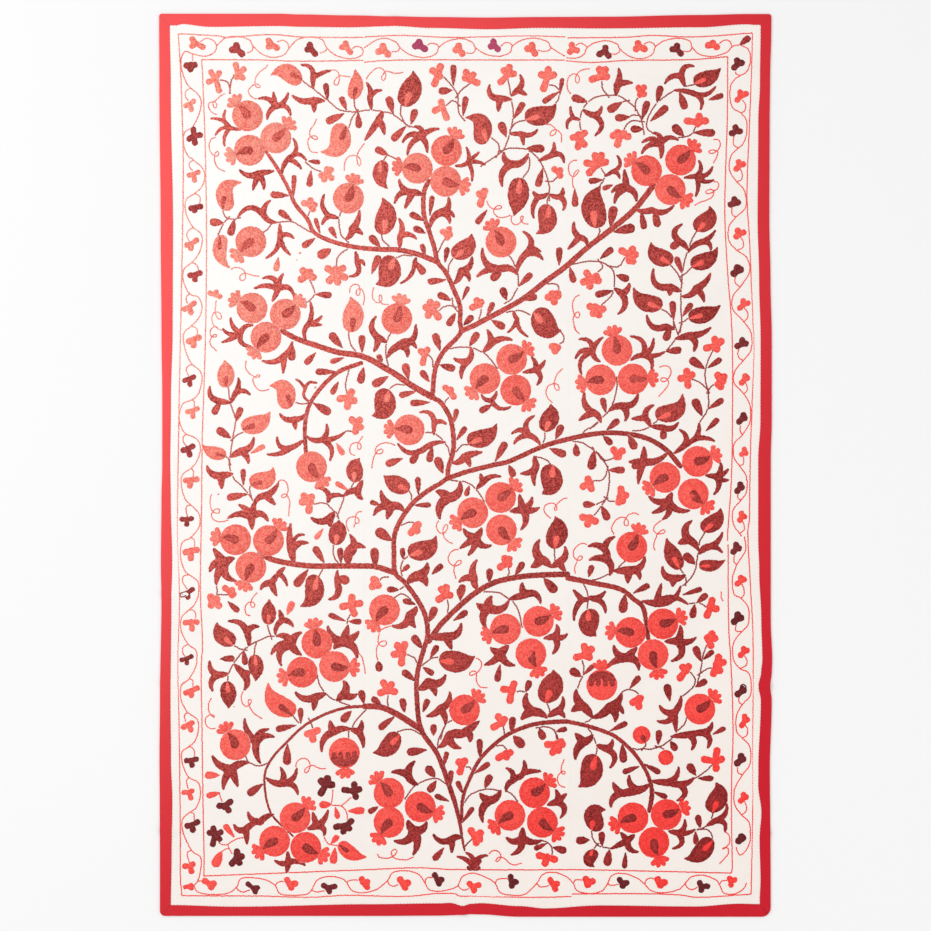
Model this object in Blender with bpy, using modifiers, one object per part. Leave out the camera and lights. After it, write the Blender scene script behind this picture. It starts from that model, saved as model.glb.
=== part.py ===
"""A suzani lying flat: three loom widths sewn side by side, with a red binding round them.

Lengths are in metres. +X runs across the cloth, +Y along it and +Z up. The origin is
under the middle of the cloth, on the surface that it lies on.
"""

import math
from typing import NamedTuple

import bmesh
import bpy

MM = 0.001

# The cloth's box, and the threads and cloths it is made of.
WIDTH = 1.495
LENGTH = 2.202
HALF_WIDTH = WIDTH / 2
HALF_LENGTH = LENGTH / 2
GROUND_THICK = 1.5 * MM
BINDING_THICK = 1.0 * MM
GAP = 0.3 * MM

# The binding is folded round the ground's raw edge, which ends inside the fold.
LAYER_STEP = GROUND_THICK + 2 * GAP + BINDING_THICK
FOLD_RADIUS = LAYER_STEP / 2
FOLD_CENTRE = FOLD_RADIUS + BINDING_THICK / 2
BINDING_PUFF = 0.6 * MM
BACK_LAYER_SHORT = 1.0 * MM
RAW_EDGE_IN = 6.0 * MM
MITRE_BACK = 0.25 * MM
FAN_LENGTH = 90 * MM

# The ground steps down from the binding's back layer to the surface.
STEP_HEIGHT = BINDING_THICK + GAP
STEP_DEPTHS = ((0.5 * MM, 1.0), (5 * MM, 0.75), (10 * MM, 0.25), (15 * MM, 0.0))

# The two seams between loom widths, at the cloth's bottom and top edges.
LEFT_SEAM = (-0.249, -0.247)
RIGHT_SEAM = (0.257, 0.247)

# Grid spacing.
STRIP_STEP = 50 * MM
PANEL_STEP = 100 * MM
FOLD_ANGLES = (225, 180, 135)
CORNER_ANGLES = (0, 22.5, 45)
CREASE_SHARES = (-1.0, -0.6, -0.3, 0.0, 0.3, 0.6, 1.0)

# A crease lifts the edge fully as far in as CREASE_FULL, and then fades to nothing.
CREASE_FULL = 50 * MM


class Station(NamedTuple):
    """A place on an edge, in millimetres."""

    along: float
    drawn_in: float
    binding: float


class Crease(NamedTuple):
    """A low ridge that runs in from an edge, in millimetres."""

    along: float
    height: float
    half_width: float
    reach: float


class Edge(NamedTuple):
    """One edge of the cloth, with its outward direction as (x, y)."""

    outward: tuple
    stations: tuple
    creases: tuple


LEFT = Edge(
    outward=(-1, 0),
    stations=(
        Station(-1072, 2.0, 26.5),
        Station(-963, 2.0, 28.0),
        Station(-817, 1.5, 30.5),
        Station(-719, 0.8, 28.0),
        Station(-573, 2.0, 25.5),
        Station(-329, 5.6, 24.0),
        Station(-243, 4.2, 27.5),
        Station(-85, 5.6, 22.5),
        Station(0, 7.6, 19.5),
        Station(159, 7.6, 21.0),
        Station(330, 5.6, 27.0),
        Station(574, 3.7, 30.0),
        Station(927, 0.5, 27.5),
        Station(1071, 0.0, 26.0),
    ),
    creases=(
        Crease(-890, 3.0, 18, 130),
        Crease(-531, 2.0, 14, 95),
        Crease(-316, 2.5, 16, 120),
    ),
)
RIGHT = Edge(
    outward=(1, 0),
    stations=(
        Station(-1072, 3.9, 26.5),
        Station(-1012, 3.9, 24.5),
        Station(-909, 4.4, 26.5),
        Station(-846, 5.0, 21.5),
        Station(-780, 5.6, 28.5),
        Station(-743, 5.8, 28.0),
        Station(-573, 1.2, 26.5),
        Station(-538, 4.9, 29.0),
        Station(-505, 1.0, 26.0),
        Station(-475, 0.0, 24.0),
        Station(-377, 3.6, 23.0),
        Station(-256, 3.6, 28.0),
        Station(-182, 3.6, 30.5),
        Station(13, 3.6, 30.5),
        Station(110, 1.2, 27.5),
        Station(305, 1.2, 27.0),
        Station(452, 4.3, 27.5),
        Station(598, 7.0, 28.5),
        Station(842, 6.3, 27.5),
        Station(930, 5.3, 24.5),
        Station(1074, 2.2, 26.0),
    ),
    creases=(
        Crease(-897, 2.5, 16, 110),
        Crease(-538, 4.0, 18, 160),
    ),
)
BOTTOM = Edge(
    outward=(0, -1),
    stations=(
        Station(-719, 2.0, 26.5),
        Station(-563, 2.0, 22.5),
        Station(-233, 2.0, 28.5),
        Station(-63, 2.7, 30.0),
        Station(-38, 3.5, 30.5),
        Station(-7, 5.0, 22.0),
        Station(12, 6.3, 25.0),
        Station(35, 5.6, 27.5),
        Station(132, 0.0, 26.0),
        Station(193, 0.0, 20.5),
        Station(328, 0.0, 27.5),
        Station(559, 0.0, 25.0),
        Station(669, 0.0, 32.0),
        Station(718, 0.0, 31.0),
    ),
    creases=(Crease(-7, 4.0, 18, 150),),
)
TOP = Edge(
    outward=(0, 1),
    stations=(
        Station(-716, 0.0, 28.5),
        Station(-697, 0.0, 25.0),
        Station(-621, 0.0, 32.0),
        Station(-453, 0.0, 30.0),
        Station(-404, 1.7, 30.0),
        Station(-282, 4.0, 29.0),
        Station(-172, 6.4, 23.5),
        Station(-87, 8.0, 26.5),
        Station(59, 9.3, 28.5),
        Station(181, 8.0, 26.5),
        Station(340, 7.3, 28.5),
        Station(571, 3.0, 30.0),
        Station(687, 0.7, 25.0),
        Station(718, 0.7, 26.5),
    ),
    creases=(Crease(-172, 2.0, 18, 100),),
)

# The corners' radii, by the two edges' outward directions.
CORNER_RADII = {
    (-1, -1): 12 * MM,
    (1, -1): 22 * MM,
    (-1, 1): 6 * MM,
    (1, 1): 6 * MM,
}

GROUND_COLOUR = (0.93, 0.88, 0.80, 1.0)
BINDING_COLOUR = (0.72, 0.07, 0.09, 1.0)


def eased(share):
    """A smooth rise from 0 to 1 as share goes from 0 to 1."""
    share = min(1.0, max(0.0, share))
    return (1 - math.cos(math.pi * share)) / 2


def edge_sizes(edge, along):
    """How far the edge is drawn in, and how wide the binding is, at a place along it."""
    stations = edge.stations
    place = along / MM
    if place <= stations[0].along:
        return stations[0].drawn_in * MM, stations[0].binding * MM
    for before, after in zip(stations, stations[1:]):
        if place <= after.along:
            share = eased((place - before.along) / (after.along - before.along))
            drawn_in = before.drawn_in + share * (after.drawn_in - before.drawn_in)
            binding = before.binding + share * (after.binding - before.binding)
            return drawn_in * MM, binding * MM
    return stations[-1].drawn_in * MM, stations[-1].binding * MM


def crease_lift(edge, along, depth):
    """How high the edge's creases lift the cloth, at a place along it and a depth in from it."""
    lift = 0.0
    for crease in edge.creases:
        across = abs(along / MM - crease.along) / crease.half_width
        beyond = max(0.0, depth - CREASE_FULL)
        inward = beyond / (crease.reach * MM - CREASE_FULL)
        lift += crease.height * MM * eased(1 - across) * eased(1 - inward)
    return lift


def reach_of(edge):
    """The distance from the cloth's middle to the edge's side of its box."""
    return HALF_WIDTH if edge.outward[0] else HALF_LENGTH


def ends_of(edge):
    """The two edges that this one runs between, the one at its low end first."""
    return (BOTTOM, TOP) if edge.outward[0] else (LEFT, RIGHT)


def corner_of(edge, end):
    """Where an edge ends: the corner's place along it, its radius and its inner corner's place."""
    sign = 1 if end is ends_of(edge)[1] else -1
    side = sum(edge.outward)
    drawn_in, binding = edge_sizes(end, side * reach_of(edge))
    radius = CORNER_RADII[(side, sign) if edge.outward[0] else (sign, side)]
    corner = reach_of(end) - drawn_in
    return sign, corner, radius, corner - binding


def strip_places(edge):
    """The places along the edge where the binding has a cross-section, between its corners."""
    low, high = (corner_of(edge, end) for end in ends_of(edge))
    start, finish = -low[1] + low[2], high[1] - high[2]
    count = round((finish - start) / STRIP_STEP)
    places = {start + (finish - start) * k / count for k in range(count + 1)}
    for crease in edge.creases:
        near = crease.along * MM
        wide = crease.half_width * MM
        places = {p for p in places if abs(p - near) > wide + STRIP_STEP / 4}
        places |= {near + share * wide for share in CREASE_SHARES}
    return sorted(places)


def strip_lines(edge):
    """The binding's cross-lines, each as (place along the edge, outer end, inner end) in plan.

    An end is (along, outward). Near a corner the lines fan out to lie along the mitre.
    """
    reach = reach_of(edge)
    lines = []
    for place in strip_places(edge):
        drawn_in, binding = edge_sizes(edge, place)
        outer = reach - drawn_in
        lines.append([place, (place, outer), (place, outer - binding)])
    for end in ends_of(edge):
        sign, corner, radius, inner_corner = corner_of(edge, end)
        drawn_in, binding = edge_sizes(edge, sign * corner)
        outer = reach - drawn_in
        for degrees in CORNER_ANGLES[1:]:
            angle = math.radians(degrees)
            along = corner - radius + radius * math.sin(angle)
            rounded = outer - radius + radius * math.cos(angle)
            ends = [sign * along, (sign * along, rounded), (sign * along, outer - binding)]
            lines.append(ends)
        last = corner - radius + radius * math.sin(math.radians(CORNER_ANGLES[-1]))
        shift = last - inner_corner
        for line in lines:
            away = (sign * line[0] - (last - FAN_LENGTH)) / FAN_LENGTH
            if away > 0:
                line[2] = (line[2][0] - sign * shift * away**2, line[2][1])
        lines.sort(key=lambda line: line[0])
        mitre = lines[-1] if sign > 0 else lines[0]
        for k in (1, 2):
            mitre[k] = (mitre[k][0] - sign * MITRE_BACK, mitre[k][1])
    return lines


def strip_section(width):
    """The folded binding's cross-section: (depth from the outer edge, height) of its middle."""
    low = BINDING_THICK / 2
    high = low + LAYER_STEP
    middle = low + FOLD_RADIUS
    section = [(width - BACK_LAYER_SHORT, low), (FOLD_CENTRE, low)]
    for degrees in FOLD_ANGLES:
        angle = math.radians(degrees)
        depth = FOLD_CENTRE + FOLD_RADIUS * math.cos(angle)
        section.append((depth, middle + FOLD_RADIUS * math.sin(angle)))
    section.append((FOLD_CENTRE, high))
    section.append((width / 2, high + BINDING_PUFF))
    section.append((width, high))
    return section


def to_plan(edge, along, outward):
    """The x and y of a place given along an edge and outward from the cloth's middle."""
    if edge.outward[0]:
        return edge.outward[0] * outward, along
    return along, edge.outward[1] * outward


def sheet_object(name, points, thick, material):
    """A cloth of an even thickness whose middle passes through rows of points."""
    rows, columns = len(points), len(points[0])
    shape = bmesh.new()
    bmesh.ops.create_grid(shape, x_segments=columns - 1, y_segments=rows - 1, size=0.5)
    for vertex in shape.verts:
        column = round((vertex.co.x + 0.5) * (columns - 1))
        row = round((vertex.co.y + 0.5) * (rows - 1))
        vertex.co = points[row][column]
    mesh = bpy.data.meshes.new(name)
    shape.to_mesh(mesh)
    shape.free()
    mesh.materials.append(material)
    cloth = bpy.data.objects.new(name, mesh)
    thickness = cloth.modifiers.new("cloth thickness", "SOLIDIFY")
    thickness.thickness = thick
    thickness.offset = 0
    thickness.use_even_offset = True
    return cloth


def binding_object(name, edge, material):
    """One folded strip of the binding, mitred at both ends."""
    points = []
    for place, outer, inner in strip_lines(edge):
        width = math.dist(outer, inner)
        lift = crease_lift(edge, place, 0)
        row = []
        for depth, height in strip_section(width):
            share = depth / width
            along = outer[0] + share * (inner[0] - outer[0])
            outward = outer[1] + share * (inner[1] - outer[1])
            x, y = to_plan(edge, along, outward)
            row.append((x, y, height + lift))
        points.append(row)
    return sheet_object(name, points, BINDING_THICK, material)


class Line(NamedTuple):
    """One grid line of a panel: its nominal place, and how it follows an edge or seam."""

    place: float
    edge: Edge | None
    depth: float
    past_binding: bool
    step: float
    seam: tuple | None


def edge_lines(edge):
    """The grid lines that follow an edge: its raw edge, and the step down past the binding."""
    side = sum(edge.outward)
    reach = reach_of(edge)
    lines = [Line(side * (reach - RAW_EDGE_IN), edge, RAW_EDGE_IN, False, 1.0, None)]
    for past, step in STEP_DEPTHS:
        nominal = side * (reach - 30 * MM - past)
        lines.append(Line(nominal, edge, past, True, step, None))
    return lines


def field_lines(low, high, edges, crossing):
    """Evenly spaced grid lines between two places, with a set of lines over each crease."""
    count = max(1, round((high - low) / PANEL_STEP))
    places = {low + (high - low) * k / count for k in range(1, count)}
    for edge in edges:
        for crease in edge.creases:
            near = crease.along * MM
            wide = crease.half_width * MM
            if low < near - wide and near + wide < high:
                places = {p for p in places if abs(p - near) > wide + PANEL_STEP / 5}
                places |= {near + share * wide for share in CREASE_SHARES}
    for edge in crossing:
        side = sum(edge.outward)
        for crease in edge.creases:
            for depth in (CREASE_FULL, (CREASE_FULL + crease.reach * MM) / 2, crease.reach * MM):
                places.add(side * (reach_of(edge) - depth))
    return [Line(p, None, 0, False, 0.0, None) for p in sorted(places) if low < p < high]


def line_place(line, other):
    """Where a grid line really lies, at a nominal place along it."""
    if line.seam:
        share = (other + HALF_LENGTH) / LENGTH
        return line.place + line.seam[0] + share * (line.seam[1] - line.seam[0])
    if line.edge is None:
        return line.place
    drawn_in, binding = edge_sizes(line.edge, other)
    depth = line.depth + (binding if line.past_binding else 0)
    return sum(line.edge.outward) * (reach_of(line.edge) - drawn_in - depth)


def panel_object(name, columns, material):
    """One loom width of the ground cloth, from its column lines."""
    half = HALF_LENGTH - 60 * MM
    sides = [line.edge for line in (columns[0], columns[-1]) if line.edge]
    rows = edge_lines(BOTTOM)
    rows += field_lines(-half, half, sides, (BOTTOM, TOP))
    rows += reversed(edge_lines(TOP))
    points = []
    for row in rows:
        row_points = []
        for column in columns:
            nominal_x = column.place + (sum(column.seam) / 2 if column.seam else 0)
            x = line_place(column, row.place)
            y = line_place(row, nominal_x)
            if row in (rows[0], rows[-1]) and column.edge and not column.past_binding:
                side = (sum(column.edge.outward), sum(row.edge.outward))
                radius = max(0.0, CORNER_RADII[side] - RAW_EDGE_IN)
                cut = radius * (1 - math.sqrt(0.5))
                x -= side[0] * cut
                y -= side[1] * cut
            lift = 0.0
            for edge in (LEFT, RIGHT, BOTTOM, TOP):
                along = row.place if edge.outward[0] else nominal_x
                across = nominal_x if edge.outward[0] else row.place
                depth = reach_of(edge) - sum(edge.outward) * across
                lift += crease_lift(edge, along, depth)
            step = STEP_HEIGHT * max(row.step, column.step)
            row_points.append((x, y, GROUND_THICK / 2 + step + lift))
        points.append(row_points)
    return sheet_object(name, points, GROUND_THICK, material)


def seam_line(seam, side):
    """The grid line down one side of a seam, half a gap from it."""
    return Line(side * GAP / 2, None, 0, False, 0.0, seam)


def panels(material):
    """The three loom widths."""
    inner = HALF_WIDTH - 60 * MM
    left = edge_lines(LEFT)
    left += field_lines(-inner, LEFT_SEAM[0] - PANEL_STEP / 5, (BOTTOM, TOP), (LEFT,))
    left.append(seam_line(LEFT_SEAM, -1))
    centre = [seam_line(LEFT_SEAM, 1)]
    centre += field_lines(LEFT_SEAM[0], RIGHT_SEAM[1], (BOTTOM, TOP), ())
    centre.append(seam_line(RIGHT_SEAM, -1))
    right = [seam_line(RIGHT_SEAM, 1)]
    right += field_lines(RIGHT_SEAM[0] + PANEL_STEP / 5, inner, (BOTTOM, TOP), (RIGHT,))
    right += reversed(edge_lines(RIGHT))
    return [
        panel_object("panel_left", left, material),
        panel_object("panel_centre", centre, material),
        panel_object("panel_right", right, material),
    ]


def cloth_material(name, colour):
    """A plain woven cotton's material."""
    material = bpy.data.materials.new(name)
    material.use_nodes = True
    surface = material.node_tree.nodes["Principled BSDF"]
    surface.inputs["Base Color"].default_value = colour
    surface.inputs["Roughness"].default_value = 0.85
    surface.inputs["Metallic"].default_value = 0.0
    return material


def main():
    """Remove what the scene holds, and build the cloth's seven pieces."""
    for thing in list(bpy.data.objects):
        bpy.data.objects.remove(thing)
    collection = bpy.data.collections.new("suzani")
    bpy.context.scene.collection.children.link(collection)
    ground = cloth_material("ground_cotton", GROUND_COLOUR)
    binding = cloth_material("binding_cotton", BINDING_COLOUR)
    pieces = panels(ground)
    for name, edge in (
        ("binding_left", LEFT),
        ("binding_right", RIGHT),
        ("binding_bottom", BOTTOM),
        ("binding_top", TOP),
    ):
        pieces.append(binding_object(name, edge, binding))
    for piece in pieces:
        collection.objects.link(piece)


if __name__ == "__main__":
    main()
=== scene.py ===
"""Looks of an embroidered suzani: a pomegranate tree in chain stitch on three loom widths.

Places on the cloth are in centimetres from its middle, +x to the photograph's right and +y
to its top. Edge sizes are in millimetres. Everything that is built is in metres.
"""

import logging
import math
from dataclasses import dataclass
from enum import Enum
from typing import Iterator, NamedTuple

import bpy
import numpy as np
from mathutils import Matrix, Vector
from mathutils.geometry import delaunay_2d_cdt


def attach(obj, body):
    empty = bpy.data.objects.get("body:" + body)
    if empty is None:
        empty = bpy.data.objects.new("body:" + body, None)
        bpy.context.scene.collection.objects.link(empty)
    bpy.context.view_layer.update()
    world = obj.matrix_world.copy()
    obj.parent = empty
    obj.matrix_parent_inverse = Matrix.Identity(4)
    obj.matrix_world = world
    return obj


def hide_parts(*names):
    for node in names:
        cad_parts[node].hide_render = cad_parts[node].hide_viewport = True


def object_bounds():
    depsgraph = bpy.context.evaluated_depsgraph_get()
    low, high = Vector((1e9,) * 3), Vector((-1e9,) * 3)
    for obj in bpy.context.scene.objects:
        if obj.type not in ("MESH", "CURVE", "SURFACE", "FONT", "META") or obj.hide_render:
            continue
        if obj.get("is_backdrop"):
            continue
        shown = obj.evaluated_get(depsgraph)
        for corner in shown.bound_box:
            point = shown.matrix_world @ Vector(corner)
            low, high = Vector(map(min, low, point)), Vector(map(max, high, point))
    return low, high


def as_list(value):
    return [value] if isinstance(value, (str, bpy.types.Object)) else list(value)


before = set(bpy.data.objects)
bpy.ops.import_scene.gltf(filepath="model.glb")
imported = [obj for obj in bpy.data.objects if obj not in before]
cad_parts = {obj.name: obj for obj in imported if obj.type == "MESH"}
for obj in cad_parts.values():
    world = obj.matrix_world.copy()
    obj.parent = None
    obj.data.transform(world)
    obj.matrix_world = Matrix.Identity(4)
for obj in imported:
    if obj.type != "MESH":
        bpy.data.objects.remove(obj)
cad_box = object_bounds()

logging.basicConfig(level=logging.INFO, format="%(message)s")
log = logging.getLogger("suzani")

MM = 0.001
CM = 0.01
TINY = 1e-9
SEED = 7

# The whole cloth, in metres, and the two seams' x at its bottom and top edges.
WIDTH = 1.495
LENGTH = 2.202
LOOM_WIDTHS = 3
LEFT_SEAM = (-0.249, -0.247)
RIGHT_SEAM = (0.257, 0.247)

# The rounding of each corner, by the signs of its x and y.
CORNER_RADII = {
    (-1, -1): 12 * MM,
    (1, -1): 22 * MM,
    (-1, 1): 6 * MM,
    (1, 1): 6 * MM,
}

# How far apart the meshes' extra lines beside a crease are.
CREASE_STEP = 4.5 * MM

# How far a row of chain stitch stands above the ground's face.
STITCH_HEIGHT = 0.8 * MM

# The grid on which each motif's outline is worked out, and the outline's unevenness.
FIELD_CELL = 0.6 * MM
FIELD_MARGIN = 3 * FIELD_CELL
FIELD_FAR = 0.01
WOBBLE = 0.35 * MM
WOBBLE_WAVES = (610, 370, 540, 410)

# The readings' middle lies this far from the cloth's middle, in centimetres.
READ_SHIFT = np.array([-0.10, 0.23])

# The samples along a motif's lines, and how far a stem runs on, in centimetres.
SAMPLE_STEP = 0.1
KNOT_SAMPLES = 12
BOW_SAMPLES = 24
STEM_MORE = 0.9

# Painted light and shade: colours are lightest at the first place, at the top left, and darkest this far
# from it, in metres. Then the threads' sheen, specks and twist, and the weave's wander and mottle.
PAINTED_LIGHT_PLACE = (-0.8, 0.6, 0.0)
PAINTED_SHADE_REACH = 2.15
SHEEN = 0.2
SPECK_SCALE = 290.0
SPECK_RANGE = (0.45, 0.55)
TWIST_SCALE = 1400.0
WEAVE_WANDER = 0.6
MOTTLE_SCALE = 9.0
MOTTLE_DETAIL = 5.0

# Marching squares: the sides a line enters and leaves by, with the inside on its left.
CELL_CASES = {
    1: ((0, 3),),
    2: ((1, 0),),
    3: ((1, 3),),
    4: ((2, 1),),
    5: ((0, 3), (2, 1)),
    6: ((2, 0),),
    7: ((2, 3),),
    8: ((3, 2),),
    9: ((0, 2),),
    10: ((1, 0), (3, 2)),
    11: ((1, 2),),
    12: ((3, 1),),
    13: ((0, 1),),
    14: ((3, 0),),
}

# Each edge's stations, in millimetres: the place along the edge, how far it is drawn in
# there, and how wide the binding is.
LEFT_STATIONS = """
-1072 2.0 26.5
-963 2.0 28.0
-817 1.5 30.5
-719 0.8 28.0
-573 2.0 25.5
-329 5.6 24.0
-243 4.2 27.5
-85 5.6 22.5
0 7.6 19.5
159 7.6 21.0
330 5.6 27.0
574 3.7 30.0
927 0.5 27.5
1071 0.0 26.0
"""
RIGHT_STATIONS = """
-1072 3.9 26.5
-1012 3.9 24.5
-909 4.4 26.5
-846 5.0 21.5
-780 5.6 28.5
-743 5.8 28.0
-573 1.2 26.5
-538 4.9 29.0
-505 1.0 26.0
-475 0.0 24.0
-377 3.6 23.0
-256 3.6 28.0
-182 3.6 30.5
13 3.6 30.5
110 1.2 27.5
305 1.2 27.0
452 4.3 27.5
598 7.0 28.5
842 6.3 27.5
930 5.3 24.5
1074 2.2 26.0
"""
BOTTOM_STATIONS = """
-719 2.0 26.5
-563 2.0 22.5
-233 2.0 28.5
-63 2.7 30.0
-38 3.5 30.5
-7 5.0 22.0
12 6.3 25.0
35 5.6 27.5
132 0.0 26.0
193 0.0 20.5
328 0.0 27.5
559 0.0 25.0
669 0.0 32.0
718 0.0 31.0
"""
TOP_STATIONS = """
-716 0.0 28.5
-697 0.0 25.0
-621 0.0 32.0
-453 0.0 30.0
-404 1.7 30.0
-282 4.0 29.0
-172 6.4 23.5
-87 8.0 26.5
59 9.3 28.5
181 8.0 26.5
340 7.3 28.5
571 3.0 30.0
687 0.7 25.0
718 0.7 26.5
"""

# The motifs' readings, in centimetres, one motif a line, which an indented line carries on.
# A letter says the kind, and the numbers that follow it are:
# B, a branch: first and last width, then its points.
# M, a stem, and T, a tendril: its points.
# D, a dark drop, and E, a coral one: the place of its point, of its round end, and its width.
# A, an almond leaf: its base, its tip, its width and its bow, then d if it is dark.
# S, an antler-shaped leaf: its middle and half-width, then each arm's tip and bow.
# W, V and J, a coral, maroon and pink flower: its middle and half-width, then its lobes' ends.
# F, a pomegranate, and H, a split one: its middle and a place that its crown points at.
# O, a disc: its middle and radius.
# P, seeds: their outer place, their inner place and their width.
TREE = """
B .6 1.4 -.2 -94.1 -.8 -91 -1.3 -87.7 -2.4 -83 -3.7 -79
B 1.3 1.2 -3.7 -79 -6.7 -70.9 -10.8 -64.6 -11.8 -57 -11.7 -51.1 -10.2 -45.3 -9.2 -41.9 -9.6 -37.5 -11.5
 -33.3 -14.8 -28.8 -17.1 -26.5 -17.4 -21.4 -17.3 -17.5 -15.9 -13.8 -13 -9.7 -9.6 -6.8 -4.7 -3.6 -4.2 -1.1
 -3 3 -2.9 6.7 -3.7 11.3 -5.9 15 -8.1 16.4 -7.9 17.9 -7.6 21.8 -6.7 25 -5.2 27.6 -2.3 30.6 -1 32.5 -1.3
 34.7 -1.3 38.6 -3 43 -4.7 46.7 -6.7 49.3 -7.6 53 -8.9 57.1 -10.1 61 -10.1 66.2 -8.9 69.1
B 1.65 1.5 -10.8 -64.6 -17.1 -60.7 -20.8 -59.2 -24.5 -59
B .85 .55 -24.5 -59 -29.3 -59.4 -34.5 -61.1 -39.3 -63.8 -43.5 -67.7 -47.6 -72.4 -49 -77.2 -47.4 -85 -42
 -90.7
B .85 1.2 -.9 -87.2 -.6 -81.4 1.4 -76 3.6 -71.9 7.2 -68.2 11.1 -65.5 16 -63.6 20.4 -62.9 24.8 -62.7
B 1.1 1 24.8 -62.7 29.7 -63.8 34.3 -65.3 37.2 -66.8 41.1 -70.4 44.1 -74.9 45.4 -79.4 44.8 -84.6
B 1.4 1.45 -8.9 -43.1 -5.9 -39 -2.1 -35.2 2.4 -31.4 7.2 -28.8 12.9 -27.5 18.5 -27 24.9 -26.8
B 1.45 1.15 25 -27.7 31.4 -29 37.7 -30.4 41.1 -32.9 43.3 -34.8 44.1 -38.5 44.6 -42.4
B 1.45 1.45 -17.1 -26.5 -21.7 -25 -25.7 -24.8 -32 -24.8 -37.6 -24.8 -43.2 -24.1 -47.4 -23.1 -50.1 -21.6
B 1.25 1.3 -4.7 -3.6 .4 -1.8 7.2 -.1 10.9 .8 18.5 4.2 24.1 5.9 31.4 7.4 37.7 7.6 44.1 6.4 49 3.5 52.4 -.4
B 1.65 1.35 -8.1 16.4 -13.2 19.3 -17.9 22.5 -24.7 26.2 -31 27.3 -36.7 29.1 -41 30.6 -44.7 32.5
B 1.15 1.05 -25.4 24.7 -31 22.5 -35.4 18.4 -38.1 14.2 -39.1 9.3 -38.9 3
B 1.35 1.5 -1 32.5 2.4 34 6 35.9 10.9 38.5 15 41 19.4 44.5 24.1 47.9 29.7 52.8 35.3 57.1 41.1 62 46 68.1
B 1.4 .9 -6.7 49.3 -11.5 51.2 -16.4 52.3 -20.8 52.4 -26.4 52.9 -32 54.2 -36.7 56.4 -38.4 59.6 -41.5 63.5
 -43.2 67.4 -45.9 72.3 -48.6 76.3
F -53.1 85 -56.6 89
F -46.2 79.6 -43.1 83
F -52.6 76.6 -57.1 75.2
F -4.6 76.5 -2.5 80.4
F -11.7 72.2 -16.3 72.6
F -4.8 69 .1 67.7
F 52.5 74.2 56 77.8
F 44.2 71.6 40.9 73.9
F 50 67 53.8 64.3
F -52 38.1 -56.2 40.3
F -43.9 36.6 -40.1 40.2
F -48.6 31 -51.5 27.3
F 11.3 25.6 15.2 28.2
F 4.8 20.9 1.6 17.4
F 12.3 18.1 15.2 14.8
F 37 27.8 36 32.3
F 33 20.6 28.1 19.6
F 40.9 20.8 45.9 21.1
F -56 -18.4 -61.2 -17.6
F -48 -18.6 -45.2 -14.8
F -52.3 -25.1 -54 -29.6
F 8.6 -8.1 12.2 -5.1
F 1.8 -11.8 -2.5 -14.4
F 8.8 -16 11.9 -19.5
F 56.6 .7 61.2 2.5
F 48.7 -3.2 44.6 -6
F 55.6 -7.2 58.6 -10.1
F -36.2 -43.6 -37 -38.9
F -39.8 -50.7 -44.8 -52
F -31.9 -49.3 -27.4 -49.5
F 9.8 -40.2 5 -41.7
F 17.8 -38.3 22 -36.1
F 16 -46.2 17.7 -50.3
F 40.3 -41 35.5 -40.6
F 48.2 -38.9 52.5 -37.2
F 45.8 -46.4 46.9 -50.5
F -18.6 -80.2 -21.4 -76.8
F -11 -83.5 -6.8 -85.2
F -18.6 -87.3 -21 -91
F 16.9 -80.1 20.4 -77.2
F 10.9 -85.6 6.9 -88.6
F 18.8 -87.3 22.5 -90.1
F 40.9 -86.2 36.4 -88
F 49 -85.4 53.5 -83.5
F 46 -92.2 47.3 -96.3
F -41.5 -86.2 -38.5 -83
F -46.5 -91.9 -50.5 -94.6
F -38.9 -93.4 -34.9 -95.3
F -28.5 64.9 -27.2 69
F -52.3 54.3 -55.6 51
F -16.7 35.5 -15.8 39.6
F 8.7 54.2 6.6 58
F -13.7 8.4 -18.9 8.6
F -37.5 -.6 -35.3 -3.8
F 40.6 -20.2 42.4 -16.1
F -19.7 -35.5 -22.4 -39.3
F -.2 -59.9 3.2 -56.5
F -56.1 -68.4 -58.5 -64.4
F 57.2 -59.7 61 -56.4
H -29.5 -70.4 -29.3 -75.3
H 33.3 -53.8 33.3 -50.1
"""
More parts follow.
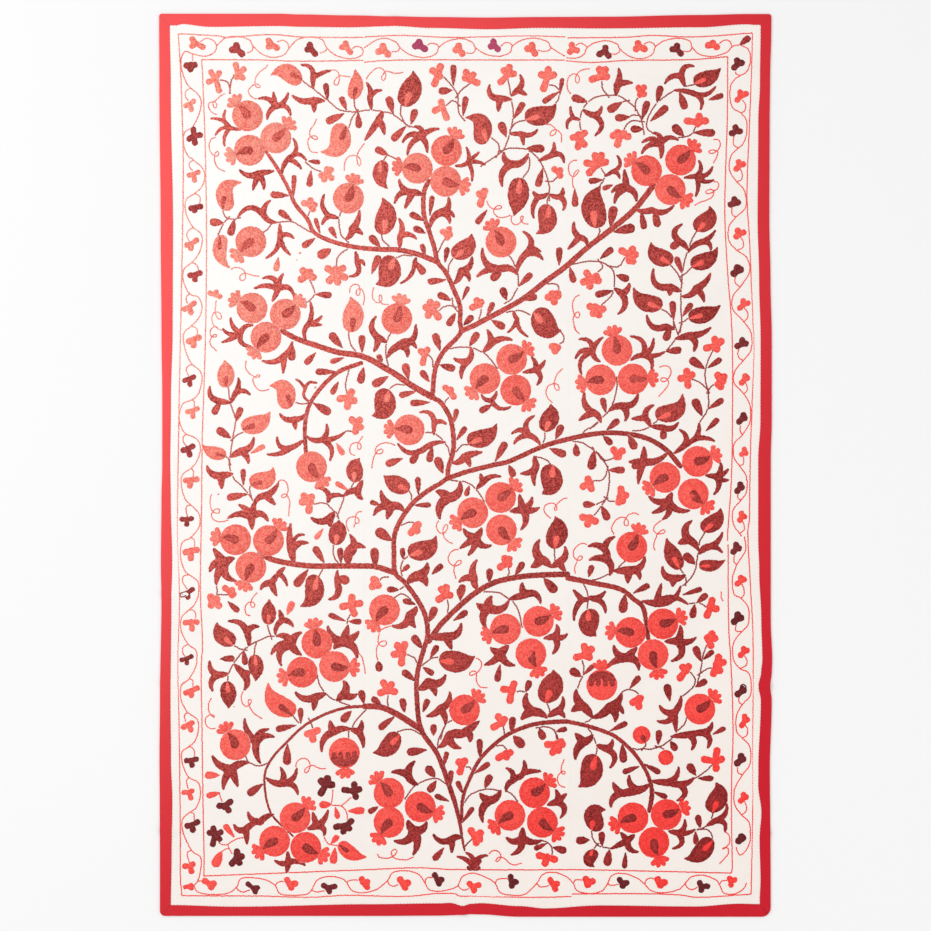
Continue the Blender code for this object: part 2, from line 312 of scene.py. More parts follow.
FIRST_BAND = """
W -60.9 94 .75 -62.3 96 -59.8 95.8 -63 93.1 -59.9 90.7
W -55.4 95 .75 -56.1 97.9 -53.7 96.7 -53.9 94 -56 94
M -57.4 91.2 -57.7 92.6 -58.3 93.4 -59.2 93.6
M -57.4 91.2 -57.2 93.1 -56.7 94.3
T -48.2 97.5 -48.7 96.7 -49.9 95.9 -51 94.5 -51.3 93.2 -51.1 92.2 -50.6 91.8 -50.1 92 -50.3 92.5 -51.2
 92.7 -52.3 92 -52.9 91 -52.4 89.9 -51.3 89.2 -50.2 89.2
T -58.6 90.4 -59.7 89.8 -60.8 88.8 -61.5 88.2 -61.4 87.2 -60.9 86.9 -60.6 87.4 -60.9 88.2 -61.8 88.4 -62.6
 87.9 -62.4 86.6 -61.5 85.6 -60.5 85.3
S -57.3 82 .55 -54.9 81.6 0 -58.5 86.4 .2 -62 84.3 -.15 -60.9 80.3 -.2 -58.7 77.7 -.15
T -60.9 79.8 -62 79.2 -62.5 77.6 -62 76 -61 75.1 -60.2 75.4 -60.3 76.3 -61 75.9 -61.2 74.6 -60.8 73 -59.9
 72 -58.6 71.4
A -39.7 93.9 -47.5 95 4.4 -1.3 c
M -39.4 93.3 -36.5 91.1 -33.5 88.7 -31 86.6 -29 86.1 -26.5 86 -23.5 86.4 -20 86 -17.6 85.3 -14.2 82.7
S -37.2 94.2 .7 -39.9 97.4 -.3 -37.1 91.7 0 -33 96 .05
T -33.2 95.9 -32.2 96.2 -31.2 95.8 -30.7 94.6 -30.9 93 -31.4 92.4 -32 92.9 -31.6 94 -30.6 94.8 -29.2 94.6
 -28 94.5
D -33.5 88.6 -34.1 93 1.5
S -37 88.8 .9 -42.1 89.9 .15 -36.8 86 0 -34.4 88.6 0
S -46.3 87.2 .75 -50.3 89.2 -.2 -46.8 90.7 0 -43.2 90.5 -.15 -42.6 85.1 .3 -48.3 84.2 -.15
S -43.2 74.4 .7 -44.7 70.8 -.1 -41.9 79.4 -.25 -38.8 74.2 .3 -40 72.1 .1
D -38.4 74 -35.3 73.6 1.3
M -38.4 73.2 -36.9 72 -34.8 71.3
W -33.8 70.8 .75 -33.8 72.5 -32.4 72.2 -35.6 70.3 -34.6 69 -32.2 69.5
D -37.6 71.7 -38.1 67.6 1.6
D -29.3 85.6 -34 83.4 2
T -36.3 84.3 -36.8 83 -37.8 81.6 -37.9 80.2 -37 79.4 -36.1 79.3 -36.2 79.9 -37.3 80.1 -38.3 79.2 -38.3
 77.6 -37.6 76.3 -36 76
A -29 82.6 -35.3 76.1 5.2 2.2 c
S -50.5 70.9 .85 -46.8 71.5 0 -55 71.8 .2 -51.8 67 0 -49.1 67.1 .1
D -42 64.8 -41.7 70.6 1.3
D -42.9 65.5 -47.6 65.8 1.8
A -59.2 62.1 -54.6 68.9 4.3 2.3 c
A -27.2 89 -26.9 96.4 3.7 -.5 c
M -27.1 89 -27 87.5 -26.5 86.1
M -26.6 85.9 -27.6 84.5 -28.2 82.7
D -28.9 86.3 -30.4 89.7 1.6
D -26.2 86 -25.9 81.9 1.7
S -23.3 89.4 .75 -22.9 86.6 0 -24.1 93 -.15 -20.4 91.2 .15
T -24.2 93.9 -23.4 95.1 -22.2 96.2 -21.2 96.7 -20.2 96.4 -19.4 95.1 -19.6 93.9 -20.2 93.6 -20.3 94.6 -19.6
 95.7 -18.6 95.8 -17.5 95.4 -16.2 95.4 -15 95.6
D -17.6 85.3 -18.8 89.8 2
A -14.8 87.2 -12.7 96.1 5.4 -.7 d
M -15.7 87.2 -15.8 85.4 -15.2 84 -14.2 82.7 -12.6 82.2
D -13.3 82.8 -12.1 86.7 1.8
D -14.4 82.6 -17.9 78.9 1.9
S -21.2 83.8 .95 -20.1 86 0 -24.4 79.1 0 -19.8 80.5 .1
S -10.7 80 .8 -12.3 82.4 -.3 -6.4 81.8 .1 -15.3 78.5 -.25 -14.1 75.5 -.15 -9.3 76.1 .1
W -6.6 95.2 .95 -5.9 97.6 -8.5 96.3 -7.7 92.2 -6 94
D -2.9 92.2 -2.9 97.5 1.6
D -3 91.2 -6.6 91 1.9
M -5.2 94.4 -3.6 92.7 -2.5 91.2 -1.9 90 -1.8 88.5 -1.7 86.5 -1.3 85.2 -.6 84.3
M -1.9 90 -.9 91.3 .8 92.6
M -4.2 87.9 -3.3 88.6 -2.4 88.4 -1.8 87.9
W -5.6 87.2 .85 -6 88.9 -7.9 86 -4.4 84
D -.6 84.8 .2 89.8 1.6
D -18.6 75.3 -22 77.1 1.9
M -19.9 74.2 -19.4 75 -18.5 75.2 -17 74.5
A -20.7 74.1 -18.9 67.1 3.8 -1.1 d
T -24.6 78.3 -25.3 77.4 -26 76.3 -26.4 75 -26.3 73.5 -25.8 72.8 -25.5 73.5 -25.7 74.6 -26.6 75.2 -27.8
 75.3 -28.8 74.7 -29.4 73.5 -29.5 71.5
S .7 73.6 .6 .3 77.2 -.1 3.3 76.1 0 4.8 73.1 .1 1.6 69.1 .1 -2.4 72.8 .1
W .9 93.8 .85 0 96.2 2.3 95.4 3.5 92.8 -.6 94.4
W 10.4 95 .85 9 96.5 10.9 97.4 12.4 95.3 8.2 92.8
W 20 94.3 .9 18 95.3 20.3 96.9 22.1 95.2 18.9 91
M 4.4 73.1 7.5 75.2 9.2 76.6 10.2 78.6 10.8 80.5 11.4 83 11.7 85.5 11.3 88.5 10.9 91 10.5 93.5
M 9.2 76.6 11 77.1 13.3 77 14.8 76.8 16.5 75.8 18 74.2 19.2 72 20 69.8 20.5 67.5 20.5 65
M 7.8 75.5 8.3 76.8 8 78.2 7 79.1
M 11.3 82 12.2 83.2 13.5 83.7 14.6 83.9
M 20.8 92.5 22 92.2 23 91.1
M 23 90.5 22.7 89 22.1 88.2
S 8.4 89.2 .9 5.9 92.5 .3 8 86.1 0 11.2 89 0
S 12.8 91.3 .8 13.4 94.9 -.2 14.9 90.1 0 11.3 89.9 0
D 11.7 84.1 14.3 88.3 1.7
D 10 79.7 8.5 83.5 2.1
A 14.7 84 22.3 88 4.9 -1.1 d
S 21 75.3 .75 21.6 78.4 -.1 24.1 73.6 .35 18 74.1 0
S 13.8 80.6 .7 10.8 80.6 0 17.6 81.6 -.2 14.2 77.9 0
A 5.2 78.4 0 84.7 4.6 -2.2 d
D 23 91 18.8 88.2 1.5
D 23 90 23.7 94.3 1.2
T 19 82.5 20.4 82.9 21.6 82.2 22.2 81.2 21.6 80.3 20.9 80.1 20.7 80.8 21.4 81.5 22.4 81.5 23.3 80.6 23.5
 79.6 23.4 78.5
T 25.7 90.3 24.9 91.7 24.9 93.4 25.4 94.7 26.4 95.2 27.4 94.9 27.8 93.9 27.5 93 27 93.2 26.9 94.4 27.4
 95.4 28.3 96.1 29.5 96.4 30.4 96.5
D 14.6 77 19.4 77 2.1
S 11.2 73.2 1 9.4 76 .2 15.3 75.7 -.2 9 67.8 -.2
D 18.9 72.3 17.6 67.6 1.8
M 15.3 76 15.7 74 15.4 71.8 14.3 70.2
W 22.7 71.2 .8 21.3 72.3 23.5 72.1 23.4 69.9
M 20.3 69 21.2 69 22.2 69.8
D 29.9 88.3 25.9 89.6 2
M 28.3 81.2 27.9 83.5 28.4 86 29.2 87.5 30 88.4 31.5 89.4 33.5 89.9 35.5 90 37.5 89.8 39.5 88.6 41.3 87
 42.5 85 43.1 83.5 43.5 81.2
S 26.4 84.5 .55 25.7 87.1 .1 24.9 81.9 -.25 27.9 84 0
S 31.3 85.2 .8 28.8 86.5 .1 33.2 87.2 -.2 31.7 80.2 .35
W 27.8 79.7 .85 29.5 81.2 25.7 79.7 27.4 76.8 29.4 77.5 27.5 81
W 33.3 94.6 1 32.5 96.9 34.4 96.8 35.1 94.5 30.3 93.7
M 33.3 93 33.5 91.5 34.6 90.1
T 27.3 74.2 26.2 74 25.3 73.1 25.2 71.6 25.7 70.4 26.6 70.2 27.6 71.3 27.6 71.8 26.9 71.4 26.2 69.8 26.2
 68.2 26.7 67
W 32 73 1.1 31.6 75.9 33.5 75.9 34.8 73.9 29 73.6 29.8 70.6
D 33.6 69.4 30 69 1.6
S 37 92.4 .9 37.4 96.5 -.1 40.7 93 .1 36.8 90 0
D 38.4 88.4 34.7 86.1 2.1
M 38.4 88.4 39.3 88.6
D 40.3 84.7 36.4 84.4 1.9
M 40 84.8 41 85.2 42.3 85
M 38.6 81.5 39.5 83 41 83.8 42.9 83.6
D 43.4 81.7 40.2 81.8 1.9
W 37.8 80.3 1 36.6 81.3 39.2 81 35.4 80.1 40.3 79.8 36.9 77.4
W 42.7 90.8 .8 42 92.3 43.9 92.3 44 90 42.6 89.6
M 42.2 89.6 41.5 88.3 41.5 87
D 43.1 84 44.5 88.7 1.8
D 45 83.5 49.4 87.4 1.9
D 46.7 88 47.7 92.4 1.8
M 45.5 80.9 44.4 81.8 44.3 83.5 45 85.5 46.5 87.8 48 89.2 50 90.6 51.8 91.5 53.5 92.1 55.8 92.6
S 52.7 94.6 .8 48.7 92.9 -.2 55.7 97.1 .3 53.5 92.2 0
A 55.8 92.8 62.4 96.7 4 -.6 d
S 55.8 90.4 .75 51 91.2 -.05 61 92.1 -.2 57.4 86.6 .25
D 52.2 91 53.7 86.5 2
D 59.2 88.8 63 90.1 1.5
W 56.7 83.4 .9 57.2 85.5 59.2 83.9 53.5 83.8 56.7 82.4
M 56.1 82.2 55.5 80.9 54.6 80.2 53.3 79.8 51.9 79.7
D 53.4 79.9 50.6 82.7 2.2
D 55.4 80.9 61 80.8 2
S 47.6 78 .8 46 80.9 -.25 43.2 78.5 -.25 43 75.8 -.2 51.9 79.1 .25 47.6 74.7 .1
T 60.5 79.2 61.7 79.1 62.2 78 61.8 76.9 60.6 75.9 59.5 75.9 59.6 76.5 60.8 76.6 61.6 76.1 61.2 74.7 60.5
 73.4
S 56.4 70.3 .7 57 74 -.2 60.3 72.5 -.2 60.5 69.3 -.2 53.5 69.9 0 56.2 65.4 .1
S 36 71.4 .6 37.1 75.2 -.3 37.6 69.8 .2 34.1 70.3 0
M 33.3 71.9 34 70.7 33.7 69.2 32.6 67.8
D 36.1 68.2 33.4 67.1 1.3
"""
SECOND_BAND = """
M -59.2 62.1 -58.8 60.9 -58 60 -56.7 59.8 -55.6 60
D -58.8 58.9 -62.4 59.1 2
M -58 59.8 -59.2 58.3 -60 56.6 -60.3 55.9
D -56.2 60 -57.4 55.7 1.9
S -49.2 60.8 .8 -55.4 60.4 -.32 -47.6 64.3 .15 -46.1 59 -.15
M -46.1 59 -43.8 59.2 -42 59.1 -40.3 58.1 -38.4 57
M -47.4 58.4 -48.3 57.3 -49 56.7
D -42.2 59.3 -45.5 61.9 1.7
S -45.2 55.6 .7 -45.2 58.5 0 -41.8 55.1 .2 -48.6 50.3 .15 -42.7 51.1 -.1
A -59.9 55.9 -57.4 47.7 3.6 -1.3 c
T -57.2 47.5 -56.2 48 -54.8 47.8 -53.8 46.9 -53.6 45.6 -54.2 44.8 -55 45.2 -54.7 46.2 -53.6 46.6 -52.3
 46.2 -51 45.9 -50.2 45.9
E -45.6 50.6 -46.2 47 1.6
W -38 63.4 .8 -39.8 63.8 -37.6 64.9 -36.2 63.2 -36.8 61.8
M -37.9 62 -38.3 60.5 -38.2 59 -38 58
S -33.2 60.6 .7 -34.4 65.7 .2 -34.9 58.5 -.1 -31 60.1 0
D -35.4 56.2 -36.6 60.1 1.2
D -31.3 55 -33.1 57.9 1.5
D -36.5 55.2 -39.8 53 1.7
M -36.6 55.2 -35.8 55.2
D -32.6 52.6 -36 50.5 2.4
E -40.2 51.5 -40.6 51.5 .7
E -41 49.9 -41.2 49.6 .5
S -45.6 42.8 .8 -49.3 45.4 -.3 -44.4 46.4 .1 -51.4 42.9 -.12 -41.8 41.1 .3 -47 39.8 0
W -38.5 46 .9 -40 47.7 -37.6 47.4 -36.5 45.4 -40.6 44.8
M -37.9 44.8 -37.2 43.5 -36.8 42.2 -36.9 41.2 -37.9 40 -38.6 39.5
D -36.8 41.5 -32.5 41.2 1.7
W -60.8 41.2 .65 -62.6 41.9 -60.7 42.4 -59.5 40.8
T -60.7 40 -60.9 38.6 -61 37.2 -60.4 35.7 -59.7 35.4 -59.5 36.1 -60 37 -61.2 37 -61.8 35.8 -61.6 34.4
 -60.8 33.4 -59.4 32.6
S -38.2 34.2 .7 -37.8 39.5 -.1 -35 36.1 -.1 -35.1 34 0 -38.8 30.2 -.2
W -31.6 46.4 1.1 -34 48.1 -29.4 48.2 -28.8 45.4 -31 43.8 -33.6 44.3 -31.5 48.2
M -31.4 48.8 -31.2 50.2 -30.4 51.4 -29 52.3
S -12.9 66.3 .9 -10.4 65.5 .1 -16.1 69.4 .2 -17.2 63.7 -.25 -14.7 62.5 0
D -8.7 60.5 -8 65.6 1.4
S -6.3 61.3 .95 -8.4 58 -.15 -4.1 65 -.25 -2.7 60.3 .25 -3.8 58.9 .25
W -4.6 56.1 .75 -5.9 57 -3.7 57.8 -3.2 56 -4.2 54.8
M -5 54.8 -5.8 53.5 -6.5 52
D -9.8 59.3 -13.6 61.2 1.7
D -9.6 56.3 -12.7 57.8 1.7
D -9.7 50.8 -10.7 53.8 1.4
D -5 49 -4.3 53 1.4
A -2.7 50.2 1.6 56.3 4.6 -1 d
M -3.2 49.9 -4 48.5 -4.1 47 -3.9 46
S -1 47.1 .95 -2.9 44 .1 1.6 50.5 -.2 1 44.7 .2
D -4.5 45 -9.3 44.5 1.7
D -3.3 39.9 -6.8 41.6 1.8
M -3.1 39.8 -2.9 38.7 -1.9 37.2
M -6.2 37.7 -5.2 38.4 -3.8 38.7 -2.9 38.5
D -.8 40 .8 43.4 1.2
W -8 37.9 .95 -8.7 40.1 -6.5 39.4 -10.2 38.4 -9.4 35.8 -6.2 35.4
D -2.3 37 -4.3 33.7 1.8
D -.5 33.8 1.9 36.3 1.7
A -19.9 56 -20.2 65.1 5.2 -.9 d
M -20.4 56 -20.2 54.8 -19.3 53.8 -18.3 53
S -15.9 55.6 .8 -16.2 59.9 -.15 -12 55 .2 -16 52.8 0
D -20.6 52.8 -23.3 55.8 1.9
D -22.9 46.3 -21 51 1.9
A -17.3 50.6 -21.8 43.8 5.6 1.5 d
M -16.5 50.5 -15.2 51 -13.8 50.9
S -12.4 49 .6 -12 50.3 0 -15.7 44.2 .15
D -12.2 49.6 -9.9 46.3 1.9
S -27.6 57.4 .9 -25.8 61.8 -.1 -25.1 56.1 .1 -29.2 54.9 .15
M -29 54.6 -30.2 55.8 -30.7 58 -30.8 60 -30.3 61.5
S -26.3 49 .7 -26.7 51.8 0 -28.2 45.8 .35 -24.6 48.6 .4
T -28.2 41.8 -28.1 42.9 -27.3 43.8 -26.4 43.9 -25.8 43.2 -25.7 42 -26 41.2 -26.5 41.4 -26.5 42.4 -25.5
 42.8 -24.8 41.8 -24.6 40.3 -24.9 38.8
T -22.3 43.2 -22.6 42 -22.6 40.6 -22 39.7 -21.2 39.4 -20.4 40 -20.4 41 -20.8 41.3 -21 40.6 -20.7 39.5
 -19.8 39 -18.7 39
A 13.4 69.9 11.8 60.4 5.3 .3 d
W 4.2 65.4 .9 5 67.2 2.9 66.3 3.5 62.8 4.9 65.2
T 5.2 64.3 5.6 63.3 6.5 62.4 7.8 62.2 8.8 62.5 8.7 63 7.8 63 7 62.2 7 61.2 8 60.3 9.3 60.2 10.4 60.5 11
 60.8
D 5.4 62.1 2.6 58.6 1.6
T 11.4 60.7 11.2 59.4 11.9 58.5 12.9 58.6 13.9 59.6 14.1 60.4 13.6 60.5 13.5 59.7 14.1 58.8 15.4 58.5
S 17.9 65.2 .75 16.6 66.5 .1 16.7 60.1 -.15 20.2 66.1 -.1
S 23.2 65.2 .75 23.8 67.3 -.1 23.9 62 .2 20.5 65.9 .1
M 20.5 66.5 20.4 65.5 20 64.3 20 63.3
A 20.5 63.3 17.3 56.1 4.7 1.4 d
D 26.7 67.2 26.8 62.7 1.7
A 31.6 57.6 33 68 6 1.3 d
M 32.5 57.8 32.8 56.8 32.3 55.7
S 27.8 55.3 .8 26.5 59 .15 29.7 53.2 .25 25.1 52.5 0
S 8.5 47.6 1 4.2 52.7 .25 2.9 45.8 -.12 12.8 46.2 .2
D 9 47.5 6.3 44.9 2.2
S 14.8 51.3 .9 14.1 56.8 -.3 18.3 51.9 .25 18.9 49.9 .2 12.6 46.8 -.1
M 10.6 51.1 11.6 49.5 12.6 47.3 12.9 45.5 12.8 43.3 12 41.7 11.2 40.2 10.2 39.6
D 12.8 43.2 16.3 46.6 1.7
D 10.1 39.9 8.9 43.2 1.9
D 22.9 48.4 22.9 53 1.7
D 25.5 48.2 26.5 44.2 1.7
D 13 40.2 17.6 40.9 1.8
D 5.2 36 6.9 39.6 1.5
W 3.2 39 .85 2.6 40.5 4.3 39.9 1.2 38 4 38.6
M 3.9 38.1 3.7 36.5 3 34.8
W 21.6 41.3 1.1 19.6 40.5 23.2 41.8 23.2 40.9 21.7 39 20.6 41.9
M 22.8 42.6 22.7 43.5 21.8 44 20.3 44
W 30.6 45.2 1.1 29.3 47.2 28.2 44.2 30.3 42.8 33.1 44.6 32.5 46.2
M 32.4 47 33.4 47.8 33.4 48.6 32.8 49.4
M 26.5 48.8 28.5 49.3 30.5 49.5 32.7 49.4 34.5 48.7 36 47.3 36.4 45.5 36.3 43
D 36.2 42.4 31.6 41.2 1.8
T 27.9 41.3 26.8 40.7 26.2 39.5 26.2 38 26.6 36.4 27.4 35.7 27.9 36.4 27.5 37.2 26.8 36.8 26.3 35.6 26.5
 34 26.8 32.8 27.9 31.8
W 31.8 38 1.1 29.8 38.7 34.2 37.8 30.9 36.2 32.9 35.9 31.5 39
M 33 38.7 34.3 39.8 35.4 40.8 36 42
M 10.8 37.2 12.5 37.5 14 37.3 15.1 36.8
S 39.3 67.4 .95 38.8 71.8 0 35.8 66.3 -.2 36.4 63.7 -.15 41.7 64.2 .2
S 45.4 62 .85 41.6 62.1 .1 50.8 63.1 -.2
D 42.8 62 43.7 57.3 1.7
D 46 62.3 47 57.8 2
T 60.4 68.9 61.5 68.8 61.8 67.8 61 66.8 59.8 67 58.7 66.6 58.9 66 60.2 66.2 60.7 66.8 60.2 65.2 59 64.5
 57.3 63.9 55.9 63.1
D 35.3 57.8 36.3 63 2.3
D 36 56.6 41.4 57.8 2.4
A 56.5 56.8 59.7 63.1 4.5 -1.2 d
M 56.2 56.5 55.2 54.7 54.5 52.6 53.6 50 53 47 52.8 44.5 52.6 42 52.6 39.5 52.6 37 52.8 35 52.5 33
S 52.1 54.3 .9 52.9 58.5 .35 54.3 52.2 .1
D 52.6 54.4 50 52.7 2
S 57.6 54.2 .8 54.4 51.8 -.1 60.9 57 -.1 59.9 52.3 .3
A 50.2 48.8 45.2 54.2 4.4 1.2 d
M 50.3 48.3 51.7 46.6 52.6 44.8
D 52.9 46.5 51.4 50.7 1.6
A 55.2 48.1 61.6 53 4.2 -1 d
M 55 47.8 54 46.8 53 46.1
S 50 43.2 .95 52.6 42.2 0 49.8 41.3 0 45.9 47.6 .35
S 56.4 42.9 .95 52.9 40.9 .15 59.8 46.5 -.1 58.2 39.7 .1
D 52.9 36 55.3 39.3 1.6
D 50.8 35 50.5 39.9 1.7
A 47.8 38 40.9 43.1 4.4 1.3 d
M 47.9 37.8 49.5 36.8 50.6 35.2 51 33
A 54.5 35.5 62.4 38.8 4.2 -.6 d
M 54.3 35.6 53.6 35 52.9 34.7
W 39.9 51.1 1 37.6 52.4 41.1 53 42.1 51.2 40 49 41.2 49
M 38.9 50.4 38 48.8 36.8 48.1 35.3 48.3
D 32.8 50 36 52.8 1.7
D 36.7 46.2 40 45 1.9
S 38.2 41.6 .9 36.4 42.9 0 40 44.1 -.15 37.3 36.7 .25
"""
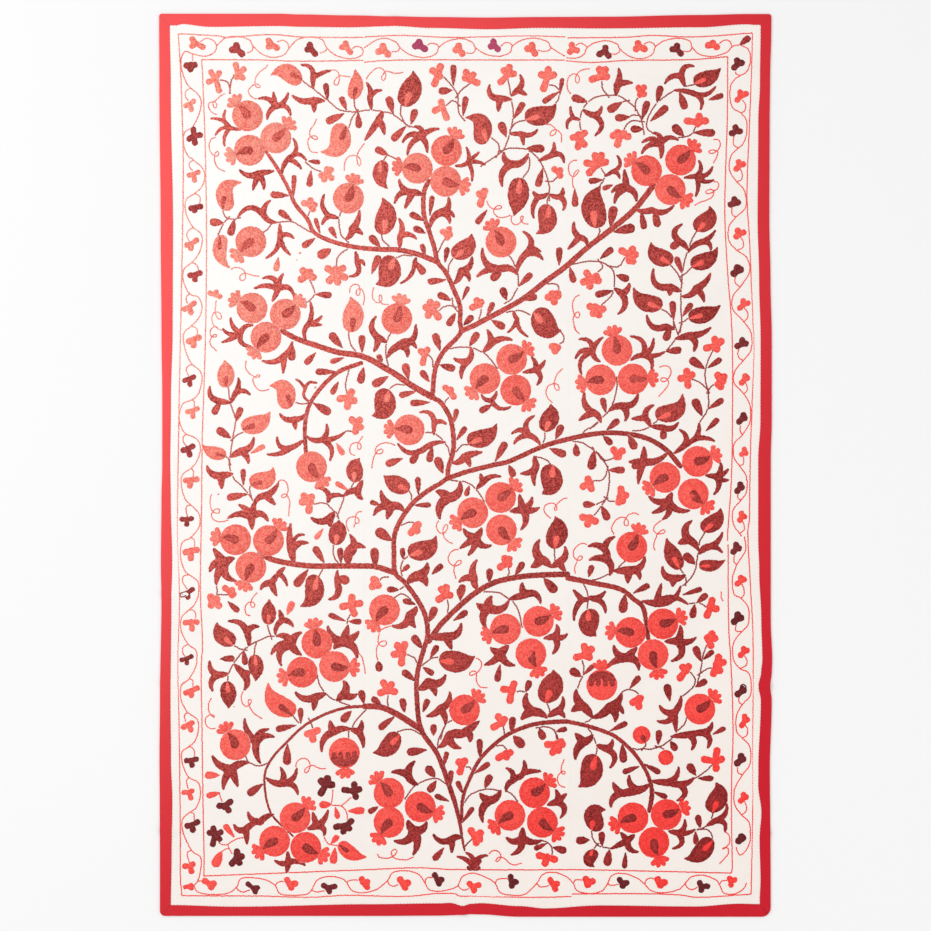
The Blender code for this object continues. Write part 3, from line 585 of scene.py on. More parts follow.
THIRD_BAND = """
S -54.8 32 .75 -51.9 33.9 .2 -57.2 35.6 .15 -59.1 33 .2 -59.3 29.8 .05 -52.4 28.8 -.3
T -60.4 33.4 -61.3 33.5 -62.1 32.8 -62.2 31.6 -61.4 31 -60.6 31.2 -60.9 31.7 -61.7 31.3 -62.2 30.2 -62.2
 29.2 -61.4 28.4 -60.6 27.6
S -44.2 26.4 .85 -42.2 29.8 -.1 -49.4 25.2 .15 -44.4 22.3 0
D -42.2 29.6 -42.4 25.2 2
D -36.4 27.3 -39.1 24.4 1.7
D -29.9 28.3 -33 32 2.1
D -29.4 26 -33 24.9 1.4
D -31.2 22.5 -36.6 22.6 1.7
T -53.4 25.3 -53.6 23.9 -53 22.5 -51.7 21.5 -50.8 21.2 -50.1 21.5 -50.5 21.9 -51.2 21.3 -51.8 20.8 -51.5
 19.5 -50.6 18.3 -49.4 17.9 -47.8 18.3
A -58.4 18.7 -58.7 25.5 4.3 -.2 c
M -57.8 19 -57.6 17 -57.3 15 -56.7 13.2 -56.1 11.2 -56.2 9 -56.6 7 -56.9 5 -57.2 3 -57.5 .5
S -56 17.4 .75 -57.2 15 0 -55.3 21 -.1 -52.5 17 .2
S -60 15.4 .85 -57.3 15 0 -62.3 18.9 .25
D -59.6 15.6 -61.5 12.1 1.8
D -56 10.2 -54.6 14 1.7
D -57 6.3 -60.6 8.7 2.1
A -54.4 8.4 -47.5 12.9 4.6 -1 c
M -54.2 7.8 -55.4 7.3 -56.6 6.3
A -58.4 1.9 -64.4 4.8 3.3 .5 c
M -58.5 1.9 -57.9 1.6 -57.5 .6
S -54.8 3.2 .95 -57.4 1.8 0 -51.6 6.5 -.2 -52.9 .3 .15
E -52.5 2.6 -48.8 4.6 1.4
A -42.3 14.1 -47.8 19.2 4.7 -2 c
M -41 15 -40 14.7 -38.4 14.9
S -39.1 18.2 .45 -38.2 15.4 -.25 -41.2 20.7 -.1 -36.3 19.8 .3
E -36.6 18.7 -36.8 18.6 .6
D -30.9 20.3 -32.6 17 1.5
D -37.2 15 -32.8 12.4 2.2
S -41.7 11 .8 -38.9 12.3 -.15 -45.2 12.3 .2 -41.4 8.6 0
S -42.6 4 .75 -39.5 5.9 -.05 -45.9 6.6 .3 -48.2 2.4 .1
S -34.9 6 .75 -38.8 6.9 .15 -33.8 9.7 -.15 -33 1 .25 -29.5 7.7 -.1
A -27.6 32.2 -28 41 5.2 -.6 c
M -28.4 32.3 -28.3 30.5 -27.5 28.5 -26 26.9
D -25.2 27.2 -25.2 31.6 1.8
S -21.4 31 .9 -19.2 29.8 0 -21.8 36 .25 -22.3 27.6 .1
M -18.1 32 -18.8 30.9 -19.2 29.5 -19.4 27.5 -19.1 25.3 -18.6 23.7
S -16.1 29 1 -18.9 26.2 -.1 -12.1 34 -.25 -11.9 28.4 .3 -14.1 26.2 .25
D -20.2 24.8 -21.4 26.8 1.5
D -18.6 21.5 -22.7 19.2 2.1
A -18.6 18.2 -22.8 11.7 5.4 1.6 d
M -18.6 18.2 -17.9 19 -16.8 19.5 -15.5 19.4
D -13.8 20.6 -14.8 24.7 2
D -11.9 17.8 -16.2 16.7 1.6
D -8.5 15.1 -13.5 14.9 1.7
D -8.7 20 -10.9 22.9 1.7
D -6.1 27.6 -7.5 32 2
W -9.9 26.6 .8 -11.2 28 -9 28.4 -10.5 24.2
M -8.7 26.4 -8 25.5 -7.9 24
M -4.2 28 -2.8 28.4 -1 28.6 1 28.5 1.8 28.4 3.5 27.6 4.5 27.2 5.8 26 7.4 24
D -6.4 24.3 -2.4 23.2 1.9
S .7 25.2 .85 1.3 28.5 -.15 -2.8 25.8 .1 -.9 20.9 -.15
W -3.9 17.8 .8 -5.2 19 -3.1 18.6 -2.5 16.1
M -4 16.3 -4.8 15.5 -5.2 14.5
D -2.8 10.1 -2 13.6 1.4
S -7.6 10 .7 -7.7 7.3 0 -11 12.7 -.3 -4.7 9.8 .2
M -10 7.8 -7.7 7.5 -6.2 6.6 -5 5.2 -4.2 4 -3.8 2.5 -3.6 1
S -10 3.8 .8 -5 5.4 .1 -16.4 5 .25
D -11.2 3.2 -13.3 .2 1.9
D -8 4.4 -8.9 .5 1.8
W -28.5 16.3 1.05 -27.4 18.2 -26.6 15.2 -31.2 15.9 -28.8 13.5
M -28.9 17.7 -29.2 19 -28.9 21 -28.5 22.5
D -24.8 23.8 -25.7 19.6 2
W -26.6 9.6 .85 -28 11.4 -25.4 11.3 -25 8.8 -26.8 7.4
M -29.5 7.9 -28.8 8.1 -27.8 8
E -31.5 5.2 -29.6 2.2 1.5
T -24.9 6.9 -26 5.4 -26.3 4.3 -25.9 3.6 -25.4 4.2 -25.7 5.1 -26.6 5.3 -27.8 4.8 -28.2 3.4 -27.8 2.5 -26.9
 2.1
T -17.1 4.6 -18.5 5.2 -20 5.2 -21.4 4.5 -22 3.2 -21.2 2.5 -20.1 3 -20.4 3.7 -21.4 3.3 -22.2 2 -22.6 .5
 -22.8 -1
D .9 28.7 3.2 32.2 1.9
S 6.2 29.3 .9 4.4 27.4 0 5.4 32.7 -.1 11.4 30.3 .15
D 6.3 35.2 9.7 33.2 1.9
S 12.6 35.5 .6 11.8 37.3 .1 10.4 32.2 .1 15.2 31.2 -.15
A 16.6 37.2 23.4 32.6 6 -1.4 d
M 23.3 32.4 24 31.2 23.9 30 22.8 29.2
W 21.9 28.7 .9 20.6 28.8 23.1 28.2 21.9 27
T 26.6 33.8 27 32.6 27.9 31.8
S 17.1 23 .75 16.2 26.1 -.15 19.4 25.3 -.1 14.2 22.4 0 17.5 19.4 .3
T 23.8 23.4 22.6 22.2 21.8 20.5 21.7 19 22.4 18 22.9 18.5 22.4 19.5 21.2 19.6 20 18.8 19.7 17.3 20.3 15.9
 21.3 15
S 6.4 15.6 .65 4 17 .2 7.6 17.7 -.1 11 14 -.25
D 6.6 14.6 3.4 12.8 1.7
A .7 5 7.8 10 4.5 -1.2 d
M .4 4.8 -.8 4.7 -2 3.3
D -2.2 5.8 .2 9.2 1.5
D 7.2 .5 9.9 5.5 1.9
S 15.6 7.1 .8 16.8 11.8 .3 11.4 7.5 -.25 11.9 5 -.15 18.2 4.8 .1
A 19.5 7.9 20.9 14.8 4.6 -.6 d
M 19.4 8 19.4 6.5 19 5.3
D 22 6 23.6 9.7 1.9
D 20.4 3.9 24.6 2.2 2
D 26.9 5.2 27.2 1.9 1.8
M 26.5 5.6 28.3 5.3 29.8 4.5 31.6 3.2 33 1.6
M 28.1 7 29.5 8.4 31.3 9.3 32.6 10.4
S 31.2 12.6 .95 29.1 17.4 .2 27.8 10.7 -.05 33 10.3 .15
S 31 27.5 .75 27.8 30.5 -.3 33.5 30.9 .1 26.9 25.8 -.25 28.3 22 -.25 32.8 25.1 -.15
S 43.5 26.6 .75 40.3 31.2 -.3 45.9 30.6 -.15 40.4 25.4 -.1 48.6 27.4 -.1 45.4 23.1 .25
M 48.6 27.4 49.8 28.6 51 30.2 51.9 31.7 52.6 33.5
M 51.8 31.8 51.2 33.5 50.8 35
D 48.8 27.5 52.8 27.9 1.9
S 48.8 33.5 .9 50.9 33 0 44.3 36.3 .3
D 50 33.4 48.7 30.1 2
S 54.6 31.4 .95 51.3 30.6 0 59.8 33.3 -.1 55.7 27.6 .25
W 61.1 28.9 .9 60.7 31.1 62.9 30.4 58.2 28.2 61.6 27.5
M 60.1 27.2 59.3 25.6 58.8 24 58.5 22.5 58.5 21 58.8 19.3 59.2 18 59.3 16 59.3 14.5 58.8 12.8 57.8 11.2 57
 10
D 58.5 23.2 54.7 25.8 2.2
D 59 23.4 62.5 25.8 1.5
W 54.2 21.1 .9 53.9 23.3 55.8 22.2 51.9 20.9 54.3 18.6
M 55.9 20.5 57 20.1 58.2 19.1 59.1 18
W 62.2 20.4 .9 61.3 22.3 63.5 21.8 63.4 20 62.3 18.3 61.3 18.9
M 60.8 19.6 60 19 59.3 18
D 57.9 11.6 55.7 16 2.2
D 59.1 13.4 63 15.9 1.6
D 58.6 8 61.8 11.2 1.5
S 53.4 4.5 .8 51 2.7 0 52.3 8.4 -.25 56.2 6.3 0
S 56 6.2 .75 57 10 -.1 60.7 5.7 .1 53.4 4.5 0
A 46.8 11 53.1 17.2 4.5 -1.8 d
M 46.5 10.4 45.5 9.5 44.4 8.8 42.9 8.3 41.6 8.2
S 43.9 11.3 .85 45.9 14.4 .2 40.7 11.1 0 45 9.2 .1
S 48.3 8.9 .85 45.2 9.3 0 51.9 10.1 -.2
D 48.3 9.2 48.3 6 1.8
T 47.3 23.7 48.5 24 49.7 23.7 50.2 22.6 49.8 21.4 48.8 20.3 48 20.2 47.6 20.7 48.2 21.1 49.2 20.8 49.6
 19.8 49.1 18.7 48.2 17.7 47.1 16.5
S 38.2 14.3 .95 35 13 -.1 42.1 17.2 -.25 39 10.6 .2
D 34.3 12.4 33.4 16.3 1.6
M 31 9.2 32.5 10.6 34.3 12.3 35.6 14 36.5 16.5 37 19 36.9 20.5
D 34.4 8.2 37.5 11 1.7
D 33.6 7 35.8 4.8 1.7
D 39.8 7.3 41.5 3.6 2.1
W 37 2.4 1 35.8 4 38.8 3.6 36.9 1.2 37.7 1.3
M 36 1.5 34.5 .9 33.9 1.1 33 2 31.5 3.6
"""
FOURTH_BAND = """
M -57.5 .5 -57.3 -1.5 -56.9 -2.7 -56 -4 -54.8 -5 -53.5 -6.5 -52.5 -7.7 -51.8 -8.8
S -59.6 -2.8 1 -63 -.5 .2 -56.8 -2.3 0 -59.4 -5.9 0
D -54.1 -5.2 -54.2 -1 1.4
A -52.3 -5.2 -46.7 -.7 4.4 -1.3 c
M -52.3 -5.1 -52.6 -6 -52.3 -7.4
D -52.8 -7.2 -58.2 -8.2 1.9
S -48.6 -7.6 .9 -45.6 -4.6 -.1 -46.4 -9.8 0 -51.4 -10 -.2
S -52.2 -12.8 1 -52 -15.8 0 -57.8 -13.1 -.15 -55.2 -9.9 -.1 -48.1 -13.8 .3 -51.3 -9 0
T -45.7 -4.3 -44.8 -3.8 -43.9 -4.2 -43.3 -5.2 -43.3 -6.8 -43.8 -7.9 -44.7 -8.1 -44.8 -7.6 -44 -7.2 -43.3
 -7.8 -42.8 -9.3 -43 -11 -43.1 -12.7
T -61.8 -7.2 -62.2 -8.5 -62.2 -10 -61.8 -11.3 -60.9 -11.9 -60 -11.8 -60 -11 -60.7 -10.9 -61.5 -11.5 -61.9
 -12.5 -61.4 -13.5 -60 -14 -58.7 -13.9 -57.8 -13.5
E -60.2 -7.5 -60.2 -7 .6
S -58.8 -24.2 1.2 -61.4 -20.6 0 -56.4 -23 .1 -62.3 -26.1 -.25 -60.7 -29.3 -.1 -56 -28.4 -.25
M -60.7 -29.2 -60.5 -31 -60.6 -31.7 -59.5 -31.8 -58.2 -31.8
W -57.5 -31 .8 -59 -29.9 -56.4 -30.4 -56.6 -32.4 -56.1 -31.9
S -42.4 -21.2 1 -41.8 -24 0 -42.6 -14.5 .05 -38.4 -19.2 .2
S -41.7 -18.5 .5 -39.3 -17.2 .2 -41.9 -20 0
S -45.5 -26.5 .7 -44.1 -25.2 0 -43.5 -29.6 .1
S -47.3 -29 .9 -45.4 -26.3 0 -49.9 -30.5 -.2 -46.1 -32 0
D -38.2 -25.5 -41.6 -29.8 2.2
M -34.8 -25.6 -35.6 -27.2
W -37.9 -9 1.1 -39.8 -7.3 -37.3 -7.4 -40.4 -9.3 -38.2 -11.9
M -36.3 -9.6 -35 -9.4 -33.7 -9.7 -32.7 -10.8 -31.5 -11.8 -31.1 -12.5 -30.8 -13.6
S -33.2 -7.9 .7 -35.8 -5.8 -.2 -33.5 -9.3 0 -29.6 -7.8 .1
S -33 -13.1 1 -32 -11.8 0 -37.6 -13 .2 -33 -15.1 0
E -34.6 -15.6 -36.6 -18.3 1.4
A -31.7 -19.7 -30.8 -13.4 4.4 -.2 d
M -32.2 -19.8 -32.2 -21.5 -31.8 -23 -31 -24
D -34.3 -24.2 -36.9 -20 1.9
A -27.2 -4.4 -25.8 1.6 4.2 .6 d
M -27.2 -4.5 -27.8 -5.6 -28.2 -6.6
E -28.3 -6.5 -31.7 -4.4 1.4
S -26.3 -6.5 .9 -25.1 -4 0 -25.2 -8.5 -.1 -29.6 -7.8 -.15
M -29.5 -7.9 -30.2 -10 -31 -12
T -25.2 -11.5 -26 -11.6 -26.6 -12.3 -26.9 -13.5 -26.8 -14.3 -26.2 -14.4 -25.9 -13.9 -26.1 -13.2 -26.7
 -12.9 -27.5 -12.8 -28.5 -13.2 -29 -14.2 -28.8 -15.5 -28.3 -16.4
T -26.8 -14.3 -27.2 -15.4
S -28.6 -22 1.2 -28.1 -17.2 -.25 -24.5 -20.3 .3 -28.6 -24.3 0
D -30.3 -24.2 -30.6 -20.3 1.6
D -21.9 -25.5 -22.2 -20.3 2.2
D -17.7 -18.8 -21.8 -15.9 2.6
W -12.1 -15.2 1 -11 -14.3 -13.6 -17.2 -11.6 -16.8
M -15 -14.6 -13.5 -14.1 -12.2 -14.3
S -18 -10.2 1.1 -20.5 -6.5 .15 -22.3 -12.4 -.2 -19.1 -13.2 0 -15 -11.5 .2
D -20.7 -9.9 -23.3 -9.1 1.3
A -13.7 -6.4 -20 -2.7 4.4 .3 d
M -13.6 -6.6 -13.1 -7.8 -13.3 -9.5
D -11.4 -7.6 -11.6 -3 1.5
D -12.6 -10 -8.3 -9.9 1.4
D -5.4 -2.4 -7 1.8 2.2
D -15.1 1.5 -19.5 -.1 1.9
S -.2 1.8 1 -3.3 .4 .15 1.1 -.5 .1 4 2.9 .05
S -4.2 -8.2 1.3 -1.3 -4.2 -.25 -7.1 -6.6 -.1 -6.2 -13.3 -.2
M -3.5 -3.9 -1.5 -4.1 0 -4.3 1.3 -4.9 2.5 -6 3.7 -7.5 4.8 -9.5
D 1 -5.1 .1 -7.8 1.4
T -6.5 -13.7 -7 -14.7 -6.9 -15.8 -6.2 -16.7 -5.2 -16.8 -4.6 -16.2 -4.3 -15 -4.8 -14.7 -5.3 -15.5 -5.4
 -16.8 -5 -18 -4.2 -18.8 -3 -19.4
T -1.6 -20.8 -2.8 -20.9 -3.8 -21.8 -4.2 -23 -3.7 -24.2 -2.7 -24.7 -1.5 -24.5 -1 -23.8 -1.5 -23.4 -2.3 -24
 -2.7 -25.2 -2.7 -26.5 -2.2 -27.9
A -13.7 -22.4 -7 -17.4 4.9 -1.3 d
M -13.8 -22.3 -15 -23.3 -15.6 -24.5 -15.7 -26 -15.3 -27.5 -15 -29
D -15.1 -23.4 -15.4 -20.3 1.4
D -15.6 -26.3 -13.6 -24.5 1.3
S -11.6 -27.2 1.3 -14.1 -29 -.1 -9.3 -24.1 -.2 -9.5 -29.6 .2
D -8.3 -26.9 -5.5 -24.4 1.6
W -22 -28.4 1.1 -22.8 -27.6 -22.9 -30.4 -20.9 -30.1
M -20.8 -28.2 -20.2 -27.6 -19.5 -27.5
D -16 -30.6 -19.2 -30.5 1.6
M -16.2 -30.6 -15 -29.9
S -30.9 -30 .9 -31.2 -26 .05 -33.3 -32.9 .25
D -30.9 -27.4 -28.3 -28.8 2.3
D -1.3 -33.3 -.6 -29.2 1.9
S 2.6 -17.8 1 -.4 -15.8 .15 3.9 -15.6 -.1 -1.2 -20.4 0 .8 -22.1 .1 6.3 -19.8 -.25
S 4.3 -4.4 .8 3.7 -2.4 0 8.6 -3 .15 2.8 -5.9 0
D 10.6 -.1 11.9 -3.1 1.8
S 17.3 -.6 .9 16.8 1.9 0 13.6 -2.2 .15 16.9 -5.1 -.1
M 17.5 1.8 19 1.4 20.2 .7 21 -.3
A 21.4 -.1 18.7 -7.4 5.4 1.4 d
T 24.9 -8.2 23.8 -8.5 22.8 -9.3 22.1 -10 21.7 -10.9 21.9 -11.3 22.3 -11 22.2 -10.1 21.5 -9.5 20.3 -9.6
 19.4 -10.2 19.2 -11.2 19.7 -12.2 20.9 -13.2
A 21.8 -20.6 21.9 -12.6 5.2 -.8 d
M 21.7 -20.6 21.8 -23 21.3 -24.8 20.7 -25.5 20.2 -27
S 18.3 -23.2 1.2 18.1 -18.4 .2 16.1 -25 .1 20.9 -25.1 .1
S 23 -23.8 1 24.3 -20.2 -.2 24.4 -25.9 -.1 21 -25.1 0
D 19 -27.6 22.2 -31.2 2.4
S 14 -11 1 13.2 -7.5 0 16.3 -8.1 -.15 18 -10.6 -.12 13.6 -15.9 .2 11 -11.5 0
W 10.2 -24 1 9.3 -22.4 11 -22.6 8 -25.4 11.1 -24.8
M 10.6 -25.6 10.7 -26.5 10.2 -27.3
D 12.1 -27.2 14.2 -23.8 1.7
D 5.8 -28.9 6 -25.3 1.8
S 2.1 -27.8 1 2.8 -23.4 .15 -1.5 -28.7 -.15 3 -30.5 -.1
M 4.2 -31.1 6.5 -31.1 8.5 -31.4 10.3 -32.6
W 30.3 -4.6 1.1 29.7 -3 28.2 -5.7 30.9 -6.5
D 31.5 3.6 30.6 -1.4 2.2
D 31.8 -9.8 28.6 -9.8 1.8
M 31.7 -9.9 33 -9.3 34.1 -8.6
W 30.3 -13.2 1.1 28 -12.8 29.6 -15.2 32.3 -14.2
M 31.2 -12.6 32.2 -11.5 33.3 -10 34.3 -8.4 34.8 -6.7 35.1 -4.5 35.1 -2 34.5 -.5 33.8 .7 33 1.6
T 30 -20 29.3 -19.4 28.4 -19.3 27.3 -19.9 26.5 -21 26.4 -22.2 27 -23.2 27.9 -23.4 28.6 -22.8 28.2 -22.3
 27.5 -22.8 27.1 -24 26.6 -25.5 26.9 -26.6
S 33.9 -20.6 .9 36.4 -17.7 .15 30 -20 -.15 35 -24 .1
S 34.5 -23.2 1 30.3 -23.3 -.1 35.2 -27 .2 34.2 -20.5 0
D 30 -27.6 31 -24.5 1.6
D 34.8 -1.4 39 -1.4 1.8
M 32 -4 33.3 -3.9 34.2 -2.8 34.6 -1.2
M 34.4 -8.4 35.2 -9 36.6 -9
W 37.9 -8 1.1 38 -5.4 39.7 -7.3 37.2 -9.8 38.6 -9.5
D 33.2 -10 34.9 -13.7 2
T 42.4 -12.3 41.2 -11.9 40 -12.2 39.2 -13.1 38.7 -14.2 39 -14.9 39.7 -14.8 39.7 -13.8 39 -13.1 37.9 -12.9
 36.7 -13.6 35.9 -14.8 35.7 -16 36.3 -17.1
S 43.5 .6 1 40 .6 0 42.2 -4.7 -.05 49.4 3 -.15 43.6 4.2 0
D 43.5 .3 40.5 -.7 1.8
S 61.3 -3 .8 62.2 .3 -.15 64.1 -1.2 -.1 64.1 -3.8 -.15 60.6 -7.3 .2 58.7 -2.7 0
S 49.5 -9 1 44.8 -7.9 .15 50.3 -7 0 45.6 -11.8 .12 48.2 -13.4 .2 54.7 -11.3 -.17
T 48 -13.6 46.9 -14.3 46 -15.3 46.1 -16.4 47 -16.9 48 -16.9 48.7 -16.5 48.4 -16 47.6 -16.3 46.8 -17.2 46.2
 -18.7 45.9 -20 46.3 -21
M 38.9 -23.6 37.5 -25 35.8 -26.3 34.5 -27 32.5 -27.9 31 -28.2
S 39.8 -25.9 1.1 36.2 -26 0 39.6 -28.9 0 42.6 -28 .3 43.8 -22.6 -.22
A 58 -16.4 62.4 -10.6 4.2 -.9 d
M 58.2 -17 57.3 -18.5 56.9 -20.2 56.7 -22 56.4 -24 56 -26 55 -27.7 53.8 -29 52.5 -30
S 54.3 -18.3 1.1 55.2 -13.8 .25 52 -19.3 0 56.8 -20.9 .1
S 58.4 -20.4 .9 57 -21.7 0 62.7 -16.7 -.15 62.6 -21.5 .2
A 57 -24.9 63.5 -23.3 3 -.6 d
D 56.2 -24.5 53.3 -21.8 2.2
A 52.3 -25.6 49 -17.9 4.2 .3 d
M 52.4 -25.6 53.2 -26.6 53.8 -27.8 53.8 -28.8
S 50.9 -27.8 1 53.6 -27 -.1 48.1 -25 .25 50.5 -29.7 0
D 40.8 -31.5 45 -29.3 1.6
D 52.9 -31.9 57.8 -30.3 1.4
"""
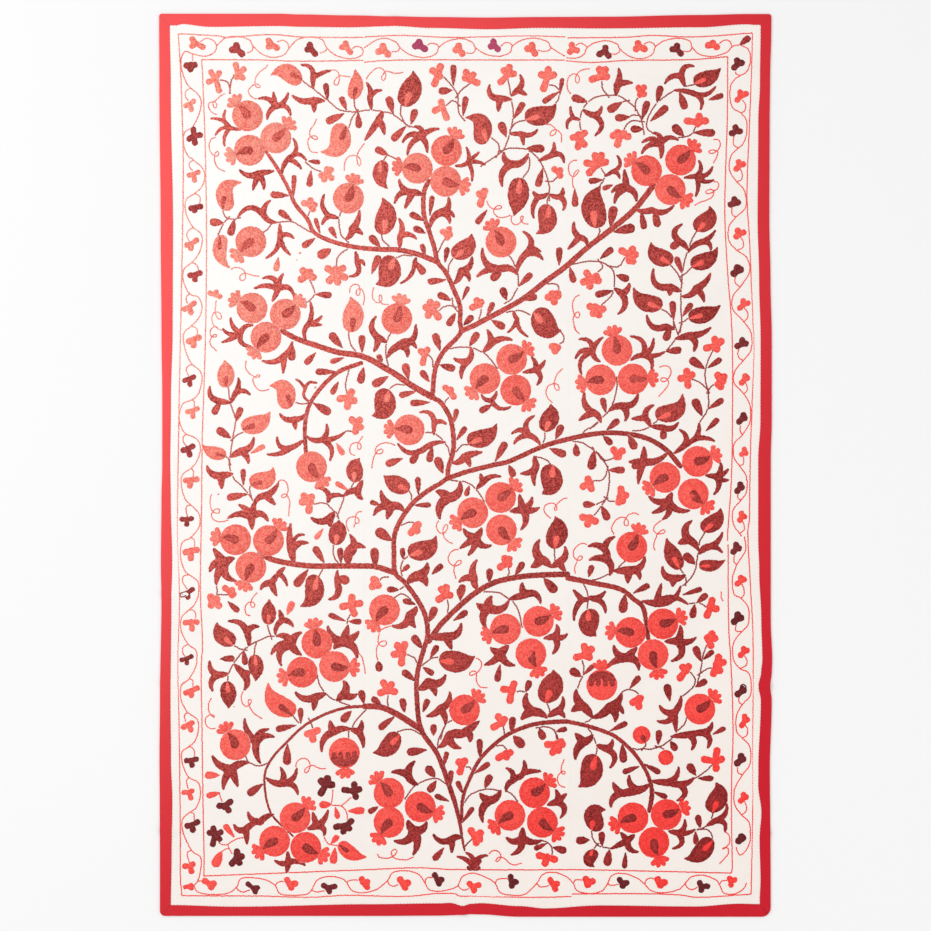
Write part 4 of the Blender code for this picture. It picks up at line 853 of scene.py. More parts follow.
FIFTH_BAND = """
W -61.8 -33.2 1 -62.3 -31.7 -60 -32.7 -62 -35 -59.6 -34.8
D -58 -33.4 -55.2 -36 1.6
T -50.7 -31.3 -51.7 -32.3 -52.3 -33.8 -52.1 -34.8 -51.5 -34.8 -51.4 -34 -52 -33.6 -53 -33.8 -53.7 -34.8
 -53.6 -36 -53.2 -36.7 -52.4 -36.9
A -48 -39.1 -47.8 -32.8 3.7 0 d
S -44.6 -38 .8 -45.3 -35.6 0 -42 -39.5 .15 -46.3 -41.5 -.15
E -43.5 -36.8 -42 -33.4 1.8
A -36 -27.1 -40.3 -34.8 4.8 1.6 d
D -30.6 -37.4 -33.3 -36.6 1.3
S -53.2 -41 .9 -57.7 -38.3 -.2 -50.4 -39.6 .2 -52.8 -44.2 .05
A -56.6 -44.2 -60.7 -38.4 4.2 .9 d
M -56 -44.4 -54.9 -45 -54 -45.2
M -52.6 -44 -51 -43.3 -49.5 -42.6 -48 -42 -46 -42
M -48.2 -39.2 -47.9 -40.6 -47.4 -42
M -54 -45.3 -53 -44.5 -52 -43.8 -51 -43.3 -51.3 -44.7 -51.5 -46.4
D -60 -47.5 -56.2 -47.3 1.7
M -54 -45.3 -54.9 -46.4 -56 -47.8 -57 -49.5 -57.8 -51.4 -58 -53
D -54.1 -45.3 -53.6 -49 1.6
A -51.3 -46.4 -51.2 -53 3.8 .3 d
S -60.3 -51.4 .9 -57.9 -51.1 0 -62.3 -48 .2 -61.6 -55.3 -.25
S -54 -51.2 1 -56.3 -48.8 0 -52.4 -50.6 0 -53.9 -55 .2
A -58.1 -52.9 -57.7 -59.7 4 .2 d
T -54.1 -55.2 -54.6 -56.5 -54.5 -58 -53.8 -58.9 -53 -58.9 -52.3 -58.2 -52.2 -57.5 -52.8 -57.4 -52.9 -58.2
 -52.4 -59.4 -51.5 -60.8 -50.4 -61.5 -49.5 -62.1
E -56.7 -59.1 -56.2 -59.1 .5
T -61.9 -57 -62.6 -58.5 -62.6 -60 -62.1 -61 -61.2 -61.8 -61.4 -61.2 -62.3 -61.1 -63.2 -61.8 -63.4 -63
 -62.8 -64.1 -61.9 -64.5 -60.9 -64.4
S -42.4 -44 1.1 -46 -41.9 -.25 -40 -41 .15 -47.3 -46.3 -.2 -44.9 -49 -.3 -40 -46.4 -.1
A -42 -61.3 -48.2 -53.2 5 1.5 c
M -42 -61.3 -41 -62.6 -40 -63.4
D -40.1 -63.3 -40.2 -59.3 1.5
D -41.1 -63.6 -46.3 -64.7 1.7
S -36.6 -56.8 1 -34 -55.9 0 -41.4 -55.6 .2 -37 -59.9 0
M -36.1 -50.8 -35.9 -52.6 -35.4 -54 -34.5 -55.3 -33 -56.8 -31.5 -57.6 -30 -58.2 -28.2 -58.8
S -51 -67.8 1 -53.8 -62.1 .12 -48 -64.6 .2 -46.7 -66.5 .2 -50 -72.8 -.1
W -28 -34.3 1 -27.5 -31.8 -25.1 -33.8 -30.5 -34.8 -26.8 -37
M -27.9 -36.5 -28.4 -37.3 -28.8 -38.3 -28.7 -40
D -28.6 -38.3 -25.2 -38.4 1.5
D -29 -38.3 -33.4 -36.6 1.4
S -29.7 -43.3 1.2 -33.5 -39.5 .2 -28.6 -39.3 0 -26 -40.8 -.1 -32 -44.9 -.1 -26.4 -47.2 .2
T -26 -46 -25.2 -47.1 -24.8 -48.6 -24.5 -50 -24.4 -51.1
M -17 -32.3 -15.7 -31.6 -14.5 -32 -13.3 -33
S -13.5 -36.8 1.1 -11.9 -34.8 -.1 -17.8 -39.4 .25 -12.2 -39.7 -.1
T -18 -39.4 -19.2 -39.7 -20.4 -40.4 -21.1 -41.7 -21.3 -43.2 -21 -43.9 -20.2 -44.4 -19.4 -44.1 -19.2 -43.4
 -19.8 -43 -20.9 -43.5 -21.5 -44.5 -21.7 -46 -21.3 -48
D -21.2 -47.9 -20.9 -50.6 1.9
D -12 -34.2 -15.3 -33.1 1.5
W -4.7 -31.8 1.1 -6.2 -30 -4.6 -29.4 -3.1 -32 -7 -33.3
M -4.3 -33.4 -4.1 -34.8 -4.4 -36.4
D -9 -38.7 -7.2 -34.7 2
D -3 -38.2 .6 -35.8 1.7
D -1.2 -33.3 -1.3 -30 1.8
S -4.6 -42 1.1 -9.3 -42.3 0 -1 -38.8 -.25 -3.4 -45 0
D -10.4 -45.1 -12.9 -41.7 2
W -15.4 -46.2 1.1 -16.9 -43.6 -14.6 -43.3 -18 -46.4 -15.6 -49.1
M -13.4 -46.7 -12.5 -47.2 -12 -48 -11.7 -49.3
D -8.6 -47.3 -6.7 -44.1 1.6
A -6.4 -48 2.5 -46.8 5.4 -.9 d
M -6.4 -47.1 -8 -47.2 -9.2 -48 -10.2 -48.8
D -10.4 -49.4 -7.7 -51.3 1.6
D -11.9 -53 -15.4 -50.3 1.8
W -19 -55.2 1 -20.2 -52.7 -17.7 -53.2 -21.3 -55.9 -16.6 -55.5
M -18.8 -56.4 -19 -57.8 -18.7 -59.3
S -9 -53.2 1.2 -11.6 -54.8 .1 -4.8 -51.4 -.25 -7.2 -56.3 .1
S -29.6 -56 1.1 -29.7 -52.9 -.2 -31.3 -57.6 0 -26.5 -56.1 -.2
D -24.7 -58.5 -25.5 -55 1.8
D -20.4 -58.9 -22.8 -56.8 1.7
D -14.8 -60.6 -15.4 -57 1.8
D -10.4 -60.5 -9 -57.2 1.6
S -6.1 -59.6 1 -3.8 -55.6 -.2 -9.4 -61.4 .1 -4.8 -63.4 .1
M -3 -62.3 -4.3 -63 -4.9 -63.7 -5.5 -65 -5.8 -66.3
D -27.7 -60 -30.2 -62.8 2
M -24.4 -60 -25.6 -61.3 -26.8 -62.6 -27.5 -64 -27.7 -65
D -17.2 -61.4 -21.1 -64.6 1.8
M -15.8 -65 -14.3 -64.6 -12.7 -64.8 -11.5 -65.5
D -7.8 -66.3 -7.7 -63.3 1.7
S 5.6 -35 1.2 2.9 -34 .15 6.4 -32.2 .1 5 -39.8 -.2 10.6 -33.3 -.25
S 14.5 -31.8 1 13.9 -29 .1 10.7 -32.9 0 18.4 -33.8 .3
M 10.3 -32.6 11.4 -33.3 12.5 -34.8 13.2 -36.5 13.7 -39
S 21.8 -42 .9 22.3 -39.2 -.15 24.8 -41.4 -.2 21.3 -46.2 .2 19.3 -42.4 0
S 8.7 -46 1.1 6.2 -44.8 .1 10.5 -44.2 0 4.8 -48.9 .1 12 -49 -.2
D 8.5 -48.6 7.7 -53.1 1.7
T 2.6 -47.2 3.6 -47.8 4 -49 3.3 -50.4 2.3 -51.2 1.2 -51.5 1.1 -50.8 1.9 -50.4 2.7 -50.8 2.7 -52.5 3.2
 -53.8 4 -54.4 5.4 -54.4
W 11.3 -55 1.1 12.1 -53 8.7 -54.8 10.8 -58.2
M 12.6 -55.4 13.7 -55.3 14.8 -55.8 15.1 -57
D 14.7 -55.7 15.8 -52.6 1.7
S 16.4 -60.3 1.2 15 -55.9 .2 13.7 -62.2 -.1 19.9 -61.8 .1
S 21.9 -60.4 .9 23.8 -56.8 -.2 24.2 -61.7 .2 20.2 -61.5 0
M 20 -58.4 20.5 -60 20.2 -61.2 19.3 -62.5
A 19.5 -58.2 21.5 -50 5.8 -.7 d
S 28.4 -33 .8 26.4 -30.7 0 30.1 -33 0 26.5 -38 -.1
S 31.5 -32.8 .8 34.1 -31 -.1 30 -32.4 0 34.2 -36.2 .2
M 28.9 -29.3 29.6 -30.8 29.9 -32.5 29.8 -35.4
A 30 -35.3 32 -42 5 -1.2 d
W 29.4 -46.5 1.2 28.9 -43.8 31.2 -44.6 26.5 -47.2 30.8 -47.4
M 28.6 -48.2 28.9 -49.8 28.5 -51.8 27.8 -53.5 27.2 -55.2
D 28.4 -51.8 25.5 -50 2.1
D 28.6 -51.5 31.4 -48.9 1.2
S 28.5 -58.8 1.2 27.1 -55 .15 26 -60.2 -.05 31 -61.8 .05
M 31 -61.7 30.2 -62.5 29 -63
W 9 -63 1 7.7 -61 9.9 -61.7 6.4 -64.4
M 9.3 -64.3 9.5 -65.5 9.2 -66.4
D 11.2 -65.6 11.6 -61.5 1.8
D 22 -65.2 24.9 -64.4 1.4
M 18 -64.2 19.6 -64 21 -64.4 22 -65.4 22.2 -66.4
D 39 -31.5 38.3 -36.3 2.3
S 46.5 -34 .9 43.3 -33.4 0 47.8 -29.2 0 52.5 -29.8 -.2 54.2 -34.1 .2
M 54 -34 55.4 -33.9 56.8 -33.8 58 -34.2 58.8 -35
D 56.3 -33.9 59.1 -31.6 1.7
D 56 -34 55.3 -37.6 1.8
W 59.8 -34.9 1.1 60.3 -32.6 61.8 -35.4 58.7 -37.4
T 62.4 -31 62.4 -32.4 62.9 -33.4
B .9 .9 43 -33.6 43.5 -36 44 -38 44.5 -40.5 44.6 -42.6
S 39.4 -47.2 1.1 36.2 -44.2 .2 41.8 -44.7 0 34.8 -49.3 -.1 42.3 -50.1 .25
S 51.8 -43.1 1 52.4 -39.4 -.1 48.8 -43.2 0 56.2 -42.3 -.15 50.3 -48 .35
W 59.3 -42.7 1 58.7 -41.8 60.5 -40.8 61.5 -42.3 60.1 -44.8
M 59.1 -43.6 58.4 -45.3 57.8 -47.2 57.6 -49 57.3 -50.8 56.7 -53
D 57.5 -48.2 55.9 -44.3 1.9
D 57.9 -47.7 60.6 -45.4 1.4
W 61.4 -48.8 1.1 61.9 -46.4 63.5 -48.1 60.3 -51.6 62.3 -50.9
M 60.3 -49.6 59.2 -49.8 58.2 -50.4 57.3 -51
W 53.7 -50.3 1.1 52.6 -49 54.8 -48.8 52 -52.6
M 55.3 -51.2 56 -52.2 56 -53.2 55.5 -54.4 54.3 -55.5 53 -56.5
D 56 -54.4 59 -52.6 1.7
D 49.9 -57.9 49.1 -53.5 2
S 51 -60.5 .9 52.6 -56.6 -.1 47.4 -58.9 .2 51.4 -65.2 0 46.9 -62.6 .25
D 40 -54.8 42.6 -51.6 1.6
M 38 -55.8 38.8 -55.2 40 -54.9 41.2 -55.2 42.2 -56
W 42.3 -57.2 1 43.3 -56.9 40.3 -58.4 42.3 -59.7
S 35.2 -59.2 1.2 38.1 -55.8 -.15 38.5 -60.7 .25 36.5 -62.7 .2 30.9 -61.8 .1
D 35.1 -65.1 39.6 -63 1.5
M 54 -61.8 53.4 -63.4 52.3 -64.5 51.4 -65.3
D 60.3 -65.9 63.5 -64.2 1.3
"""
SIXTH_BAND = """
M -47.5 -72.3 -49 -73.2 -50.8 -73.5 -52.3 -72.9 -53 -72.5 -53.5 -71.2
D -43.4 -68 -43.5 -73.4 2.1
D -49.2 -77.8 -53.1 -80.6 2
S -57 -74.3 1.1 -52.8 -72.7 .1 -61.7 -71.1 .15 -59 -79.2 -.1 -55.5 -78.5 0
E -59.8 -75.8 -63.6 -75.8 1.9
E -59.7 -80 -63.2 -81 1.6
T -59.3 -79.2 -59.9 -80 -59.8 -81 -59.2 -82.3
V -58.6 -83.2 .8 -56.9 -82 -57.4 -84.8 -60.5 -83.3 -59 -84
S -50 -87.2 .9 -46.8 -85.4 .1 -53 -84.9 .2
S -53.5 -89 .9 -50 -87.2 .1 -56.4 -87.9 .25 -53.2 -92.5 0
V -61 -90.3 .75 -61.6 -88.3 -62.8 -89.7 -61.7 -93.1 -59.2 -89.5 -59.6 -91.7
E -56.2 -91.1 -58.8 -87.8 1.6
T -54.1 -91 -55.5 -91.3 -57 -92 -58 -92.7 -59.2 -92.8 -60.2 -92.2
T -58 -92.7 -57.5 -93.8 -56.8 -95
E -59.3 -94.2 -61.3 -98.2 2.4
T -57.6 -93.7 -58.6 -93.9 -59.4 -94.5
V -55.8 -96 .85 -55.6 -93.9 -54 -95.5 -54.8 -97.6 -57.2 -97.8
S -43.1 -97.1 .8 -43.3 -94.6 0 -46.4 -96.6 .15 -39.1 -97.8 .15 -43.6 -99.5 0
S -44.8 -77.9 .9 -48.5 -76.5 .1 -45 -74 -.15 -41.1 -74.2 -.2 -40.8 -80.5 .25
T -41.3 -74 -41.3 -73 -40.6 -72.1 -39.5 -71.7 -38.5 -72 -37.9 -73 -38 -74.3 -38.7 -75.2 -39.2 -75.1 -39.1
 -74.4 -38.3 -73.8 -37.4 -73.4 -36.5 -73.7 -35.3 -74.2 -34 -74.2
V -34 -78.3 .9 -35.6 -76.8 -33.4 -76 -31.9 -78.1 -35.5 -80.7
W -37.3 -65.4 .9 -39.1 -65.9 -35.5 -64.7 -37.1 -67.7
M -37.9 -62.6 -37.5 -63.4 -37.2 -64.2
S -32 -65.2 1 -32.9 -62.6 .1 -28 -64.6 .1 -35 -70 -.2
S -26 -65.3 .9 -25.3 -62.6 -.1 -28 -64.5 0 -24.9 -69 .1
M -28.4 -64.7 -28.4 -67
E -32.5 -82.9 -35.7 -83.1 1.9
T -32.3 -79.3 -32.4 -81 -32.6 -82.9 -31.5 -83.2 -30.3 -83.3 -29.3 -84.2 -28.8 -85.5 -28.8 -87.2
V -28.9 -88 .8 -32 -88.5 -27.4 -86.7 -28 -89.2 -30 -90
V -27 -79.8 .8 -27.1 -77.5 -30 -79.3 -25.4 -79 -26.6 -81.6
T -30.2 -83.2 -29 -82.3 -27.8 -81.2
E -31.7 -83.5 -31 -86.5 1.4
E -28.7 -84.6 -24.5 -84.4 1.9
S -36.3 -88.2 .9 -37.2 -84.9 0 -33.5 -84.4 -.12 -38.4 -88.9 0 -34.4 -90.5 .3
T -34.5 -90.8 -33.9 -91.9 -33 -92.7 -31.7 -92.9 -31 -93
E -32.8 -92.6 -30.9 -90.5 1.5
E -31.7 -93.3 -32.3 -97.5 1.9
A -31 -92.7 -23.9 -95.8 3.6 -.8 c
D -21.1 -83.4 -23.7 -85 1.5
A -15.9 -66 -22.6 -70.4 4.6 1 d
D -9.2 -69.6 -14.3 -70.3 2.1
S -4 -66.2 1.1 -6.4 -69 .1 -1.1 -69.2 -.2 0 -65.4 .1
S .2 -65.2 1.1 -4 -66 .1 3.3 -62.7 0 1.1 -67.6 .2
M -4.9 -63.7 -5.8 -65.5 -6.6 -67.5 -6.8 -70.2
D -5.4 -74 -4.4 -70 1.3
D -3.8 -78.9 -3.4 -74.6 1.4
M -5.4 -77.5 -6.7 -76.7 -8 -76.6 -10 -77.2 -12 -78.2 -13.3 -79.5 -14.3 -81
D -7.3 -76.4 -9.5 -73.6 2.2
D -7 -77 -9 -80 1.9
S -13.9 -75.8 1 -11.6 -78.1 -.15 -12.3 -72.5 .15 -17.9 -75.1 -.1
D -3.9 -82.2 -7.5 -80.7 1.4
W -.8 -73.4 .9 -2 -72.1 .2 -71.8 -1.5 -75.6
M .5 -73.8 1.2 -73.9 1.5 -74.8
D -.6 -80.3 -2 -77.2 1.4
M 0 -82.2 .8 -81 2 -80.2 4 -79.4 6 -79.2 8.5 -79.6 10.3 -79.8 11.5 -80.6 12.5 -81.8 13.3 -83
D -.9 -87.6 2 -83.6 1.3
W 2.4 -90.9 1 1.1 -88.8 4.2 -89.5 4.1 -91.7 2.8 -92.9
M 1.3 -91.7 .4 -92.6 0 -93.2
S -3.2 -91.3 .9 -.7 -91 .1 -7.8 -90.3 .25 -3.3 -94.6 0
D -5.1 -93.4 -7.8 -96.6 1.7
S -12.5 -89.3 1.2 -14 -86.9 .1 -9.5 -87.2 -.25 -17.3 -91.8 .25 -12.7 -95.2 .15
T -21.5 -95 -21 -95.8 -20 -96 -18.7 -96 -17.5 -95.5 -16.7 -94.6 -17 -93.9 -17.8 -94.2 -18 -95 -17.3 -96
 -15.5 -96.4 -14 -96.4 -12.6 -95.7
D 3.6 -71.9 3.5 -66.9 1.6
D 2.1 -75.5 6 -72.8 1.5
D 4.7 -79.1 6.2 -75.6 1.9
W 9.9 -70.5 .9 11.6 -70.2 7.6 -71.9 10.2 -72
M 7.9 -68.6 9 -68.5 9.9 -69.3
D 11.6 -66.1 14.3 -69 2.4
D 18 -64.3 19.2 -67.2 2
W 22.3 -68.4 1.2 19.4 -68.3 21 -70.8 23.9 -67.3 22.9 -70.4 24.3 -68.3
M 22 -65.4 22.5 -66.5 22.6 -67.5
T 24.2 -71.9 23.5 -73.5 23.4 -74.9 24 -75.6 24.4 -75.2 24.1 -74.8 23.4 -75.1 22.6 -76 22.5 -77.2 23.1
 -78.3 24.4 -78.8
S 11.5 -77.2 .8 9.9 -79.7 -.15 10 -74.1 -.25 14 -75.3 0
S 14.2 -75.2 .8 14.3 -72.3 -.1 18.3 -74.9 .05 12 -77 .1
S 22.4 -82.3 .9 22 -79.4 -.15 24.6 -80.4 0 20.1 -83 0 23.2 -86.2 .35
S 6 -82 1.1 8.6 -79.6 -.15 3.6 -80.3 .1 4.3 -87.2 -.2
S 13.9 -91.1 1 14 -88.7 0 10 -91 .25 11.3 -95.2 .2 18.6 -91.7 -.15
M 18.6 -91.7 20 -92.2 21 -93.2 21.2 -94.5 20.9 -96
D 20 -92.4 16.7 -93.9 1.4
D 21.3 -93.3 24.7 -94.4 1.9
W 19.9 -95.8 1 17.4 -95.3 19.3 -97.9 22.4 -96.5
T 5.7 -95 6.7 -94.3 7.8 -94.3 8.6 -95.1 8.5 -96.2 7.8 -96.9 7.4 -96.6 7.9 -96 8.8 -95.8 9.8 -96.3 11 -97.4
 12.3 -97.7 13.8 -97.2
S 28.8 -67.8 1.1 31 -66 -.1 26.9 -65.7 0 26.9 -71.9 -.15
M 29 -64 30 -64.6 31 -66 31.8 -68 32.1 -69.5 31.9 -71
A 32 -70.9 27.5 -78.8 5.6 1.2 d
A 30.8 -89.3 34.3 -84.1 4.6 2.1 d
M 30.8 -89.5 31 -91 31.8 -92.3 33 -93.2 35.6 -93.7
D 30.5 -91.6 26.9 -91.8 2
A 31 -93.8 31.4 -98.3 3.2 -1.1 d
M 32 -93 31.4 -93.6
S 34.2 -69.3 .9 32.1 -68.5 0 35.9 -67.2 -.2 35.3 -74 .35
D 38.3 -68 38.6 -72.8 2
O 43 -66 2.2
O 48.9 -71.5 1.9
P 43.9 -67.8 43 -66 1.3
M 40.6 -69.2 42 -69.6 43.3 -69.3 45 -69.5 47 -69 48.5 -68.3 50 -67.2 51 -66.2
M 43.5 -69.2 44 -68.5 43.9 -67.6
M 47 -68.9 48.2 -69.3 48.9 -70
D 47 -68.6 47.3 -64.7 1.7
D 50 -67.4 51.5 -69.9 1.8
S 54.5 -65.9 .9 50.2 -66.4 0 55.2 -69.6 .25 58 -65.3 0
S 57.8 -65.4 .9 60.2 -63 -.2 59.1 -69.1 .3 54 -65.8 0
W 60.9 -72.5 1.1 57.7 -71.8 61.5 -69.2 63.1 -71.7 61.3 -74.8
M 59.6 -73.9 58.2 -75.2 56.3 -76.4 55.6 -76.6
D 56.3 -76 54.3 -73 2
D 56.6 -76.6 60.6 -76.6 1.5
S 49 -77.6 .9 45.3 -77.3 0 52 -73.9 -.2 52.5 -78 0
S 52.3 -78.1 .9 48.5 -77.8 0 55.7 -76.5 -.1 51.7 -82 .4
D 43.4 -73 47.6 -75.3 1.5
D 42.5 -73.6 38.3 -75.2 1.5
S 42 -79.4 1 44.8 -78 -.1 40 -75.9 .2 37.5 -80 0
S 38 -80.2 1 43 -80 0 36.1 -77.7 .1 35.5 -83.6 -.2
D 45.7 -79.8 49.3 -81.3 1.4
B .85 .8 45.1 -77 45.6 -79 45.7 -81 45.4 -83 45 -84.6
A 60.3 -85 61.1 -77.4 4.8 -1.2 d
M 60.4 -85 59.9 -86.8 59 -88 57.8 -88.8 56.2 -89.2
S 61 -86.9 .8 58.9 -88.1 0 63.8 -82.9 -.2 63.3 -89.6 .35
D 57.3 -88.9 56.6 -85.4 1.7
D 56.1 -89.4 56.3 -92.8 1.5
M 57.5 -89 59 -89.1 60 -90.2 60.4 -91.8
A 60.5 -91.7 53.3 -96.3 4.6 1 d
S 51.9 -89.9 .8 53.5 -86.7 -.2 56 -89.1 -.1 49.7 -89.5 0 50.6 -93.7 .4
T 63 -89.9 63.8 -89.9 64.4 -90.7 64.5 -92 64 -93 63.2 -93.7 62.6 -93.9 63.1 -93.5 64 -93.6 64.2 -94.8 63.5
 -95.8 62 -97.4
S 39.5 -91.8 .9 38 -89.9 0 41.2 -90.4 0 35.6 -93.7 0 42.1 -94.5 -.25
D 33.4 -93.3 33.2 -89.5 1.7
D 35.2 -93.8 34.5 -98 2.1
D 39.1 -94.5 38.8 -98.6 1.4
"""
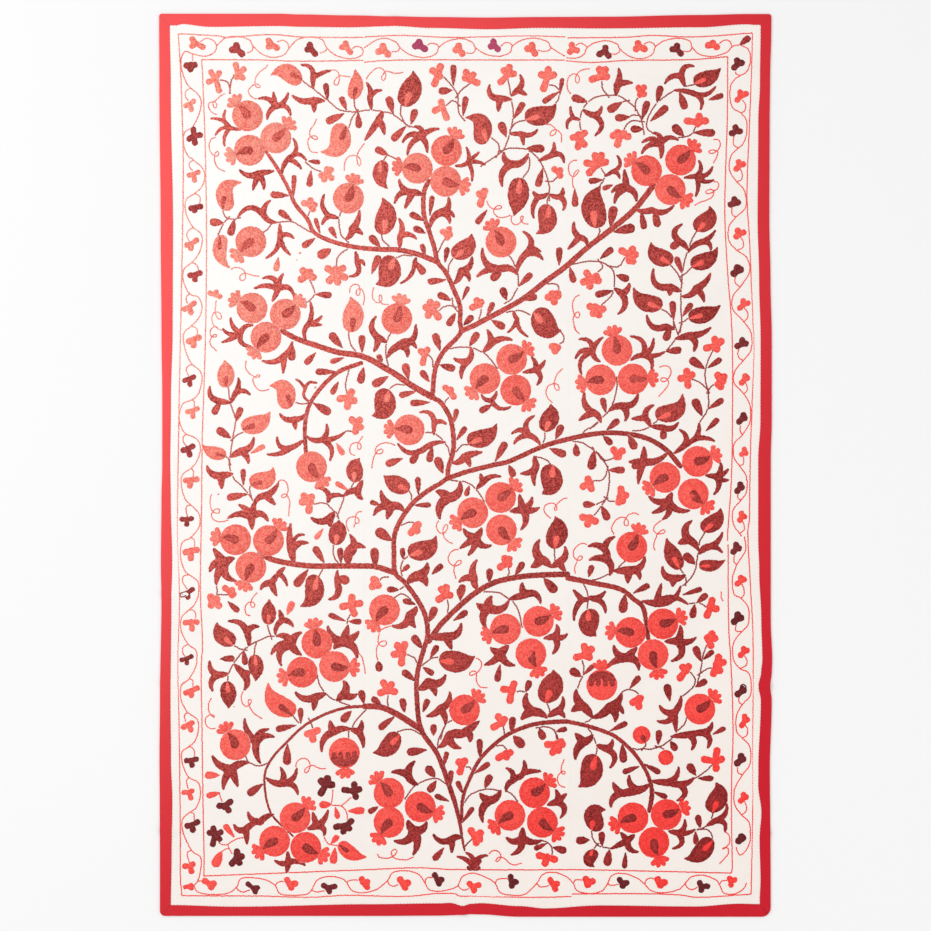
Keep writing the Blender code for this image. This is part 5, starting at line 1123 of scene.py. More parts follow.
BORDER = """
T -64.3 98.7 -64 93 -63.5 80 -63.2 66 -63.1 50 -63.4 30 -63.8 17 -64.2 4 -64.3 -10 -64.6 -30 -64.1 -43.5
 -64.4 -50 -64.2 -65 -64 -80 -63.7 -97 -63.8 -100.4
T -64.3 98.7 -50 98.6 -40 98.3 -24.9 98.5
T -24.7 98.1 -15 98.6 10 98.6 24.3 98.6
T 24.5 98.4 31 98 40 98.5 55 98.7 64 99.4
T 64 99.4 63.9 85 63.3 65 63.5 55 64.1 45 65.1 30 65 0 64.1 -15 63.9 -18.7
T 64.1 -19.5 64.2 -38 64.9 -51 65.3 -65 65 -75 64.9 -85 65.1 -97 64.9 -99.7
T -63.8 -100.4 -25 -98.9 -12 -98.4 -3 -98.8 15 -98.9 31 -98.9 64.9 -99.7
T -70 105 -69.4 95 -68.8 75 -69 54 -69.6 25 -70 1 -70.2 -17 -69.7 -33 -70.1 -48 -69.8 -64 -69.5 -89 -69.5
 -100 -69.1 -104.8
T -70 105 -60.7 104.5 -57.8 104.1 -47.6 104.8 -39.5 104.2 -24.9 104.1
T -24.6 104.2 -15 104.6 -3 104.1 15 104.5 24.4 104.2
T 24.9 104 38 104.1 46 104.6 54.5 104.2 62.6 104.6 70 105.2
T 70 105.2 69.9 98 69.3 83 68.7 66 69.4 53 70.1 36 70.4 27 69.7 8 69.4 -4 69.3 -13 68.9 -17.3 69.5 -29
 70.2 -44 70.1 -68 70.1 -84 69.9 -96 69.7 -104.9
T -69.1 -104.8 -67.6 -105.2 -50 -105.3 -38 -105.6 -29 -105.1 -15 -105.4 -7.5 -104.7 -2.5 -104.7 -.2 -105.3
 16 -105.6 25.9 -105.4
T 26 -104.8 42 -104.7 52 -105 57.4 -105.6 69.7 -104.8
T -60.6 102.1 -61.2 100.5 -63.5 99.5 -66.5 100.1 -68.2 100.7 -69.3 98.9 -69.1 96 -68 93 -67 91.8 -65 90
 -64.4 88 -65 85.2 -66.4 82.5 -68.5 80.8 -68.7 78 -67.7 75.3 -66.3 74.2 -64.2 72.3 -63.5 70.3 -64.3 67.6
 -66.1 66 -68 64.6 -68.3 62 -67.3 59.2 -66.2 57.7 -64.5 56.2 -64.2 53.8 -65.2 51 -66.7 49.2 -68.6 47.5
 -68.7 44.5 -67.2 41.6 -65.1 40.7 -64.2 38.4 -65 35.7 -66.8 33.7 -68.6 32 -68.6 29.2 -67.5 25.8 -66.5 24.3
 -64.6 22.6 -64.2 20.4 -65.1 17.2 -66.7 15.7 -68.9 14.7 -69.8 11.5 -69.1 8.7 -68 7.4 -65.4 6.1 -64.6 3.7
 -65.5 .7 -66.9 -1 -69 -2.6 -69.2 -5.5 -68.3 -8.5 -66.9 -9.9 -64.9 -12.2 -64.9 -15.2 -66.9 -17.8 -69.1
 -19.2 -69.4 -22.8 -68.4 -26 -67.4 -26.9 -65.2 -28.7 -65.1 -31.8 -66.2 -34.4 -67.5 -35.6 -69.3 -37.6 -69.2
 -40.8 -67.6 -43.9 -65.7 -45.4 -65.6 -48.8 -67.4 -52.4 -69.3 -54 -69.3 -57.4 -67.7 -60.5 -65.4 -62.2 -65.1
 -64.8 -66 -67.6 -67.4 -68.8 -69.1 -70.3 -68.9 -73.4 -67.4 -76.3 -65.1 -77.7 -64.6 -80.7 -65.6 -83.7 -67.1
 -84.8 -69 -86.7 -68.8 -89.8 -66.8 -94.1 -64.6 -95.8 -64.5 -98.6 -65.2 -101.6 -66.1 -102.8 -65 -104.4 -62
 -104.9 -58 -104.6 -55.8 -103.1 -54.8 -101.1 -52 -100.8 -48.5 -101.4 -46.3 -102.8 -45.2 -104.7 -42 -105.1
 -38.7 -104.8 -37.5 -103.8 -36.1 -101.4 -33.2 -100.5 -30.2 -101 -28.9 -102 -27.7 -103.9 -25 -104.5 -21.5
 -103.6 -18.9 -101.4 -17.7 -99.6 -14.5 -99.1 -11.4 -100 -9.8 -102.2 -8.7 -103.8 -5.8 -104.1 -2.7 -103.3
 -1.7 -102.6 -.6 -100.4 2 -99.7 5.2 -100.8 7.3 -102.2 8.5 -104.4 11.5 -105.1 14.6 -104.8 17.4 -102.2 18.9
 -100 21.5 -99.5 24.4 -100.4 26.3 -102.2 27.3 -104 30.4 -104.7 33.4 -104 34.7 -102.2 36 -100.1 39 -99.8 42
 -101 43.7 -102.3 45.4 -104 48.5 -104.5 52 -103.7 53.6 -102.2 55.2 -100.6 58 -100.2 61 -101.3 62 -102.5 63
 -104.5 65.5 -104.8 67.8 -103.6 68.6 -102.1
T -60.6 102.1 -58.4 104 -55.3 104.3 -52.6 103.4 -51.7 101.9 -49.5 100 -46.8 99.2 -44.1 99.9 -43 101.4 -41
 103.5 -38 104.2 -35 103.6 -33.7 101.5 -31.5 99.7 -28 98.9 -25.3 99.7 -24.9 100.9
T -24.7 101.5 -22 103.3 -19.5 103.9 -17 103 -16 101.7 -13.5 99.9 -10 99.2 -7.2 100.1 -6.4 101.7 -4.2 103.2
 -1 103.8 1.7 102.9 2.5 101.6 5 100 8.3 99.5 10.9 100.4 11.5 102 14 103.5 17.2 103.9 20.1 103 21 101.6
 24.3 99.5
T 24.6 99.1 27.3 99.1 29.1 100.2 29.7 101.6 31.6 102.8 34.5 103.3 37 102.5 37.7 101.3 40 99.5 43 98.9 45.6
 100 46.4 101.8 48.5 103.3 52 103.9 54.7 103.2 55.3 101.7 57.3 99.9 60.6 99.5 63.8 100.5 65 101.8 67 102.2
 69.2 100.9 69.5 98 68.5 95.6 67 94.8 65 93 64.5 90 65.2 87 67.1 85.7 68.5 84 68.6 80.6 67.8 78.3 66.6
 77.1 64.8 75.2 64.4 71.8 66.2 68.9 68.1 66.6 68.4 62.8 66 60.2 64.3 58 64.3 54.5 66.2 52.2 68.7 50.3 69.3
 46.9 67.1 43.3 65.3 41 65.2 37.9 67.9 34.8 69.7 32 69.7 28 67.8 25.3 65.7 22.6 65.6 19.8 67.9 17.2 69.4
 14.4 69.4 10.4 67.6 7.2 65.6 5 65.5 1.8 66.8 -.3 68.5 -2.9 68.6 -6.6 67.2 -8.8 65.3 -11.2 65.4 -14.6 67.4
 -17.6
T 68.1 -17.6 68.3 -21 66.2 -24.6 65.1 -28.2 65.6 -31.6 67.2 -32.7 69 -35 69 -39 67.4 -40.8 65.4 -43.6 65.4
 -47.6 67 -49.8 69.3 -51.2 69.6 -56 67.6 -58.6 66.1 -61.4 66.2 -65.2 67.6 -66.8 69.4 -69 69.4 -73.2 67.6
 -75.7 65.7 -79.2 65.7 -82.9 67.4 -85.5 69.3 -87.6 69.3 -92.4 67.4 -95.2 66.3 -94.4 66.1 -93.3
T -60.6 102.1 -61.3 103.2 -63 103.9 -64.6 103.1
W -65.5 102.6 .74 -66.9 104 -67 101.8 -63.6 101.5
T -51.7 101.9 -52.1 100.8 -53.2 100.3
V -55.5 101 .85 -56 102.7 -57.4 101.1 -54 99.7
T -43 101.4 -43.3 102.6 -44.4 103.4 -45.9 103
W -47 102.2 .79 -48.3 103.7 -48.4 101.7 -45.5 101.3
T -33.7 101.5 -34.2 100.7 -35.5 100.3
V -37.5 101.2 .79 -38.1 102.8 -39 101.1 -36.3 99.7
T -24.9 100.9 -25.5 101.7 -26.6 101.9 -27.6 101.4
W -28.9 101.7 .74 -29.3 103.1 -30.6 101.7 -27.8 100.1
T -16 101.7 -16.4 100.8 -18 100.6
W -19.7 101 .85 -20.3 102.5 -21.7 100.5 -18.5 99.5
T -6.4 101.7 -7 102.4 -8.3 102.7 -9.6 101.9
J -10.9 102 .85 -11.5 103.5 -12.8 102 -9.4 101
T 2.5 101.6 2.2 100.6 1.3 100.2 .2 100.4
W -1.5 101.1 .85 -1.7 102.6 -2.9 101 -.4 99.7
T 11.5 102 10.9 102.7 9.7 102.8 8.5 101.8
J 7.2 102 .79 6.7 103.6 5.7 101.8 8.3 100.9
T 21 101.6 20.3 100.9 19.1 100.7 17.7 101
W 16.4 101.2 .85 16.2 102.8 14.6 101.4 17.3 99.7
T 29.7 101.6 29.1 102.3 28.1 102.7 26.9 102.2
W 26.2 101.4 .79 25.8 102.8 25.2 100.2 27.7 100.7
T 37.7 101.3 37.4 100.4 36.5 100 35.5 100.2
V 34.1 100.7 .79 34.2 102.1 32.2 99.8 35.3 99.2
T 46.4 101.8 45.9 102.6 44.8 103 43.5 102.4
W 42.4 102 .85 41.9 103.2 41.2 100.9 44.2 101
T 55.3 101.7 54.9 100.9 53.9 100.6 52.7 101
V 51.6 101.2 .79 51.7 102.6 50 101.2 52.9 99.8
T 65 101.8 64.6 103 63.6 103.5 62.4 103 61.7 102.2
W 60.4 102.3 .85 60.3 103.3 58.7 102.1 61.8 101.5
D 66.8 102.2 69.5 104.3 1.7
T -66.5 100.2 -66.5 98.3
V -67 97.4 .79 -68.5 97.2 -65.5 97.4 -67 95.8
T -67 91.8 -68.1 91 -68.3 89.8 -67.5 88.6
W -67 87.9 .65 -68.5 87.3 -66 88.8 -66.8 86.1
V -66.1 80.2 .74 -66.4 82.1 -67.7 79.1 -64.2 80.3 -65.9 77.9
T -66.3 74.2 -67.2 73.6 -67.3 72.6 -66.4 71.5
W -66.2 70.8 .65 -67.7 70.4 -64.8 71.4 -66 68.9
T -66.1 66 -65 65.6 -64.6 64.6 -64.9 63.5
V -65.7 62.7 .74 -67.3 62.3 -64.1 62.9 -66.2 61.5
T -66.2 57.7 -67.5 57 -67.9 55.6 -67 54
W -66.8 53.8 .71 -68.3 53.3 -65.2 54.9 -67 52.2
T -66.7 49.2 -65.6 48.7 -65.1 47.6 -65.3 46.6
V -66 46.2 .74 -67.6 46 -64.3 46.8 -65.9 44.6
T -67.2 41.6 -68 40.9 -68 39.8 -67.4 38.8
W -67.3 38.4 .71 -68.9 37.6 -65.8 39.6 -66.8 36.6
T -66.8 33.7 -65.6 33.2 -65.3 32.2 -65.8 31
W -66.2 30.5 .79 -67.9 29.8 -64.5 31.1 -66.3 28.5
T -66.5 24.3 -67.8 23.9 -68 22.8 -67.4 21.4
V -67.3 20.9 .65 -68.8 20.3 -65.9 21.4 -67.1 19.1
T -66.7 15.7 -66.1 15.2 -66.1 13.5
W -66.5 13.1 .65 -68.1 12.7 -65 13.7 -66.4 11.3
T -68 7.4 -68.8 6.6 -68.7 5.4 -67.9 4.3
V -67.6 3.8 .74 -69.2 3.3 -66.1 4.6 -67.1 1.9
T -66.9 -1 -66.3 -1.8 -66.4 -3.3
W -66.8 -3.8 .74 -68.6 -4 -65 -3.6 -67.3 -5.7
T -66.9 -9.9 -67.9 -10.2 -68.1 -11.4 -67.7 -13
V -67.8 -13.4 .65 -69.5 -13.4 -66.4 -13.2 -68 -15
T -66.9 -17.8 -66 -18.6 -66.1 -20.5
W -66.8 -21 .79 -68.7 -21.6 -65 -20.8 -67 -23.4
T -67.4 -26.9 -68.7 -27.3 -68.9 -28.7 -67.7 -30.6
V -67.7 -31.3 .65 -69.4 -32 -66.2 -30.3 -67.6 -32.8
T -67.5 -35.6 -66.5 -35.5 -65.7 -36.6 -66 -38
W -66.8 -38.4 .71 -68.7 -38.7 -65 -38.5 -66.6 -40.6
T -67.6 -43.9 -68.8 -44.6 -68.9 -46 -68.2 -47
V -67.9 -47.4 .6 -69.5 -47.8 -66.5 -46.7 -67.9 -48.8
T -67.4 -52.4 -66.5 -52.7 -66.4 -54.5
W -66.8 -55.2 .71 -68.6 -55.9 -65 -54.4 -66.8 -56.8
T -67.7 -60.5 -68.5 -61.2 -68.2 -62.8
W -67.4 -63.4 .71 -69.1 -64.3 -66.3 -62.9 -66.8 -65.2
T -67.4 -68.8 -66.4 -69.3 -66 -70.5 -66.3 -71.6
V -66.8 -72.2 .71 -68.4 -72.3 -65.2 -71.8 -66.6 -73.8
T -67.4 -76.3 -68 -77.3 -67.5 -79.3
W -67.4 -80 .65 -69 -80 -66.3 -79.5 -66.8 -81.7
T -67.1 -84.8 -66.2 -85.2 -66 -87
V -66.6 -87.9 .74 -68.2 -88.3 -64.9 -87 -66.4 -89.6
T -66.8 -94.1 -67.7 -94.6 -67.7 -95.8 -67.2 -97.3
W -67.2 -98 .74 -68.8 -98 -66.1 -97.3 -66.6 -99.7
W -67.6 -103 .6 -68.6 -103.1 -66.5 -102.5 -66.5 -103.5
T -65.3 -101.7 -63.5 -101.5
W -62.4 -102.3 .79 -63.9 -101.3 -60.8 -102.2 -61.7 -103.6
T -55.8 -103.1 -55.3 -103.9 -54 -104.3 -52.6 -103.7
V -51.9 -103.2 .65 -53.3 -102.1 -50.3 -103.3 -51 -104.6
T -46.3 -102.8 -45.8 -102 -44.6 -101.7 -43.5 -102
W -43 -102.2 .79 -43.7 -100.9 -40.9 -102.3 -42.2 -103.7
T -37.5 -103.8 -36.3 -104.3 -34.3 -104
V -33.7 -103.2 .71 -34.9 -102.5 -31.4 -102.9 -32.9 -104.6
T -28.9 -102 -28 -101.4 -26 -101.4
W -25 -101.9 .79 -25.4 -100.7 -23.4 -101.8 -23.6 -103.5
T -18.9 -101.4 -18.7 -102.3 -17.6 -102.9 -16.3 -102.5
W -15.4 -102 .85 -16.2 -100.8 -13.4 -102.1 -14.4 -103.7
T -9.8 -102.2 -9.6 -101.2 -8.7 -100.7 -7.5 -101
V -6.9 -101.2 .74 -7.7 -99.7 -5.3 -101.3 -6.2 -102.7
T -1.7 -102.6 -1.2 -103.4 -.2 -103.8 1 -103.3
W 1.6 -103 .74 .7 -101.9 3.7 -102.5 2.4 -104.4
T 7.3 -102.2 7.8 -101.3 9.2 -101 10.6 -101.1
V 11.2 -101.5 .74 11 -100.1 12.8 -102 11.4 -103.3
T 17.4 -102.2 18.2 -103 19.4 -103 20.6 -102.6
W 21.2 -102.2 .74 20.5 -100.9 22.9 -102.3 22.2 -104
T 26.3 -102.2 26.9 -101.3 28.6 -101.4
W 29.6 -101.8 .85 29.2 -100.6 31.6 -101.7 30.1 -103.1
T 34.7 -102.2 35.6 -102.7 37.4 -102.4
V 38.1 -102 .74 37.4 -100.9 39.8 -102.1 38.5 -103.3
T 43.7 -102.3 44.2 -101.3 45.2 -100.9 46.4 -101.4
W 47.2 -101.9 .85 46.7 -100.7 49.2 -102 47.8 -103.2
T 53.6 -102.2 54.2 -103.3 55.3 -103.7 56.8 -103.1
V 57.5 -102.9 .74 57 -101.6 59.5 -102.9 57.6 -104.3
T 62 -102.5 62.6 -101.6 64 -101.5
W 64.7 -101.7 .71 64.3 -100.6 66.1 -101.2 64.9 -103
T 67 94.8 66 95.3 65.9 97
V 66.3 97.4 .79 66.3 99 67.9 98.1 65.2 96.4
T 67.1 85.7 68.1 86.2 68.4 87.5 67.5 89
W 67.1 89.6 .74 67 91.2 68.9 90.6 66 88.5
T 66.6 77.1 65.5 77.8 65.4 79.4 65.9 80.6
V 66 81.2 .79 65.8 82.7 67.5 81.2 64.5 80.5
T 66.2 68.9 67.4 69.5 67.5 71 66.9 72.2
W 66.7 72.7 .74 66.6 74.2 68.2 73.4 65.7 71.7
T 66 60.2 65.1 61 65 62.4 65.5 63
V 65.6 63.6 .79 65.6 65.2 67 64 64.2 63.2
T 66.2 52.2 67.6 52.8 67.8 54.2 67 55.6
W 66.7 56.1 .79 66.3 57.5 68.3 56.7 65.7 55.2
T 67.1 43.3 65.9 44.1 65.8 45.3 66.2 46.5
V 66.4 47.2 .9 66.3 48.6 67.7 47.7 65 46.1
T 67.9 34.8 68.8 35.7 68.8 37.1 67.9 38.3
W 67.7 38.8 .71 67.8 40.3 69.3 39.5 66.6 37.8
T 67.8 25.3 66.7 26 66.5 27.4 67 28.6
V 67.4 29.3 .79 67.6 30.8 68.9 29.5 65.9 28.6
T 67.9 17.2 68.7 18 68.7 19.2 68.2 20.2
W 68.1 20.7 .74 68.3 22 69.2 21.2 67.1 19.5
T 67.6 7.2 67 8.3 67.2 10.3
V 67.4 11 .79 68 12.5 68.6 11.4 66.4 10
T 66.8 -.3 67.8 .1 67.9 2
W 67.9 2.6 .65 68.1 4.1 68.8 2.7 67 2.3
T 67.2 -8.8 66.4 -8 66.7 -6.4
V 67 -5.8 .79 67.1 -4.4 67.9 -5.4 66 -6.9
T 66.9 -16.9 68 -16 68 -14.9 67.6 -13.7
W 67.4 -12.9 .71 67.3 -11.5 68.5 -12.6 66.7 -14
T 66.2 -24.6 65.5 -23.5 65.8 -21.4
V 66.1 -20.7 .79 66 -19.1 67.2 -20.3 65 -21.7
T 67.2 -32.7 68 -31.7 67.9 -30.3 67.3 -29
W 67.1 -28.5 .74 67.2 -27.2 68.4 -27.9 66 -29.4
T 67.4 -40.8 66.1 -40.7 65.9 -39.8 66.3 -38.4
V 66.4 -37.7 .85 66.4 -36.1 67.8 -37.3 65.1 -38.8
T 67 -49.8 68.3 -49.2 68.7 -48 68 -46.5
W 67.9 -45.8 .74 67.9 -44.5 69.1 -45.2 66.8 -46.9
T 67.6 -58.6 66.7 -57.8 67 -56
V 67.4 -55.3 .85 67.9 -53.8 68.4 -55 66 -56.4
T 67.6 -66.8 68.7 -66 68.8 -64.6 68.2 -63.3
W 68.1 -62.6 .71 68.1 -61 69.2 -62.1 67.2 -64.1
T 67.6 -75.7 66.4 -75.1 66.6 -73
V 67.2 -72.1 .85 67.3 -70.6 68.3 -71.7 65.9 -73.3
T 67.4 -85.5 68.5 -84.6 68.5 -83.3 68 -82
W 67.8 -81.4 .74 67.9 -80.1 68.9 -81 66.8 -82.4
V 67.3 -91.3 1 67.4 -90.2 68.2 -90.8 66.2 -92.2
"""
TUFT = """
S 2 -98.2 .75 -1.9 -95.7 -.12 .2 -94.7 -.2 5.4 -95.4 .2 3.8 -96.7 0
B 1.5 1.5 1 -98.4 3 -98.4
"""

# The tree first, then the ground's six bands from the top down, then the vine border, and the
# tuft at the trunk's foot last.
PLANTS = (
    TREE,
    FIRST_BAND,
    SECOND_BAND,
    THIRD_BAND,
    FOURTH_BAND,
    FIFTH_BAND,
    SIXTH_BAND,
    BORDER,
    TUFT,
)


class Side(Enum):
    """A side of the cloth, by its outward direction."""

    LEFT = (-1, 0)
    RIGHT = (1, 0)
    BOTTOM = (0, -1)
    TOP = (0, 1)


class Crease(NamedTuple):
    """A low ridge that runs in from an edge, in millimetres."""

    along: float
    height: float
    half_width: float
    reach: float


def number_rows(text: str) -> list[list[float]]:
    """The rows of numbers in a block of text, one row a line."""
    return [[float(word) for word in line.split()] for line in text.strip().splitlines()]


def eased(share: np.ndarray) -> np.ndarray:
    """A smooth rise from 0 to 1 as share goes from 0 to 1."""
    return (1 - np.cos(np.pi * np.clip(share, 0, 1))) / 2


@dataclass
class Edge:
    """One edge of the cloth: where it lies, how wide its binding is, and its creases."""

    side: Side
    stations: str
    creases: tuple = ()
    crease_full: float = 50 * MM
    crease_steps: tuple = (-4, -3, -2, -1, 0, 1, 2, 3, 4)

    def __post_init__(self) -> None:
        """Reads the stations into arrays in metres."""
        self.along, self.drawn_in, self.binding = np.array(number_rows(self.stations)).T * MM
        self.across_x = self.side.value[0] != 0
        self.sign = sum(self.side.value)
        self.reach = WIDTH / 2 if self.across_x else LENGTH / 2

    def sizes(self, along: float) -> tuple[float, float]:
        """How far the edge is drawn in and how wide its binding is, at a place along it.

        Args:
            along: the place along the edge.

        Returns:
            The two sizes.
        """
        k = int(np.clip(np.searchsorted(self.along, along), 1, len(self.along) - 1))
        share = eased((along - self.along[k - 1]) / (self.along[k] - self.along[k - 1]))
        drawn = self.drawn_in[k - 1] + share * (self.drawn_in[k] - self.drawn_in[k - 1])
        wide = self.binding[k - 1] + share * (self.binding[k] - self.binding[k - 1])
        return float(drawn), float(wide)

    def lift(self, along: np.ndarray, depth: np.ndarray) -> np.ndarray:
        """How high the creases lift the cloth, at places along the edge and depths from it.

        Args:
            along: places along the edge.
            depth: how far in from the edge each is.

        Returns:
            How far each place is lifted.
        """
        total = np.zeros(np.broadcast(along, depth).shape)
        for crease in self.creases:
            across = np.abs(along / MM - crease.along) / crease.half_width
            beyond = np.maximum(0.0, depth - self.crease_full)
            inward = beyond / (crease.reach * MM - self.crease_full)
            total += crease.height * MM * eased(1 - across) * eased(1 - inward)
        return total

    def crease_places(self) -> list[float]:
        """Places along the edge where a mesh needs a line to follow the creases."""
        return [crease.along * MM + k * CREASE_STEP for crease in self.creases for k in self.crease_steps]

    def plan(self, along: float, outward: float) -> tuple[float, float]:
        """The x and y of a place given along the edge and outward from the cloth's middle.

        Args:
            along: the place along the edge.
            outward: how far out it is.

        Returns:
            Its (x, y).
        """
        if self.across_x:
            return self.sign * outward, along
        return along, self.sign * outward


@dataclass
class Cloth:
    """The whole cloth's shape: four edges, two seams, and how high its face lies."""

    edges: dict
    ground_thick: float = 1.5 * MM
    step_height: float = 1.3 * MM
    ripple: float = 0.7 * MM
    step_run: float = 15 * MM
    ripple_waves: int = 14
    ripple_lengths: tuple = (0.07, 0.32)

    def seam_x(self, seam: tuple, y: float) -> float:
        """Where a seam crosses a place along the cloth."""
        return seam[0] + (seam[1] - seam[0]) * (y + LENGTH / 2) / LENGTH

    def ripples(self, x: np.ndarray, y: np.ndarray) -> np.ndarray:
        """The gentle unevenness of a washed, stitched cloth, from 0 to the ripple height.

        Args:
            x: places across the cloth.
            y: places along it.

        Returns:
            The heights.
        """
        waves = np.zeros(np.broadcast(x, y).shape)
        rng = np.random.default_rng(SEED)
        for _ in range(self.ripple_waves):
            angle = rng.uniform(0, 2 * math.pi)
            length = rng.uniform(*self.ripple_lengths)
            turn = rng.uniform(0, 2 * math.pi)
            along = x * math.cos(angle) + y * math.sin(angle)
            waves += np.sin(2 * math.pi * along / length + turn)
        return self.ripple * np.clip(0.5 + waves / self.ripple_waves, 0, 1)

    def face(self, x: np.ndarray, y: np.ndarray) -> np.ndarray:
        """The height of the ground cloth's face at places on it.

        Args:
            x: places across the cloth.
            y: places along it.

        Returns:
            The heights.
        """
        height = self.ground_thick + self.ripples(x, y)
        for edge in self.edges.values():
            along, across = (y, x) if edge.across_x else (x, y)
            height = height + edge.lift(along, edge.reach - edge.sign * across)
        return height + self.step_height * self.step_share(x, y)

    def step_share(self, x: np.ndarray, y: np.ndarray) -> np.ndarray:
        """How far the ground is raised onto the binding's back layer, from 0 to 1.

        Args:
            x: places across the cloth.
            y: places along it.

        Returns:
            The shares.
        """
        share = np.zeros(np.broadcast(x, y).shape)
        for edge in self.edges.values():
            along, across = (y, x) if edge.across_x else (x, y)
            drawn = np.interp(along, edge.along, edge.drawn_in)
            wide = np.interp(along, edge.along, edge.binding)
            past = edge.reach - edge.sign * across - drawn - wide
            share = np.maximum(share, eased(1 - past / self.step_run))
        return share


@dataclass
class Loom:
    """One loom width of ground cloth as a thin closed sheet."""

    name: str
    cloth: Cloth
    left: Edge | tuple
    right: Edge | tuple
    step: float = 14 * MM
    raw_edge_in: float = 6 * MM
    seam_gap: float = 0.02 * MM
    seam_turn: float = 0.15 * MM

    def border(self, bound: Edge | tuple, y: float, side: int) -> float:
        """The x of this width's own left or right border at a place along it.

        Args:
            bound: the edge or seam on that side.
            y: the place along the cloth.
            side: -1 for the left border and 1 for the right.

        Returns:
            The border's x.
        """
        if isinstance(bound, tuple):
            return self.cloth.seam_x(bound, y) - side * self.seam_gap
        drawn, _ = bound.sizes(y)
        return bound.sign * (bound.reach - drawn - self.raw_edge_in)

    def build(self) -> bpy.types.Object:
        """Builds the sheet with its face on the cloth's shape and its back the ground's thickness below it.

        Returns:
            The new object.
        """
        bottom, top = self.cloth.edges[Side.BOTTOM], self.cloth.edges[Side.TOP]
        turn = self.seam_turn / (WIDTH / LOOM_WIDTHS)
        start, end = (self.border(bound, 0, side) for bound, side in ((self.left, -1), (self.right, 1)))
        creased = np.array(bottom.crease_places() + top.crease_places())
        shares = self.shares(end - start, (creased - start) / (end - start))
        shares = [0.0, turn, *shares[1:-1], 1 - turn, 1.0]
        beside = [edge for edge in (self.left, self.right) if isinstance(edge, Edge)]
        length = LENGTH - 2 * self.raw_edge_in
        creased = np.array([place for edge in beside for place in edge.crease_places()])
        rows = self.shares(length, creased / length + 0.5)
        points = np.zeros((len(rows), len(shares), 2))
        for r, row in enumerate(rows):
            nominal = (row - 0.5) * length
            low = self.border(self.left, nominal, -1)
            high = self.border(self.right, nominal, 1)
            for c, share in enumerate(shares):
                x = low + (high - low) * share
                y_low = -(bottom.reach - bottom.sizes(x)[0] - self.raw_edge_in)
                y_high = top.reach - top.sizes(x)[0] - self.raw_edge_in
                points[r, c] = x, y_low + (y_high - y_low) * row
        self.round_corners(points)
        face = self.cloth.face(points[..., 0], points[..., 1])
        return sheet_object(self.name, points, face - self.cloth.ground_thick, face)

    def shares(self, length: float, extra: np.ndarray) -> np.ndarray:
        """Even shares of a length from 0 to 1, with extra ones that take their neighbours' place.

        Args:
            length: the length that is shared.
            extra: the shares to be among them.

        Returns:
            The shares in order.
        """
        even = np.linspace(0, 1, round(length / self.step) + 1)
        extra = extra[(extra > CREASE_STEP / length) & (extra < 1 - CREASE_STEP / length)]
        if len(extra):
            near = np.abs(even[:, None] - extra).min(axis=1) < CREASE_STEP / 2 / length
            near[[0, -1]] = False
            even = even[~near]
        return np.union1d(even, extra)

    def round_corners(self, points: np.ndarray) -> None:
        """Draws the outer corners in, where the binding turns round them.

        Args:
            points: rows and columns of (x, y), changed in place.
        """
        for row, row_sign in ((0, -1), (-1, 1)):
            for column, bound in ((0, self.left), (-1, self.right)):
                if isinstance(bound, tuple):
                    continue
                radius = CORNER_RADII[(bound.sign, row_sign)] - self.raw_edge_in
                cut = max(0.0, radius) * (1 - math.sqrt(0.5))
                points[row, column] -= np.array([bound.sign, row_sign]) * cut


def sheet_object(
    name: str, plan: np.ndarray, low: np.ndarray, high: np.ndarray
) -> bpy.types.Object:
    """A closed sheet over a grid of places.

    Args:
        name: the object's name.
        plan: rows and columns of (x, y).
        low: the back's height at each place.
        high: the face's height at each place.

    Returns:
        The new object, smooth shaded.
    """
    rows, columns = low.shape
    count = rows * columns
    back = np.dstack([plan, low]).reshape(count, 3)
    front = np.dstack([plan, high]).reshape(count, 3)
    grid = np.arange(count).reshape(rows, columns)
    a, b = grid[:-1, :-1].ravel(), grid[:-1, 1:].ravel()
    c, d = grid[1:, 1:].ravel(), grid[1:, :-1].ravel()
    faces = [np.stack([a, b, c, d], 1) + count, np.stack([d, c, b, a], 1)]
    rim = np.concatenate([grid[0], grid[1:, -1], grid[-1, -2::-1], grid[-2:0:-1, 0]])
    after = np.roll(rim, -1)
    faces.append(np.stack([rim, after, after + count, rim + count], 1))
    thing = mesh_object(name, np.vstack([back, front]), np.vstack(faces))
    smooth = np.arange(len(thing.data.polygons)) < 2 * len(a)
    thing.data.polygons.foreach_set("use_smooth", smooth)
    thing.data.update()
    return thing


def mesh_object(name: str, points: np.ndarray, faces: np.ndarray) -> bpy.types.Object:
    """A smooth-shaded object from points and faces that all have as many corners.

    Args:
        name: the object's name.
        points: its (x, y, z).
        faces: its corners, by row.

    Returns:
        The new object.
    """
    mesh = bpy.data.meshes.new(name)
    mesh.vertices.add(len(points))
    mesh.vertices.foreach_set("co", points.astype(np.float32).ravel())
    corners = faces.shape[1]
    mesh.loops.add(faces.size)
    mesh.loops.foreach_set("vertex_index", faces.astype(np.int32).ravel())
    mesh.polygons.add(len(faces))
    mesh.polygons.foreach_set("loop_start", np.arange(0, faces.size, corners, dtype=np.int32))
    mesh.update(calc_edges=True)
    mesh.shade_smooth()
    mesh.validate()
    thing = bpy.data.objects.new(name, mesh)
    bpy.context.scene.collection.objects.link(thing)
    return thing


